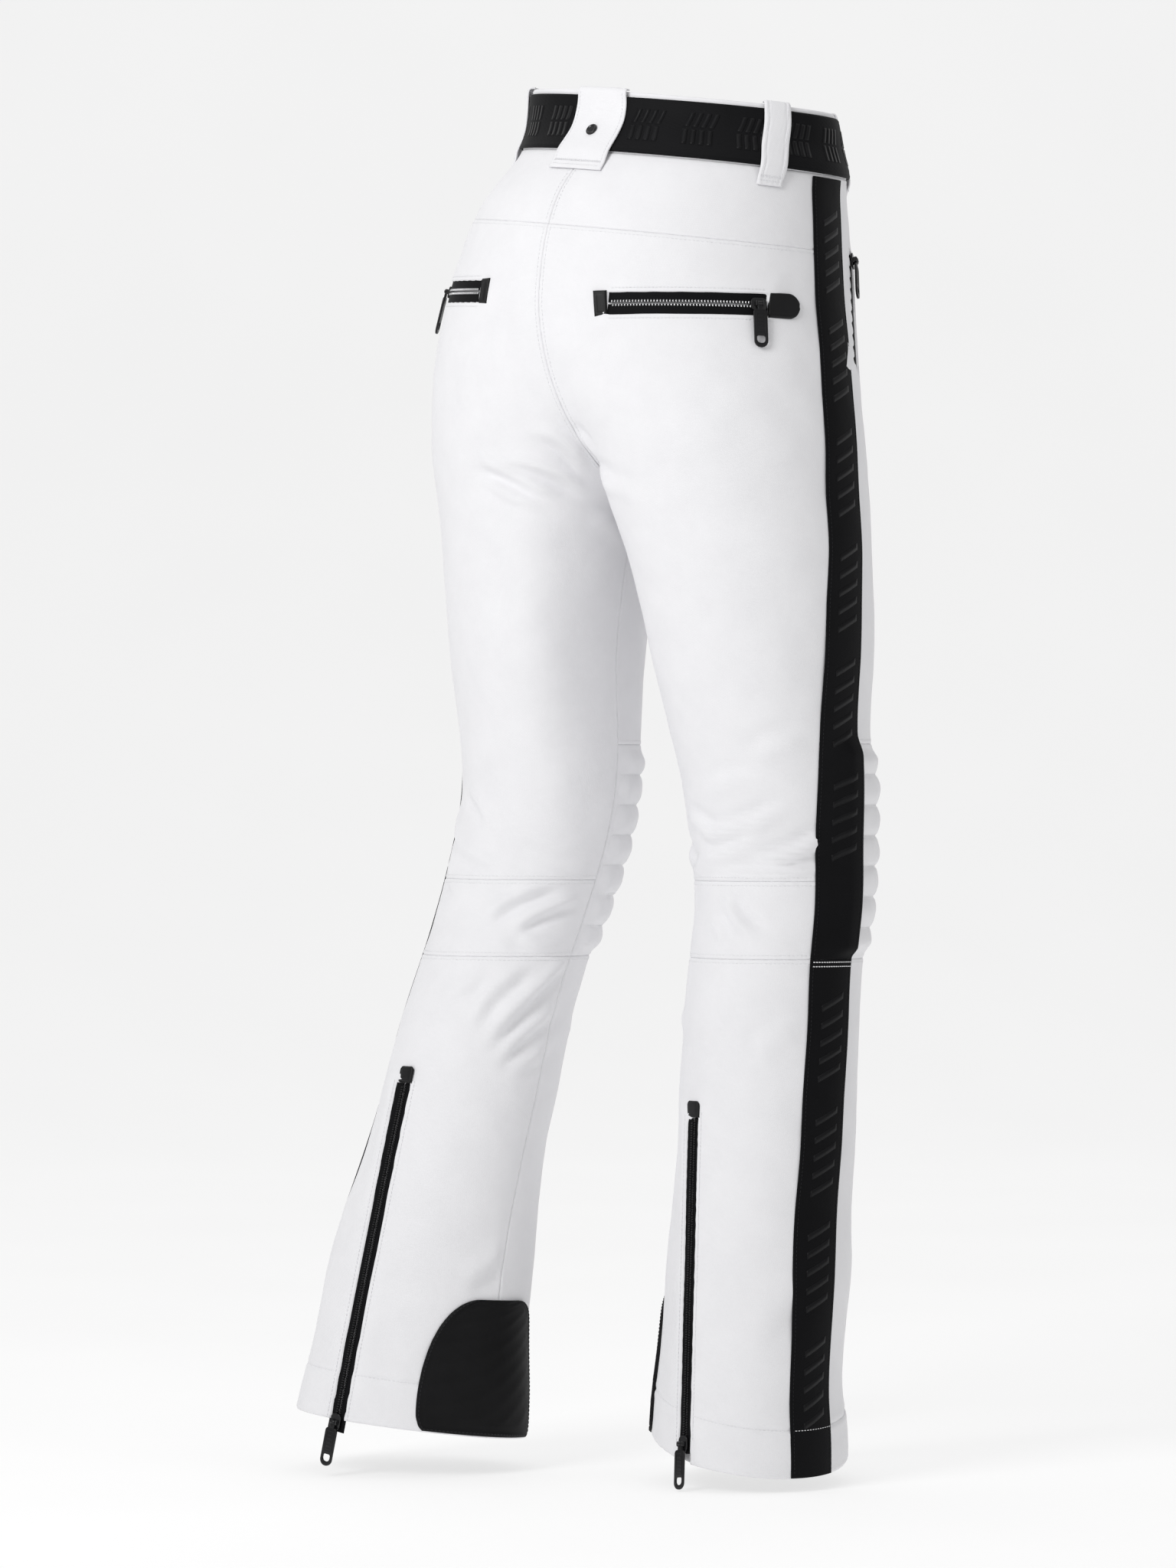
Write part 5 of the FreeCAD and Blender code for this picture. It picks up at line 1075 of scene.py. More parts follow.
SEAMS = {}
for sd in (1, -1):
    N_ = NAME[sd]
    st = stripe_angle
    cx, cy = centre(sd, 611.5)
    BL = ("upper", "shin_" + N_, (float(cx) * 0.001, float(cy) * 0.001, -0.583), (float(cx) * 0.001, float(cy) * 0.001, -0.640))
    back_in = lambda q, sd=sd: seam_angle(sd, q, False)
    pi_f = lambda q, sd=sd: inseam(sd, q) - 2 * PI
    pi_b = lambda q, sd=sd: inseam(sd, q)
    # back yoke
    q, th = tube_grid(sd, off_edge(sd, st, 1), off_edge(sd, back_in, -1), HB + GAP, YOKE - GAP, 2.6, 150.0)
    o, out, nn = panel("back_yoke_" + N_, sd, q, th, body="upper", folds=0.7)
    for ins in (3.2,):
        stitches("upper", *seam_line(out, nn, "right", ins), M_THREAD_G)
    # back leg panel, finer rows under the pocket zip
    qi, ti, sv, s_corner = inner_path(sd, False, YOKE + GAP, KSEAM - GAP, 3.6)

    def leg_grid2(side, front, h0, q_end, dense_rows, dense_cols, step=3.6, width=240.0):
        qi, ti, sv, sc = inner_path(side, front, h0, q_end, step)
        keep = np.ones(len(sv), bool)
        add = []
        for a, b, d in dense_rows:
            inside = (sv > a) & (sv < b)
            keep &= ~inside
            add.append(np.arange(a, b + d / 2, d))
        if add:
            s2 = np.unique(np.concatenate([sv[keep]] + add))
            qi, ti, sv = np.interp(s2, sv, qi), np.interp(s2, sv, ti), s2
        sgn = -1 if front else 1
        h_o = np.where(sv <= sc, lerp(h0, QC + 7.0, sv / sc), lerp(QC + 7.0, q_end, (sv - sc) / (sv[-1] - sc)))
        th_in = ti - sgn * SEAM / np.maximum(20.0, radius(side, qi, ti))
        q_o = depth_at(side, 0.1, h_o)
        th_o = stripe_angle(q_o)
        th_o = th_o + sgn * SEAM / radius(side, q_o, th_o)
        u = stations(width, step, dense_cols) / width
        th = lerp(th_o[:, None], th_in[:, None], u[None, :])
        q_lev = depth_at(side, th, h_o[:, None])
        q = q_lev + (qi - depth_at(side, ti, h_o))[:, None] * (u * u)[None, :]
        q[:, -1] = qi
        return q, th
    qz = sum(x[0] for x in BACK[sd]) / 3
    a = qz - YOKE - 22
    q, th = leg_grid2(sd, False, YOKE + GAP, KSEAM - GAP, [(max(6.0, a), a + 62, 0.9)], [])
    o, out, nn = panel("back_panel_" + N_, sd, q, th, body="upper", wins=[window("back_pocket_zip_" + N_, 8.4, -4.5, -5.0)])
    k = int(np.searchsorted(-out[:, -1, 2], QC - 4.0))
    stitches("upper", *seam_line(out, nn, "top", 3.0), M_THREAD_G)
    stitches("upper", *seam_line(out, nn, "right", 3.2, 0, k), M_THREAD_G)
    stitches("upper", *seam_line(out, nn, "bottom", 3.0), M_THREAD_G)
    # stitching round the pocket opening
    z = ZIPS["back_pocket_zip_" + N_]
    for s_ in (1, -1):
        m_ = np.linspace(-3.0, z.length - 4.5, 60)
        l_ = z.spot(m_, np.full(60, s_ * 11.4), np.full(60, 1.25))
        stitches("upper", l_, z.at(m_)[2], M_THREAD_G, pitch=2.8, length=1.9)
    # front leg panel
    q, th = leg_grid2(sd, True, HB + GAP, KTOP - GAP, [(50.0, 165.0, 1.8)], [(78.0, 152.0, 1.5)], step=4.2)
    o, out, nn = panel("front_panel_" + N_, sd, q, th, body="upper", folds=0.9, wins=[window("front_pocket_zip_" + N_, 8.0, -4.5, 1.5)])
    stitches("upper", *seam_line(out, nn, "bottom", 3.0), M_THREAD_G)
    # quilted knee: seven channels between stitched lines
    q, th = tube_grid(sd, off_edge(sd, st, -1), off_edge(sd, pi_f, 1), KTOP + GAP, KBOT - GAP, 1.9, 190.0)

    def quilt(p, q, th, dl, dr, dt, db):
        x = (q - KTOP) / (KBOT - KTOP) * 7.0
        ph = np.abs(np.sin(x * PI))
        edge_ = smooth(0.0, 16.0, np.minimum(dl, dr)) * smooth(0.0, 13.0, np.minimum(dt, db))
        wob = 1 + 0.10 * np.sin(p[..., 0] * 0.21 + x * 5.0) + 0.08 * np.sin(p[..., 1] * 0.33 + x * 3.1)
        pucker = 0.28 * np.sin((dl) / 3.6 + np.floor(x) * 2.1) * np.exp(-((ph) / 0.35) ** 2)
        return edge_ * (0.6 + 3.7 * ph ** 0.6 * wob + pucker)
    o, out, nn = panel("knee_pad_" + N_, sd, q, th, blend=BL, folds=0.0, extra=quilt, padded=True, slot="padded_shell")
    for kq in range(1, 7):
        r_ = int(np.argmin(np.abs(-out[:, out.shape[1] // 2, 2] - (KTOP + (KBOT - KTOP) * kq / 7.0))))
        stitches("knee" + N_, out[r_, 2:-2], nn[r_, 2:-2], M_THREAD_G, pitch=3.4, length=2.3)
    flush_stitches("knee" + N_, "knee_stitches_" + N_, blend=BL)
    # back of the knee
    q, th = tube_grid(sd, off_edge(sd, st, 1), off_edge(sd, pi_b, -1), KSEAM + GAP, KBOT - GAP, 2.2, 185.0)
    o, out, nn = panel("knee_back_panel_" + N_, sd, q, th, blend=BL)
    stitches("kneeb" + N_, *seam_line(out, nn, "top", 3.0), M_THREAD_G)
    stitches("kneeb" + N_, *seam_line(out, nn, "bottom", 3.0), M_THREAD_G)
    flush_stitches("kneeb" + N_, "knee_back_stitches_" + N_, blend=BL)
    # shin panels
    H = HEM[sd][2]

    def hem_fold(p, q, th, dl, dr, dt, db):
        # turned-up hem: two layers with a soft edge, stitched 35 mm above
        g = -0.55 * np.exp(-((db - 35.0) / 1.2) ** 2) + 0.30 * np.exp(-((db - 31.0) / 2.6) ** 2) + 0.25 * np.exp(-((db - 38.5) / 2.4) ** 2)
        g = g + 0.35 * smooth(0.0, 3.0, db) * (1 - smooth(32.0, 35.0, db))
        return g + 0.22 * np.sin((dl) / 11.0 * 2 * PI * 0.5) * np.exp(-((db - 35) / 5.0) ** 2)
    rows = None
    hs = KBOT + GAP + stations(H - KBOT - GAP, 3.6, [(H - KBOT - 44, H - KBOT - 26, 1.0)])
    def tube2(tha, thb, width, dense):
        u = stations(width, 3.4, dense) / width
        hg = np.repeat(hs[:, None], len(u), 1)
        q = hg.copy()
        for _ in range(3):
            th = tha(q) + (thb(q) - tha(q)) * u[None, :]
            q = depth_at(sd, th, hg)
        return q, th
    q, th = tube2(off_edge(sd, st, -1), off_edge(sd, pi_f, 1), 215.0, [])
    o, out, nn = panel("shin_front_panel_" + N_, sd, q, th, body="shin_" + N_, extra=hem_fold, seams=(1, 1, 1, 1))
    stitches("shin" + N_, *seam_line(out, nn, "top", 3.0), M_THREAD_G)
    stitches("shin" + N_, *seam_line(out, nn, "bottom", 35.0), M_THREAD_G, pitch=3.0)
    q, th = tube2(off_edge(sd, st, 1), off_edge(sd, pi_b, -1), 225.0, [(78.0, 152.0, 1.25)])
    o, out, nn = panel("shin_back_panel_" + N_, sd, q, th, body="shin_" + N_, extra=hem_fold, wins=[window("hem_zip_" + N_, 6.0, -40.0, -6.0)])
    stitches("shin" + N_, *seam_line(out, nn, "top", 3.0), M_THREAD_G)
    L_, M_ = seam_line(out, nn, "bottom", 35.0)
    z = ZIPS["hem_zip_" + N_]
    ac = z.find(L_)[1]
    for sel in (ac > 9.0, ac < -9.0):
        if sel.sum() > 3:
            stitches("shin" + N_, L_[sel], M_[sel], M_THREAD_G, pitch=3.0)
    for s_ in (1, -1):
        m_ = np.linspace(2.0, z.length - 2.0, 110)
        l_ = z.spot(m_, np.full(110, s_ * 9.2), np.full(110, 1.3))
        stitches("shin" + N_, l_, z.at(m_)[2], M_THREAD_G, pitch=3.0, length=2.0)
    flush_stitches("shin" + N_, "shin_stitches_" + N_, body="shin_" + N_)
    # hem facing
    zt = math.radians(89.5 if sd < 0 else 85.0)
    za = lambda q, sd=sd, zt=zt: zt + 11.5 / radius(sd, q, zt + 0 * q)
    zb = lambda q, sd=sd, zt=zt: zt + 2 * PI - 11.5 / radius(sd, q, zt + 0 * q)
    q, th = tube_grid(sd, za, zb, H - 80.0, H - 2.0, 5.0, 470.0)
    p, n = base(sd, q, th)
    dl, dr, dt, db = edge_dist(p)
    near = np.minimum(np.minimum(dl, dr), np.minimum(dt, db))
    dsp = 0.35 * broad(p) - 0.25 * np.exp(-((near - 4) / 1.0) ** 2)
    o = slab("hem_facing_" + N_, p + n * (-0.7 + np.minimum(dsp, 0.2))[..., None], p + n * (-1.7 + np.minimum(dsp, 0.2) + 0.4 * np.exp(-(near / 1.2) ** 2))[..., None], M_BLACK)
    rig.ride(o, "shin_" + N_)
    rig.replaces(o, "hem_facing_" + N_)
    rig.slot(o, "facing")
    declare(o, p)

    # side stripe
    def se(sg, sd=sd):
        return lambda q: stripe_angle(q) + sg * 0.5 * 39.0 / (radius(sd, q, stripe_angle(q)) * 0.995)
    ov = T + 0.55
    for part, ha, hb, body_, bl in (("upper", HB + 2.6, KBOT - GAP, None, BL), ("lower", KBOT + GAP, H - 0.5, "shin_" + N_, None)):
        q, th = tube_grid(sd, se(-1), se(1), ha, hb, 2.4, 39.0)
        p, n = base(sd, q, th)
        dl, dr, dt, db = edge_dist(p)
        near = np.minimum(dl, dr)
        rise = 0.0 * q
        if part == "upper":
            k = smooth(KTOP - 8, KTOP + 9, q) * (1 - smooth(KBOT - 9, KBOT - 0.5, q))
            rise = k * (1 - smooth(11.0, 24.0, dl)) * 4.6
        under = np.clip(0.9 * broad(p) + fold_field(sd, q, th), -1.9, 4.2) * 0.3
        hgt = ov + rise + under + 0.9 - 0.55 * np.exp(-(near / 0.9) ** 2) + 0.10 * np.exp(-((near - 2.0) / 1.0) ** 2) - 0.2 * np.exp(-((near - 3.0) / 0.6) ** 2)
        bottom_h = ov + rise + under - 0.1
        o = slab("side_stripe_%s_%s" % (part, N_), p + n * hgt[..., None], p + n * bottom_h[..., None], M_STRIPE)
        if bl:
            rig.blend(o, *bl[:2], start=bl[2], end=bl[3])
        else:
            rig.ride(o, body_)
        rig.replaces(o, "side_stripe_%s_%s" % (part, N_))
        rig.slot(o, "stripe")
        declare(o, p, held="stretched", rests=[])
        out = p + n * hgt[..., None]
        kw = dict(body=body_) if not bl else dict(blend=bl)
        key = "st%s%s" % (part, N_)
        for w_ in ("left", "right"):
            stitches(key, *seam_line(out, n, w_, 2.6), M_THREAD_B, pitch=2.9, length=2.0, rad=0.2)
        # white cross stitching where the two lengths meet
        if part == "lower":
            rows_ = (2.0, 5.2)
            for ins in rows_:
                L_, N2 = seam_line(out, n, "top", ins)
                stitches(key + "w", L_[2:-2], N2[2:-2], M_THREAD_W, pitch=2.2, length=1.7, rad=0.42, lift=0.1)
            L_, N2 = seam_line(out, n, "bottom", 34.0)
            stitches(key + "w", L_[2:-2], N2[2:-2], M_THREAD_W, pitch=2.6, length=1.7, rad=0.26, lift=0.05)
            flush_stitches(key + "w", "stripe_cross_stitch_" + N_, **kw)
        flush_stitches(key, "stripe_stitches_%s_%s" % (part, N_), **kw)
        # tonal raised bars along the tape
        V, F, c0 = [], [], 0
        hcum = cum(out, 0)[:, out.shape[1] // 2]
        total = hcum[-1]
        groups = np.arange(24.0, total - 60.0, 84.0)
        for gpos in groups:
            for kk in range(5):
                s0 = gpos + kk * 13.0
                if s0 + 16 > total:
                    continue
                us = np.linspace(9.0, 30.0, 12)
                row = []
                for wd in (0.0, 5.0):
                    for ux in us:
                        s_at = s0 + wd + (ux - 9.0) * 0.45
                        r_ = np.searchsorted(hcum, s_at) - 1
                        f_ = (s_at - hcum[r_]) / (hcum[r_ + 1] - hcum[r_])
                        cw = cum(out[r_:r_ + 1], 1)[0]
                        c_ = min(len(cw) - 2, int(np.searchsorted(cw, ux)) - 1)
                        g_ = (ux - cw[c_]) / (cw[c_ + 1] - cw[c_])
                        P_ = (out[r_, c_] * (1 - g_) + out[r_, c_ + 1] * g_) * (1 - f_) + (out[r_ + 1, c_] * (1 - g_) + out[r_ + 1, c_ + 1] * g_) * f_
                        row.append((P_, n[r_, c_]))
                nn_ = len(us)
                for lift_ in (0.12, -0.2):
                    for P_, N3 in row:
                        V.append(P_ + N3 * lift_)
                F += [[c0 + a_ for a_ in f4] for f4 in slab_faces(2, nn_).tolist()]
                c0 += 4 * nn_
        if V:
            o = mesh_object("stripe_relief_%s_%s" % (part, N_), np.array(V) * 0.001, np.array(F), M_RELIEF)
            if bl:
                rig.blend(o, *bl[:2], start=bl[2], end=bl[3])
            else:
                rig.ride(o, body_)
            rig.slot(o, "stripe")
flush_stitches("upper", "upper_stitches", body="upper")
print("PANELS", len(ALL))

# ------------------------------------------------------------------ scuff guards
for sd in (1, -1):
    N_ = NAME[sd]
    hh = np.array([(892.0, 167.0, 197.0), (892.3, 164.0, 199.7), (893.5, 160.0, 203.0), (895.3, 156.6, 205.6), (897.5, 153.5, 208.0), (900.5, 150.4, 210.0), (904.0, 147.5, 211.5),
                   (908.5, 144.7, 212.6), (913.0, 142.3, 213.2), (919.0, 140.0, 213.8), (925.0, 138.0, 214.0), (932.0, 136.4, 214.0),
                   (940.0, 135.0, 214.0), (947.0, 134.1, 214.0), (955.0, 133.5, 214.0), (962.0, 133.2, 214.0), (970.0, 133.2, 214.0), (977.0, 133.5, 214.0),
                   (982.0, 134.0, 214.0), (988.0, 136.0, 213.0), (990.3, 137.6, 212.0), (991.5, 139.0, 211.0)])
    hq = np.interp(np.linspace(0, 1, 60), np.linspace(0, 1, len(hh)), hh[:, 0])
    ha = np.interp(hq, hh[:, 0], hh[:, 1])
    hb = np.interp(hq, hh[:, 0], hh[:, 2])
    u = np.linspace(0, 1, 64)
    u = np.unique(np.concatenate([u, [0.004, 0.01, 0.02, 0.98, 0.99, 0.996]]))
    th = np.radians(lerp(ha[:, None], hb[:, None], u[None, :]))
    hg2 = HEM[sd][2] - 1.0 - (991.5 - hq)
    q = depth_at(sd, th, np.repeat(hg2[:, None], len(u), 1))
    p, n = base(sd, q, th)
    dl, dr, dt, db = edge_dist(p)
    near = np.minimum(np.minimum(dl, dr), np.minimum(dt + 0.6, db))
    cover = 0.9 * broad(p) * 0.25
    prof = 1.8 * np.clip(near / 1.6, 0.12, 1.0) ** 0.5
    prof = prof - 0.5 * np.exp(-((near - 4.6) / 0.7) ** 2) + 0.25 * np.exp(-((near - 6.2) / 0.8) ** 2)
    inside = smooth(9.0, 10.0, near)
    bars = smooth(0.2, 0.55, np.sin((dt * 0.9 + dl * 0.55) / 4.4 * PI * 0.5 * 1.2))
    prof = prof + 0.28 * inside * bars
    o = slab("scuff_guard_" + N_, p + n * (T + 0.35 + prof + np.maximum(cover, -0.1))[..., None], p + n * (T + 0.0 * prof)[..., None], M_GUARD)
    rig.ride(o, "shin_" + N_)
    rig.replaces(o, "scuff_guard_" + N_)
    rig.slot(o, "guard")
    out = p + n * (T + 0.35 + prof + np.maximum(cover, -0.1))[..., None]
    for w_ in ("left", "right", "bottom"):
        L_, N2 = seam_line(out, n, w_, 2.6)
        stitches("gd" + N_, L_[3:-3], N2[3:-3], M_THREAD_B, pitch=3.0, length=2.1, rad=0.28)
    flush_stitches("gd" + N_, "guard_stitches_" + N_, body="shin_" + N_, slot="guard")


# ------------------------------------------------------------------ waistband, belt, loops
def ring(hgt, al, off):
    hgt, al, off = np.broadcast_arrays(np.asarray(hgt, float), np.asarray(al, float), np.asarray(off, float))
    q = hgt.copy()
    for _ in range(5):
        xc, yc, ax, ay = pel(q)
        x, y = xc + ax * np.cos(al), yc + ay * np.sin(al)
        q = hgt - (ROLL * x + PITCH * y)
    xc, yc, ax, ay = pel(q)
    x, y = xc + ax * np.cos(al), yc + ay * np.sin(al)
    n = normal(x, y, q)
    p = np.stack([x, y, -q], -1) + n * off[..., None]
    return p, n


def ring_slab(name, a0, a1, h0, h1, o_in, o_out, mat, nu=420, hstep=1.2, prof=None):
    al = np.radians(np.linspace(a0, a1, nu))
    hs = h0 + stations(h1 - h0, hstep * 1.6)
    A, H_ = np.meshgrid(al, hs)
    e = np.minimum(H_ - h0, h1 - H_)
    ro = o_out - 0.8 * np.exp(-(e / 0.9) ** 2)
    if prof is not None:
        ro = ro + prof(A, H_, e)
    po, n = ring(H_, A, ro)
    pi_, _ = ring(H_, A, o_in + 0 * ro)
    o = slab(name, po, pi_, mat)
    return o, po, n


o, po, n = ring_slab("waistband", -89.3, 269.3, 0.0, HB - 0.25, 0.0, 2.0, M_SHELL, prof=lambda A, H_, e: 0.12 * np.sin(A * 60) * np.exp(-(e / 5) ** 2))
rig.ride(o, "upper")
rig.replaces(o, "waistband")
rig.slot(o, "shell")
declare(o, po, held="stretched")
o, belt_p, belt_n = ring_slab("belt", -81.0, 261.0, 4.0, 47.0, 2.5, 4.5, M_BELT, nu=700, prof=lambda A, H_, e: 0.10 * np.cos((H_ - 4.0) / 1.7 * 2 * PI * 0.5) * smooth(2, 4, e) - 0.25 * np.exp(-((e - 3.2) / 0.6) ** 2))
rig.ride(o, "upper")
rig.replaces(o, "belt")
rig.slot(o, "belt_web")
declare(o, belt_p, held="stretched")
# raised tonal pattern on the belt: slanted bars in groups
V, F, c0 = [], [], 0
al0 = -72.0
while al0 < 252.0:
    for kk in range(4):
        for hy0, hy1, sl in ((13.0, 24.5, 1), (26.5, 38.0, -1)):
            hs = np.linspace(hy0, hy1, 9)
            grid = []
            for w_ in (0.0, 1.9):
                sh = (hs - 25.5) / 12.5 * 2.6 * (1 if hy0 > 20 else 1)
                a_ = np.radians(al0 + kk * 3.0 + w_ + np.abs(sh) * 0.55)
                grid.append((a_, hs))
            A_ = np.array([g[0] for g in grid])
            H_ = np.array([g[1] for g in grid])
            P1, n1 = ring(H_, A_, 4.5 + 0.32)
            P0, n0 = ring(H_, A_, 4.0)
            V += list(P1.reshape(-1, 3)) + list(P0.reshape(-1, 3))
            F += [[c0 + i_ for i_ in f4] for f4 in slab_faces(2, 9, True).tolist()]
            c0 += 36
    al0 += 19.5
o = mesh_object("belt_relief", np.array(V) * 0.001, np.array(F), M_RELIEF)
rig.ride(o, "upper")
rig.slot(o, "belt_web")


def loop_strip(al_deg, w_top, w_bot, reach):
    t = 0.75
    mid = [(-1.6, 0.6), (-1.75, 2.8), (-1.2, 4.8), (1.4, 5.85), (6.0, 5.85), (16.0, 5.85), (26.0, 5.85), (36.0, 5.85), (45.0, 5.85), (49.5, 5.65), (53.0, 4.5), (56.5, 3.2), (reach, 2.75)]
    m = np.array(mid)
    L = np.concatenate([[0], np.cumsum(np.hypot(*np.diff(m, axis=0).T))])
    ss = stations(L[-1], 1.4)
    sh, so = Spline(L, m[:, 0]), Spline(L, m[:, 1])
    h_, o_ = sh(ss), so(ss)
    dh, do = np.gradient(h_, ss), np.gradient(o_, ss)
    nl = np.hypot(dh, do)
    nx, ny = -do / nl, dh / nl
    W = 50.0
    f = stations(W, 1.8) / W - 0.5
    al = math.radians(al_deg)
    xc, yc, ax, ay = pel(np.maximum(h_, 0.0))
    ds = np.hypot(ax * math.sin(al), ay * math.cos(al))
    w = lerp(w_top, w_bot, np.maximum(0.0, h_) / reach)
    A = al + f[None, :] * (w / ds)[:, None]
    fw = (0.5 - np.abs(f))[None, :] * w[:, None]
    fe = np.minimum(fw, (L[-1] - ss)[:, None] + 0.8)
    up = t - 0.5 * np.exp(-(fe / 0.8) ** 2) - 0.28 * np.exp(-((fe - 3.2) / 0.7) ** 2) + 0.12 * np.exp(-((fe - 1.8) / 0.8) ** 2)
    up = up + 0.10 * np.sin(A * 190 + ss[:, None] * 0.35) * np.exp(-(fe / 6.0) ** 2)
    po, n = ring(h_[:, None] + nx[:, None] * up, A, o_[:, None] + ny[:, None] * up)
    pi_, _ = ring(h_[:, None] - nx[:, None] * t * 0.8, A, o_[:, None] - ny[:, None] * t * 0.8)
    return po, pi_, n, ss, L[-1]


def loop_object(name, specs, key):
    V, F, c0, area, wsum, lmax = [], [], 0, 0.0, 0.0, 0.0
    for sp in specs:
        po, pi_, n, ss, Lt = loop_strip(*sp)
        nr, nc = po.shape[:2]
        r, c = nr // 2, nc // 2
        flip = float(np.dot(np.cross(po[r + 1, c] - po[r, c], po[r, c + 1] - po[r, c]), po[r, c] - pi_[r, c])) < 0
        V += [po.reshape(-1, 3), pi_.reshape(-1, 3)]
        F.append(slab_faces(nr, nc, flip) + c0)
        c0 += 2 * nr * nc
        a_, b_ = cum(po, 1), cum(po, 0)
        d1, d2 = po[1:, :-1] - po[:-1, :-1], po[:-1, 1:] - po[:-1, :-1]
        area += float(np.linalg.norm(np.cross(d1, d2), axis=-1).sum()) * 1e-6
        wsum += float(a_[:, -1].max()) * 0.001
        lmax = max(lmax, float(b_[-1].max()) * 0.001)
        for w_ in ("left", "right"):
            L_, N2 = seam_line(po, n, w_, 3.2)
            k0 = int(np.searchsorted(ss, 7.0))
            stitches(key, L_[k0:-3], N2[k0:-3], M_THREAD_G, pitch=2.8, length=2.0)
        for ins, zz in ((3.4, None), (7.0, 1.1)):
            L_, N2 = seam_line(po, n, "bottom", ins)
            stitches(key, L_[3:-3], N2[3:-3], M_THREAD_W, pitch=1.1 if zz else 2.4, length=0.8 if zz else 1.8, rad=0.24, lift=0.15, zig=zz)
    o = mesh_object(name, np.concatenate(V) * 0.001, np.concatenate(F), M_SHELL)
    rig.ride(o, "upper")
    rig.replaces(o, name)
    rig.slot(o, "shell")
    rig.sheet(o, flat=(wsum, lmax), held="stretched", area=min(area, wsum * lmax))
    SHEETS.append((name, round(wsum, 3), round(lmax, 3), round(area, 4)))
    flush_stitches(key, name + "_stitches", body="upper")


loop_object("centre_back_loop", [(90.0, 44.0, 55.0, 62.0)], "lp1")
loop_object("belt_loops", [(a_, 19.0, 19.0, 61.0) for a_ in (24.0, 158.0, 225.0, 315.0)], "lp2")


# ------------------------------------------------------------------ turned and plate-like hardware
def basis(o, x, z):
    x = np.asarray(x, float) / np.linalg.norm(x)
    z = np.asarray(z, float)
    z = z - x * (z @ x)
    z /= np.linalg.norm(z)
    y = np.cross(z, x)
    return np.asarray(o, float), x, y, z


def place(v, fr):
    o, x, y, z = fr
    v = np.asarray(v, float)
    return (o + v[:, 0:1] * x + v[:, 1:2] * y + v[:, 2:3] * z) * 0.001


def lathe(name, prof, fr, mat, seg=48):
    """prof: (radius, height) from the axis outwards and back to the axis"""
    V, F = [], []
    m = len(prof)
    for k in range(seg):
        a = 2 * PI * k / seg
        for r_, h_ in prof:
            V.append((max(r_, 0.01) * math.cos(a), max(r_, 0.01) * math.sin(a), h_))
    for k in range(seg):
        for i in range(m - 1):
            a, b = k * m + i, ((k + 1) % seg) * m + i
            F.append([a, b, b + 1, a + 1])
    o = mesh_object(name, place(V, fr), F, mat)
    return o


def plates(name, parts, fr, mat, bev=0.35):
    """flat rounded plates with holes: parts are (outline, holes, z0, z1, frame or None) in mm; merged into one mesh"""
    import bmesh
    bm_all = bmesh.new()
    for outline, holes, z0, z1, sub in parts:
        cu = bpy.data.curves.new(name + "_c", "CURVE")
        cu.dimensions = "2D"
        cu.fill_mode = "BOTH"
        bv = min(bev, (z1 - z0) * 0.32)
        cu.extrude = ((z1 - z0) / 2 - bv) * 0.001
        cu.bevel_depth = bv * 0.001
        cu.bevel_resolution = 2
        cu.offset = -bv * 0.001
        for loop_ in [outline] + list(holes):
            sp = cu.splines.new("POLY")
            sp.points.add(len(loop_) - 1)
            for i, (x_, y_) in enumerate(loop_):
                sp.points[i].co = (x_ * 0.001, y_ * 0.001, 0, 1)
            sp.use_cyclic_u = True
        ob = bpy.data.objects.new(name + "_c", cu)
        bpy.context.scene.collection.objects.link(ob)
        bpy.context.view_layer.update()
        dg = bpy.context.evaluated_depsgraph_get()
        me = bpy.data.meshes.new_from_object(ob.evaluated_get(dg))
        v = np.zeros(len(me.vertices) * 3, np.float32)
        me.vertices.foreach_get("co", v)
        v = v.reshape(-1, 3) * 1000
        v[:, 2] += (z0 + z1) / 2
        fr_ = fr
        if sub is not None:
            o_, x_, y_, z_ = fr
            so_, sx, sy, sz = sub
            T_ = lambda w: w[0] * x_ + w[1] * y_ + w[2] * z_
            fr_ = (o_ + T_(so_), T_(sx), T_(sy), T_(sz))
        w = place(v, fr_)
        me.vertices.foreach_set("co", w.astype(np.float32).ravel())
        me.update()
        tmp = bmesh.new()
        tmp.from_mesh(me)
        bmesh.ops.remove_doubles(tmp, verts=tmp.verts, dist=1e-6)
        tm = bpy.data.meshes.new("t")
        tmp.to_mesh(tm)
        tmp.free()
        bm_all.from_mesh(tm)
        bpy.data.objects.remove(ob)
        bpy.data.curves.remove(cu)
        bpy.data.meshes.remove(me)
        bpy.data.meshes.remove(tm)
    me = bpy.data.meshes.new(name)
    bmesh.ops.recalc_face_normals(bm_all, faces=bm_all.faces)
    bm_all.to_mesh(me)
    bm_all.free()
    me.materials.append(mat)
    me.polygons.foreach_set("use_smooth", np.ones(len(me.polygons), bool))
    try:
        me.set_sharp_from_angle(angle=math.radians(40))
    except Exception:
        pass
    o = bpy.data.objects.new(name, me)
    bpy.context.scene.collection.objects.link(o)
    ALL.append(o)
    return o


def rrect(x0, x1, y0, y1, r, n=7, r2=None):
    """rounded rectangle; r for the x0 corners, r2 for the x1 corners"""
    r2 = r if r2 is None else r2
    pts = []
    for cx_, cy_, a0, rr in ((x1 - r2, y1 - r2, 0, r2), (x0 + r, y1 - r, 90, r), (x0 + r, y0 + r, 180, r), (x1 - r2, y0 + r2, 270, r2)):
        for k in range(n):
            a = math.radians(a0 + 90 * k / (n - 1))
            pts.append((cx_ + rr * math.cos(a), cy_ + rr * math.sin(a)))
    return pts


def side_plate(yy, z_up):
    """sub-frame for a plate standing on edge: its outline x,y becomes local x,z"""
    return (np.array([0.0, yy, 0.0]), np.array([1.0, 0, 0]), np.array([0, 0, 1.0]), np.array([0, -1.0, 0]))


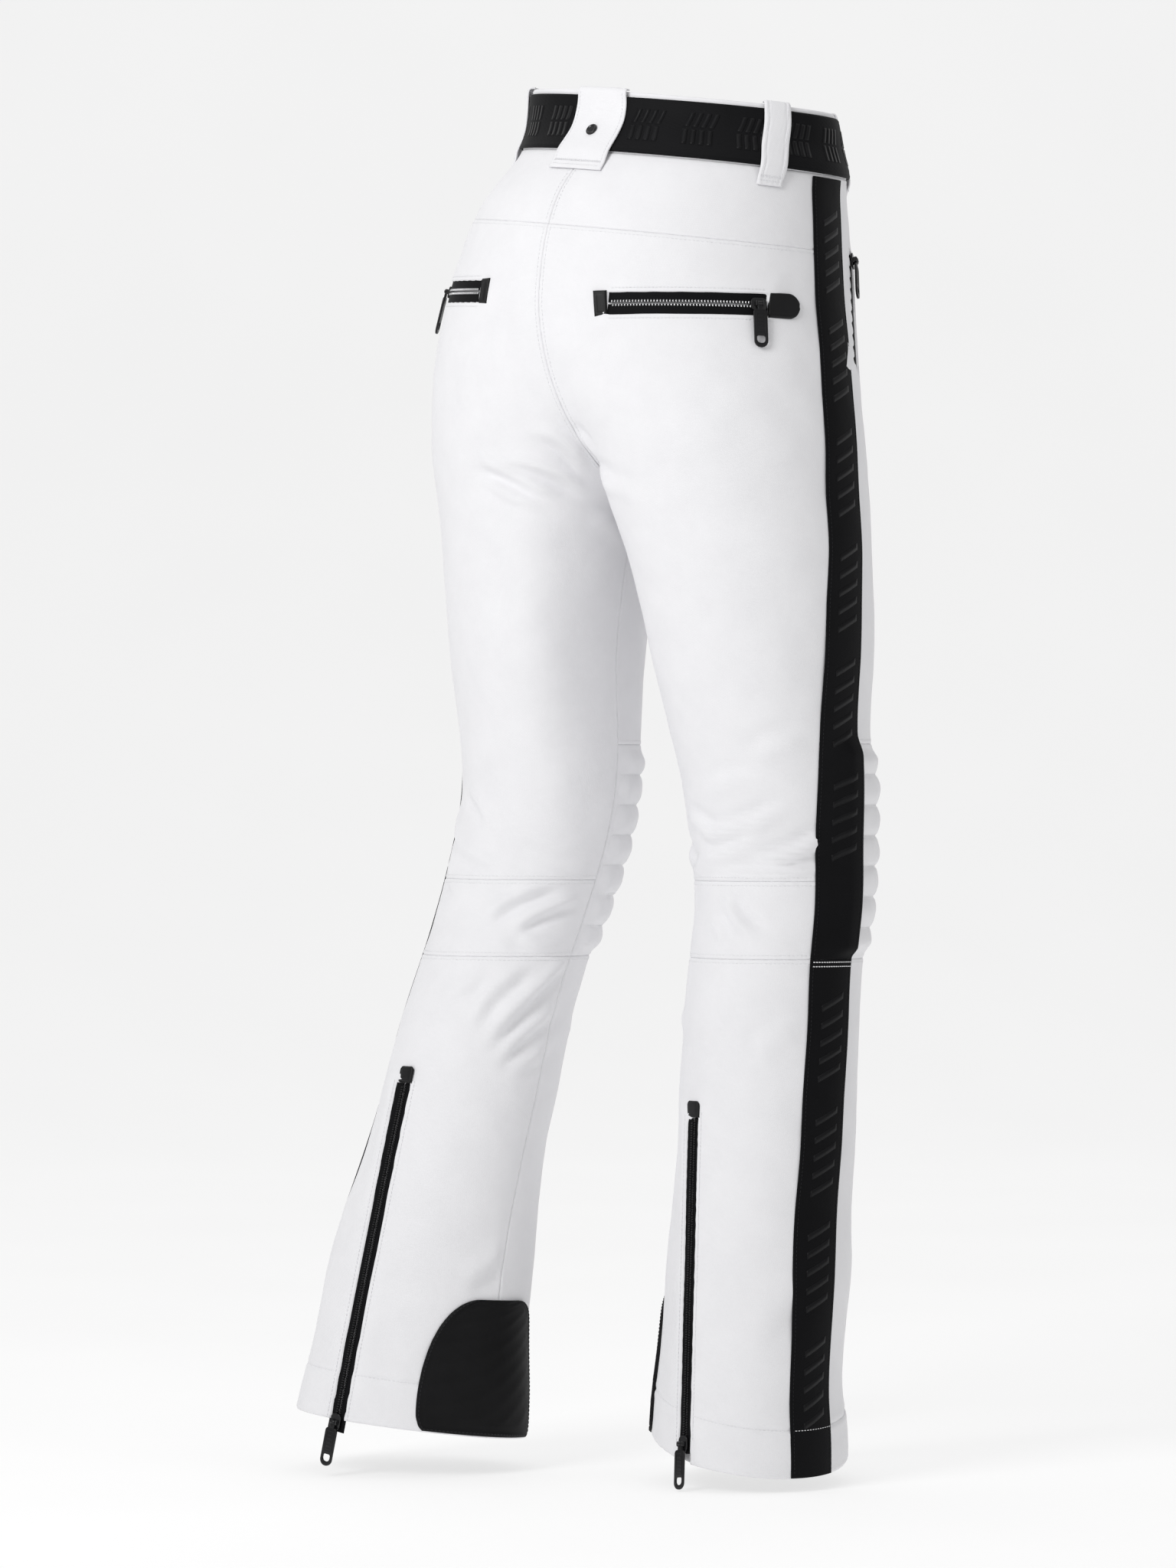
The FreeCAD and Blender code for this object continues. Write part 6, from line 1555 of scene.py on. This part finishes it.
def make_slider(name, fr, chain_along_x, body_):
    lx, ly = (12.0, 9.0) if chain_along_x else (9.0, 12.0)
    px, py = (2.4, 0.9) if chain_along_x else (0.9, 2.4)
    rr = 3.2
    parts = [(rrect(-lx / 2, lx / 2, -ly / 2, ly / 2, rr), [], 1.75, 3.05, None),
             (rrect(-lx / 2, lx / 2, -ly / 2, ly / 2, rr), [], -3.05, -1.75, None),
             (rrect(-px / 2, px / 2, -py / 2, py / 2, 0.3), [], -2.6, 2.6, None)]
    for s_ in (1, -1):
        yy = s_ * (4.4 + 0.9) / 2
        parts.append((rrect(-1.9, 1.9, 2.9, 6.35, 1.2), [], -0.45, 0.45, side_plate(yy, 0)))
    o = plates(name, parts, fr, M_LACQUER, 0.3)
    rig.ride(o, body_)
    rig.replaces(o, name)
    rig.slot(o, "zip_hardware")
    # the pin between the lugs
    pf = (fr[0] + fr[3] * 5.2 - fr[2] * 3.1, fr[3], fr[1], fr[2])
    c = lathe(name + "_pin", [(0.0, 0.0), (0.6, 0.0), (0.75, 0.15), (0.75, 6.05), (0.6, 6.2), (0.0, 6.2)], pf, M_SILVER if False else M_LACQUER, 16)
    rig.ride(c, body_)
    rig.slot(c, "zip_hardware")
    return o


def make_puller(name, fr, body_):
    out = [(0.0, 1.95), (-1.2, 1.5), (-1.6, 0.0), (-1.2, -1.5), (0.0, -1.95), (4.2, -1.95)]
    W2 = 5.2
    body_pts = rrect(4.4, 33.0, -W2, W2, 2.6, 8, 5.0)
    # outline: neck joined to the plate
    arr = [p_ for p_ in body_pts if not (p_[0] < 5.0 and abs(p_[1]) < 2.1)]
    start = max(range(len(arr)), key=lambda i: (arr[i][0] < 4.9 and arr[i][1] > 0) * (10 - arr[i][1]) if arr[i][0] < 4.9 and arr[i][1] > 0 else -1)
    plate_ = body_pts
    grooves = []
    win = rrect(33.0 - 6.0 - 2.7, 33.0 - 6.0 + 2.7, -3.2, 3.2, 1.3, 6, 2.6)
    slot_ = rrect(-0.82, 0.82, -1.0, 1.0, 0.4, 4)
    parts = [(plate_, [win], -0.85, 0.85, None),
             (rrect(1.2, 6.4, -1.95, 1.95, 0.5), [], -0.8, 0.8, None)]
    # raised frame and grip bars in relief on the outer face
    parts.append((rrect(6.6, 22.4, -3.6, 3.6, 1.2), [rrect(7.4, 21.6, -2.9, 2.9, 0.8)], 0.7, 1.05, None))
    for i in range(5):
        x_ = 9.3 + i * 2.6
        parts.append((rrect(x_, x_ + 1.1, -2.1, 2.1, 0.5), [], 0.7, 1.05, None))
    o = plates(name, parts, fr, M_PLASTIC, 0.42)
    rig.ride(o, body_)
    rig.replaces(o, name)
    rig.slot(o, "zip_hardware")
    # the eye turned round the pin
    ef = (fr[0] - fr[2] * 1.95, fr[3], fr[1], fr[2])
    e = lathe(name + "_eye", [(0.82, 0.0), (1.4, 0.0), (1.6, 0.25), (1.6, 3.65), (1.4, 3.9), (0.82, 3.9), (0.82, 0.0)], ef, M_PLASTIC, 24)
    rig.ride(e, body_)
    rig.slot(e, "zip_hardware")
    return o


def lifts(z, hang, travel, start):
    best = 0.0
    p0, t0, out0 = z.at(start)
    for i in range(7):
        mm = start + travel * i / 6
        p, t, out = z.at(mm)
        if hang == "down":
            X = np.array([0, 0, -1.0])
            X = X - t0 * (X @ t0)
            X = X - out0 * (X @ out0)
        else:
            X = t0 * (-1.0 if hang == "away" else 1.0)
        a = travel * i / 6 / z.r
        X = X * math.cos(a) + np.cross(z.n, X) * math.sin(a) + z.n * (z.n @ X) * (1 - math.cos(a))
        X /= np.linalg.norm(X)
        Y = np.cross(out, X)
        pin = p + out * 5.2
        a = best
        while a < 45:
            c_, s_ = math.cos(math.radians(a)), math.sin(math.radians(a))
            X1, Z1 = X * c_ + out * s_, out * c_ - X * s_
            vs = np.array([pin + X1 * (7.0 + 26.5 * k / 5) + Y * (w * 10.4) - Z1 * 0.85 for k in range(6) for w in (-0.5, 0, 0.5)])
            if float(fval(vs[:, 0], vs[:, 1], level(-vs[:, 2])).min()) > 2.1:
                break
            a += 0.5
        best = max(best, a)
    return best


def zip_set(nm, hang, travel, start, half, teeth_mat, a_start, a_end, par, tape_node, teeth_node=None, pitch=1.9):
    z = ZIPS[nm]
    # tape: two strips with a beaded inner edge
    m_ = np.linspace(a_start, z.length + a_end, max(8, int((z.length + a_end - a_start) / 2.5)))
    V, F, c0 = [], [], 0
    area, w0 = 0.0, 0.0
    for s_ in (1, -1):
        u = np.array([0.75, 1.1, 2.0, 3.2, 3.6, 5.0, 6.2, 7.0, half - 0.5, half])
        u = np.unique(np.minimum(u, half))
        M2, U = np.meshgrid(m_, u, indexing="ij")
        rib = 0.08 * np.sin(M2 / 1.3 * 2 * PI * 0.5) + 0.05 * np.exp(-((U - 4.4) / 0.4) ** 2)
        po = z.spot(M2, s_ * U, 0.33 + rib - 0.15 * np.exp(-((half - U) / 0.4) ** 2))
        pi_ = z.spot(M2, s_ * U, -0.33 + 0 * rib)
        nr, nc = po.shape[:2]
        r, c = nr // 2, nc // 2
        flip = float(np.dot(np.cross(po[r + 1, c] - po[r, c], po[r, c + 1] - po[r, c]), po[r, c] - pi_[r, c])) < 0
        V += [po.reshape(-1, 3), pi_.reshape(-1, 3)]
        F.append(slab_faces(nr, nc, flip) + c0)
        c0 += 2 * nr * nc
        w0 += half - 0.75
    o = mesh_object(tape_node, np.concatenate(V) * 0.001, np.concatenate(F), M_TAPE)
    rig.ride(o, par)
    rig.replaces(o, tape_node)
    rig.slot(o, "zip_tape")
    Lm = (z.length + a_end - a_start) * 0.001
    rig.sheet(o, flat=(2 * half * 0.001, Lm), held="stretched", area=w0 * 0.001 * Lm)
    SHEETS.append((tape_node, round(2 * half * 0.001, 3), round(Lm, 3), round(w0 * 0.001 * Lm, 5)))
    # teeth: interlocking blocks on either side, outside and inside of the tape
    n_ = int((z.length + a_end - 1.0 - max(a_start, -3.8)) / pitch)
    V, F, c0 = [], [], 0
    box = np.array([(-0.5, 0, 0), (0.5, 0, 0), (0.5, 1, 0), (-0.5, 1, 0), (-0.42, 0.06, 1), (0.42, 0.06, 1), (0.42, 0.94, 1), (-0.42, 0.94, 1)])
    bf = np.array([[0, 3, 2, 1], [4, 5, 6, 7], [0, 1, 5, 4], [1, 2, 6, 5], [2, 3, 7, 6], [3, 0, 4, 7]])
    for i in range(n_):
        for s_ in (1, -1):
            mm = max(a_start, -3.8) + 0.6 + (i + (0.5 if s_ > 0 else 0.0)) * pitch
            a = box[:, 0] * pitch * 0.52 + mm
            ac_ = s_ * (0.55 + box[:, 1] * (1.75 if teeth_node else 1.9))
            hi_ = 0.36 + box[:, 2] * 0.72
            V.append(z.spot(a, ac_, hi_))
            F.append((bf if s_ > 0 else bf[:, ::-1]) + c0)
            c0 += 8
            if teeth_node:
                V.append(z.spot(a, ac_, -hi_))
                F.append((bf[:, ::-1] if s_ > 0 else bf) + c0)
                c0 += 8
    tn = teeth_node or tape_node + "_teeth"
    o = mesh_object(tn, np.concatenate(V) * 0.001, np.concatenate(F), teeth_mat, False)
    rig.ride(o, par)
    if teeth_node:
        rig.replaces(o, teeth_node)
        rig.slot(o, "teeth_metal")
    else:
        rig.slot(o, "zip_tape")
    if hang is None:
        return z
    p, t, out = z.at(start)
    if hang == "away":
        X = -t
    elif hang == "along":
        X = t
    else:
        X = np.array([0, 0, -1.0])
        X = X - t * (X @ t)
        X = X - out * (X @ out)
    fr = basis(p, X, out)
    make_slider(nm + "_slider", fr, hang != "down", nm + "_slider")
    lf = math.radians(lifts(z, hang, travel, start))
    o_, x_, y_, z_ = fr
    x1, z1 = x_ * math.cos(lf) + z_ * math.sin(lf), z_ * math.cos(lf) - x_ * math.sin(lf)
    make_puller(nm + "_puller", (p + z_ * 5.2, x1, y_, z1), nm + "_puller")
    return z


for sd in (1, -1):
    N_ = NAME[sd]
    z = ZIPS["back_pocket_zip_" + N_]
    zip_set("back_pocket_zip_" + N_, "down", z.length - 13.6, 2.6, 9.0, M_SILVER, -4.4, -5.3, "upper", "back_pocket_tape_" + N_, "back_pocket_teeth_" + N_, 2.3)
    z = ZIPS["front_pocket_zip_" + N_]
    zip_set("front_pocket_zip_" + N_, "along", z.length - 12.0, 2.0, 9.0, M_PLASTIC, -5.5, 2.5, "upper", "front_pocket_tape_" + N_, None, 1.7)
    z = ZIPS["hem_zip_" + N_]
    zip_set("hem_zip_" + N_, "away", z.length - 16.0, 0.0, 7.6, M_PLASTIC, -7.0, -6.5, "shin_" + N_, "hem_zip_tape_" + N_, None, 1.8)

# fly zip
z = ZIPS["fly_zip"]
zip_set("fly_zip", None, 0, 0, 12.0, M_PLASTIC, -5.0, 3.0, "upper", "fly_zip_tape", None, 1.7)
for nm in ("fly_zip_slider", "fly_zip_puller", "belt_buckle_frame", "belt_buckle_hook"):
    if nm in NODES:
        NODES[nm].data.materials.clear()
        NODES[nm].data.materials.append(M_LACQUER)

# snap on the loop
p_, n_ = ring(34.0, math.radians(90.0), 6.7)
fr = basis(p_, np.array([1.0, 0, 0]), n_)
o = lathe("loop_snap", [(0.0, -0.15), (4.2, -0.15), (4.6, 0.2), (4.65, 1.0), (4.4, 1.5), (3.9, 1.75), (3.4, 1.6), (3.1, 1.25), (2.6, 1.12), (1.4, 1.2), (0.0, 1.3)], fr, M_LACQUER, 56)
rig.ride(o, "upper")
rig.replaces(o, "loop_snap")
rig.slot(o, "snap_metal")

# ------------------------------------------------------------------ fly placket and pocket bags
qs = HB + 1.2 + stations(176.0 - HB - 1.2, 2.8)
us = stations(40.5, 2.4) / 40.5
sx_, sy_ = seam(qs, True)
cut = 30.0 * np.maximum(0.0, (((qs - HB - 1.2) / (176.0 - HB - 1.2) * 8) - 5) / 3.0) ** 2
X = sx_[:, None] + lerp(-8.5, 0, 1 - us)[None, :] * 0 + (-8.5 + (32.0 - cut + 8.5)[:, None] * us[None, :])
Q = np.repeat(qs[:, None], len(us), 1)
Y = np.repeat(sy_[:, None], len(us), 1)
Lq = level(Q)
for _ in range(30):
    g = (fval(X, Y + 0.2, Lq) - fval(X, Y - 0.2, Lq)) / 0.4
    Y = Y - fval(X, Y, Lq) / g
n = normal(X, Y, Q)
p = np.stack([X, Y, -Q], -1)
dl, dr, dt, db = edge_dist(p)
near = np.minimum(np.minimum(dl, dr), np.minimum(dt, db))
hgt = T + 1.5 + 1.2 - 0.7 * np.exp(-(near / 1.0) ** 2) - 0.25 * np.exp(-((near - 4.0) / 0.8) ** 2)
po = p + n * hgt[..., None]
o = slab("fly_placket", po, p + n * (T + 1.5), M_SHELL)
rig.ride(o, "upper")
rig.replaces(o, "fly_placket")
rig.slot(o, "shell")
declare(o, po, held="stretched")
for w_, ins in (("right", 4.0), ("right", 30.0)):
    L_, N2 = seam_line(po, n, w_, ins if ins < 10 else 9.0)
    stitches("fly", L_[4:-4], N2[4:-4], M_THREAD_G)
flush_stitches("fly", "fly_placket_stitches", body="upper")
for nm, B_, dq0, dq1, t0, t1 in (("back", BACK, 14, 105, 45.0, 96.0), ("front", FRONT, -6, 72, -74.0, -54.0)):
    V, F, c0, area, wsum, lmax = [], [], 0, 0.0, 0.0, 0.0
    for sd in (1, -1):
        qq = np.linspace(B_[sd][1][0] + dq0, B_[sd][1][0] + dq1, 34)
        tt = np.radians(np.linspace(t0, t1, 40))
        Q, TH = np.meshgrid(qq, tt, indexing="ij")
        p, n = base(sd, Q, TH)
        dl, dr, dt, db = edge_dist(p)
        near = np.minimum(np.minimum(dl, dr), np.minimum(dt, db))
        w_ = 0.35 * broad(p * 1.7) - 0.3 * np.exp(-((near - 4) / 1.2) ** 2)
        po = p + n * (-6.5 - 0.5 * np.exp(-(near / 1.0) ** 2) + np.clip(w_, -0.5, 0.2))[..., None]
        pi_ = p + n * (-8.1 + 0.5 * np.exp(-(near / 1.0) ** 2) + np.clip(w_, -0.5, 0.2))[..., None]
        nr, nc = po.shape[:2]
        r, c = nr // 2, nc // 2
        flip = float(np.dot(np.cross(po[r + 1, c] - po[r, c], po[r, c + 1] - po[r, c]), po[r, c] - pi_[r, c])) < 0
        V += [po.reshape(-1, 3), pi_.reshape(-1, 3)]
        F.append(slab_faces(nr, nc, flip) + c0)
        c0 += 2 * nr * nc
        a_, b_ = cum(po, 1), cum(po, 0)
        d1, d2 = po[1:, :-1] - po[:-1, :-1], po[:-1, 1:] - po[:-1, :-1]
        area += float(np.linalg.norm(np.cross(d1, d2), axis=-1).sum()) * 1e-6
        wsum += float(a_[:, -1].max()) * 0.001
        lmax = max(lmax, float(b_[-1].max()) * 0.001)
    o = mesh_object(nm + "_pocket_bags", np.concatenate(V) * 0.001, np.concatenate(F), M_INSIDE)
    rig.ride(o, "upper")
    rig.replaces(o, nm + "_pocket_bags")
    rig.slot(o, "lining")
    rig.sheet(o, flat=(wsum, lmax), held="hung", area=min(area, wsum * lmax))
    SHEETS.append((nm + "_pocket_bags", round(wsum, 3), round(lmax, 3), round(area, 4)))


# ------------------------------------------------------------------ rubber garages, tabs and caps
def rubber(name, grids, body_):
    V, F, c0 = [], [], 0
    for sd, q, th in grids:
        p, n = base(sd, q, th)
        dl, dr, dt, db = edge_dist(p)
        near = np.minimum(np.minimum(dl, dr), np.minimum(dt, db))
        up = T + 0.35 + 1.5 * np.clip(near / 1.1, 0.1, 1.0) ** 0.5 - 0.3 * np.exp(-((near - 2.4) / 0.5) ** 2)
        lo_ = T + 0.3 - 0.9 * (near < 0.01)
        po, pi_ = p + n * up[..., None], p + n * (T + 0.1 + 0 * up)[..., None]
        nr, nc = po.shape[:2]
        r, c = nr // 2, nc // 2
        flip = float(np.dot(np.cross(po[r + 1, c] - po[r, c], po[r, c + 1] - po[r, c]), po[r, c] - pi_[r, c])) < 0
        V += [po.reshape(-1, 3), pi_.reshape(-1, 3)]
        F.append(slab_faces(nr, nc, flip) + c0)
        c0 += 2 * nr * nc
    o = mesh_object(name, np.concatenate(V) * 0.001, np.concatenate(F), M_RUBBER)
    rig.ride(o, body_)
    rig.replaces(o, name)
    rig.slot(o, "rubber_trim")


GG, TT = [], []
for sd in (1, -1):
    (qa, ta), (qm, tm), (qb, tb) = BACK[sd]
    r_a, r_b = float(radius(sd, qa, math.radians(ta))), float(radius(sd, qb, math.radians(tb)))
    slope = (qb - qa) / ((tb - ta) * PI / 180)
    hh = 9.4
    L_ = 26.0
    i = np.linspace(0, 1, 30)
    s_mm = L_ * (1 - (1 - i) ** 1.6)
    edge_ = L_ - s_mm
    half = np.where(edge_ > hh, hh, np.maximum(1.6, np.sqrt(np.maximum(0.0, hh * hh - (hh - edge_) ** 2))))
    d = (4.9 + s_mm) / r_a
    j = np.linspace(-1, 1, 25)
    q = (qa - d * slope)[:, None] + half[:, None] * j[None, :]
    th = np.repeat((math.radians(ta) - d)[:, None], 25, 1)
    GG.append((sd, q, th))
    i = np.linspace(0, 1, 16)
    tl = 9.0
    d = (-4.0 + tl * i) / r_b
    q = (qb + d * slope * 0.3)[:, None] + hh * j[None, :]
    th = np.repeat((math.radians(tb) + d)[:, None], 25, 1)
    TT.append((sd, q, th))
rubber("back_pocket_garages", GG, "upper")
rubber("back_pocket_end_tabs", TT, "upper")
for sd in (1, -1):
    (qa, ta), (qm, tm), (qb, tb) = HEMZ[sd]
    sl = math.radians(tb - tm) / (qb - qm)
    i = np.linspace(0, 1, 22)
    q_ = qb + 6.0 - CAP_LONG * i if False else qb + 6.0 - 12.0 * i
    th_ = math.radians(tb) + sl * (q_ - qb)
    r_ = radius(sd, q_, th_)
    w_ = 7.5 * np.where(i < 0.75, 1.0, 1.0 - 0.35 * ((i - 0.75) / 0.25) ** 2)
    j = np.linspace(-1, 1, 21)
    th = th_[:, None] + (w_ / r_)[:, None] * j[None, :]
    q = np.repeat(q_[:, None], 21, 1)
    rubber("hem_zip_cap_" + NAME[sd], [(sd, q, th)], "shin_" + NAME[sd])

# ------------------------------------------------------------------ stage, light, camera
zf = min(CAD_BOX[0][2], CAD_BOX[1][2]) if isinstance(CAD_BOX[0], (list, tuple)) else CAD_BOX[0][2]
zf = float(zf) - 0.001


def stage_piece(name, verts, faces, mat):
    o = mesh_object(name, verts, faces, mat)
    ALL.remove(o)
    return o


m_floor, nt, b = material("studio_paper")
tc = node(nt, "ShaderNodeTexCoord")
n1 = node(nt, "ShaderNodeTexNoise", i_Scale=3.0, i_Detail=2.0)
r = node(nt, "ShaderNodeValToRGB")
r.color_ramp.elements[0].color = (0.30, 0.30, 0.30, 1)
r.color_ramp.elements[1].color = (0.34, 0.34, 0.34, 1)
b.inputs["Emission Color"].default_value = (1.0, 1.0, 1.0, 1)
b.inputs["Emission Strength"].default_value = 0.70
nt.links.new(tc.outputs["Object"], n1.inputs["Vector"])
nt.links.new(n1.outputs["Fac"], r.inputs["Fac"])
nt.links.new(r.outputs["Color"], b.inputs["Base Color"])
b.inputs["Roughness"].default_value = 0.9
b.inputs["Specular IOR Level"].default_value = 0.1
# a sweep of paper: floor rising in a wide curve behind the garment (away from the camera)
cam_dir = np.array([0.6428, -0.7660])
side_dir = np.array([0.7660, 0.6428])
prof = [(-8.0, 0.0), (3.2, 0.0)]
for k in range(1, 25):
    a = PI / 2 * k / 24
    prof.append((3.2 + 2.4 * math.sin(a), 2.4 - 2.4 * math.cos(a)))
prof.append((5.6, 7.0))
V, F = [], []
for i, (d_, h_) in enumerate(prof):
    for s_ in (-9.0, -4.5, 0.0, 4.5, 9.0):
        V.append((cam_dir[0] * d_ + side_dir[0] * s_, cam_dir[1] * d_ + side_dir[1] * s_, zf + h_))
for i in range(len(prof) - 1):
    for j in range(4):
        a = i * 5 + j
        F.append([a, a + 1, a + 6, a + 5])
floor = stage_piece("studio_sweep", V, F, m_floor)
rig.stage(floor)

sc = bpy.context.scene
try:
    sc.view_settings.view_transform = "Standard"
except Exception:
    pass
w = bpy.data.worlds.new("studio") if not sc.world else sc.world
sc.world = w
w.use_nodes = True
bg = w.node_tree.nodes.get("Background") or w.node_tree.nodes.new("ShaderNodeBackground")
bg.inputs["Color"].default_value = (1.0, 1.0, 1.0, 1)
bg.inputs["Strength"].default_value = 0.36


def area(name, loc, target, size, power, col=(1, 1, 1)):
    l = bpy.data.lights.new(name, "AREA")
    l.shape = "RECTANGLE"
    l.size, l.size_y = size
    l.energy = power
    l.color = col
    o = bpy.data.objects.new(name, l)
    d = np.array(target) - np.array(loc)
    d = d / np.linalg.norm(d)
    import mathutils
    o.location = loc
    o.rotation_euler = mathutils.Vector(d).to_track_quat("-Z", "Y").to_euler()
    sc.collection.objects.link(o)
    return o


def at(cam_right, toward, up):
    """metres to the right of the picture, towards the camera, up"""
    return (RX * -cam_right * -1.0, 0, 0) if False else (cam_right * RX + toward * BX, cam_right * RY + toward * BY, up)


area("key", at(-1.5, 1.7, 0.9), (0, 0, -0.5), (1.0, 1.2), 33.0)
area("fill", at(1.9, 1.9, -0.2), (0, 0, -0.55), (1.8, 2.2), 4.0)
area("top", at(0.0, -0.2, 1.6), (0, 0, -0.4), (2.0, 2.0), 9.0)
area("back_wall", at(0.0, -1.4, 1.8), (cam_dir[0] * 5.0, cam_dir[1] * 5.0, -0.2), (3.5, 1.2), 5.0)

cam = bpy.data.cameras.new("camera")
cam.lens = 128.4
cam.sensor_width = 36.0
cam.sensor_fit = "AUTO"
cam.clip_end = 50
co = bpy.data.objects.new("camera", cam)
co.location = (-2.6461, 3.2624, -0.5116)
co.rotation_euler = (math.radians(90), 0, math.radians(220))
sc.collection.objects.link(co)
sc.camera = co

VIS_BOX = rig.bounds()
try:
    json.dump({"cad": [list(map(float, r_)) for r_ in CAD_BOX], "visual": [list(map(float, r_)) for r_ in VIS_BOX]}, open("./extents.json", "w"))
except Exception as e:
    print("size", e)
print("SHEETS", SHEETS)
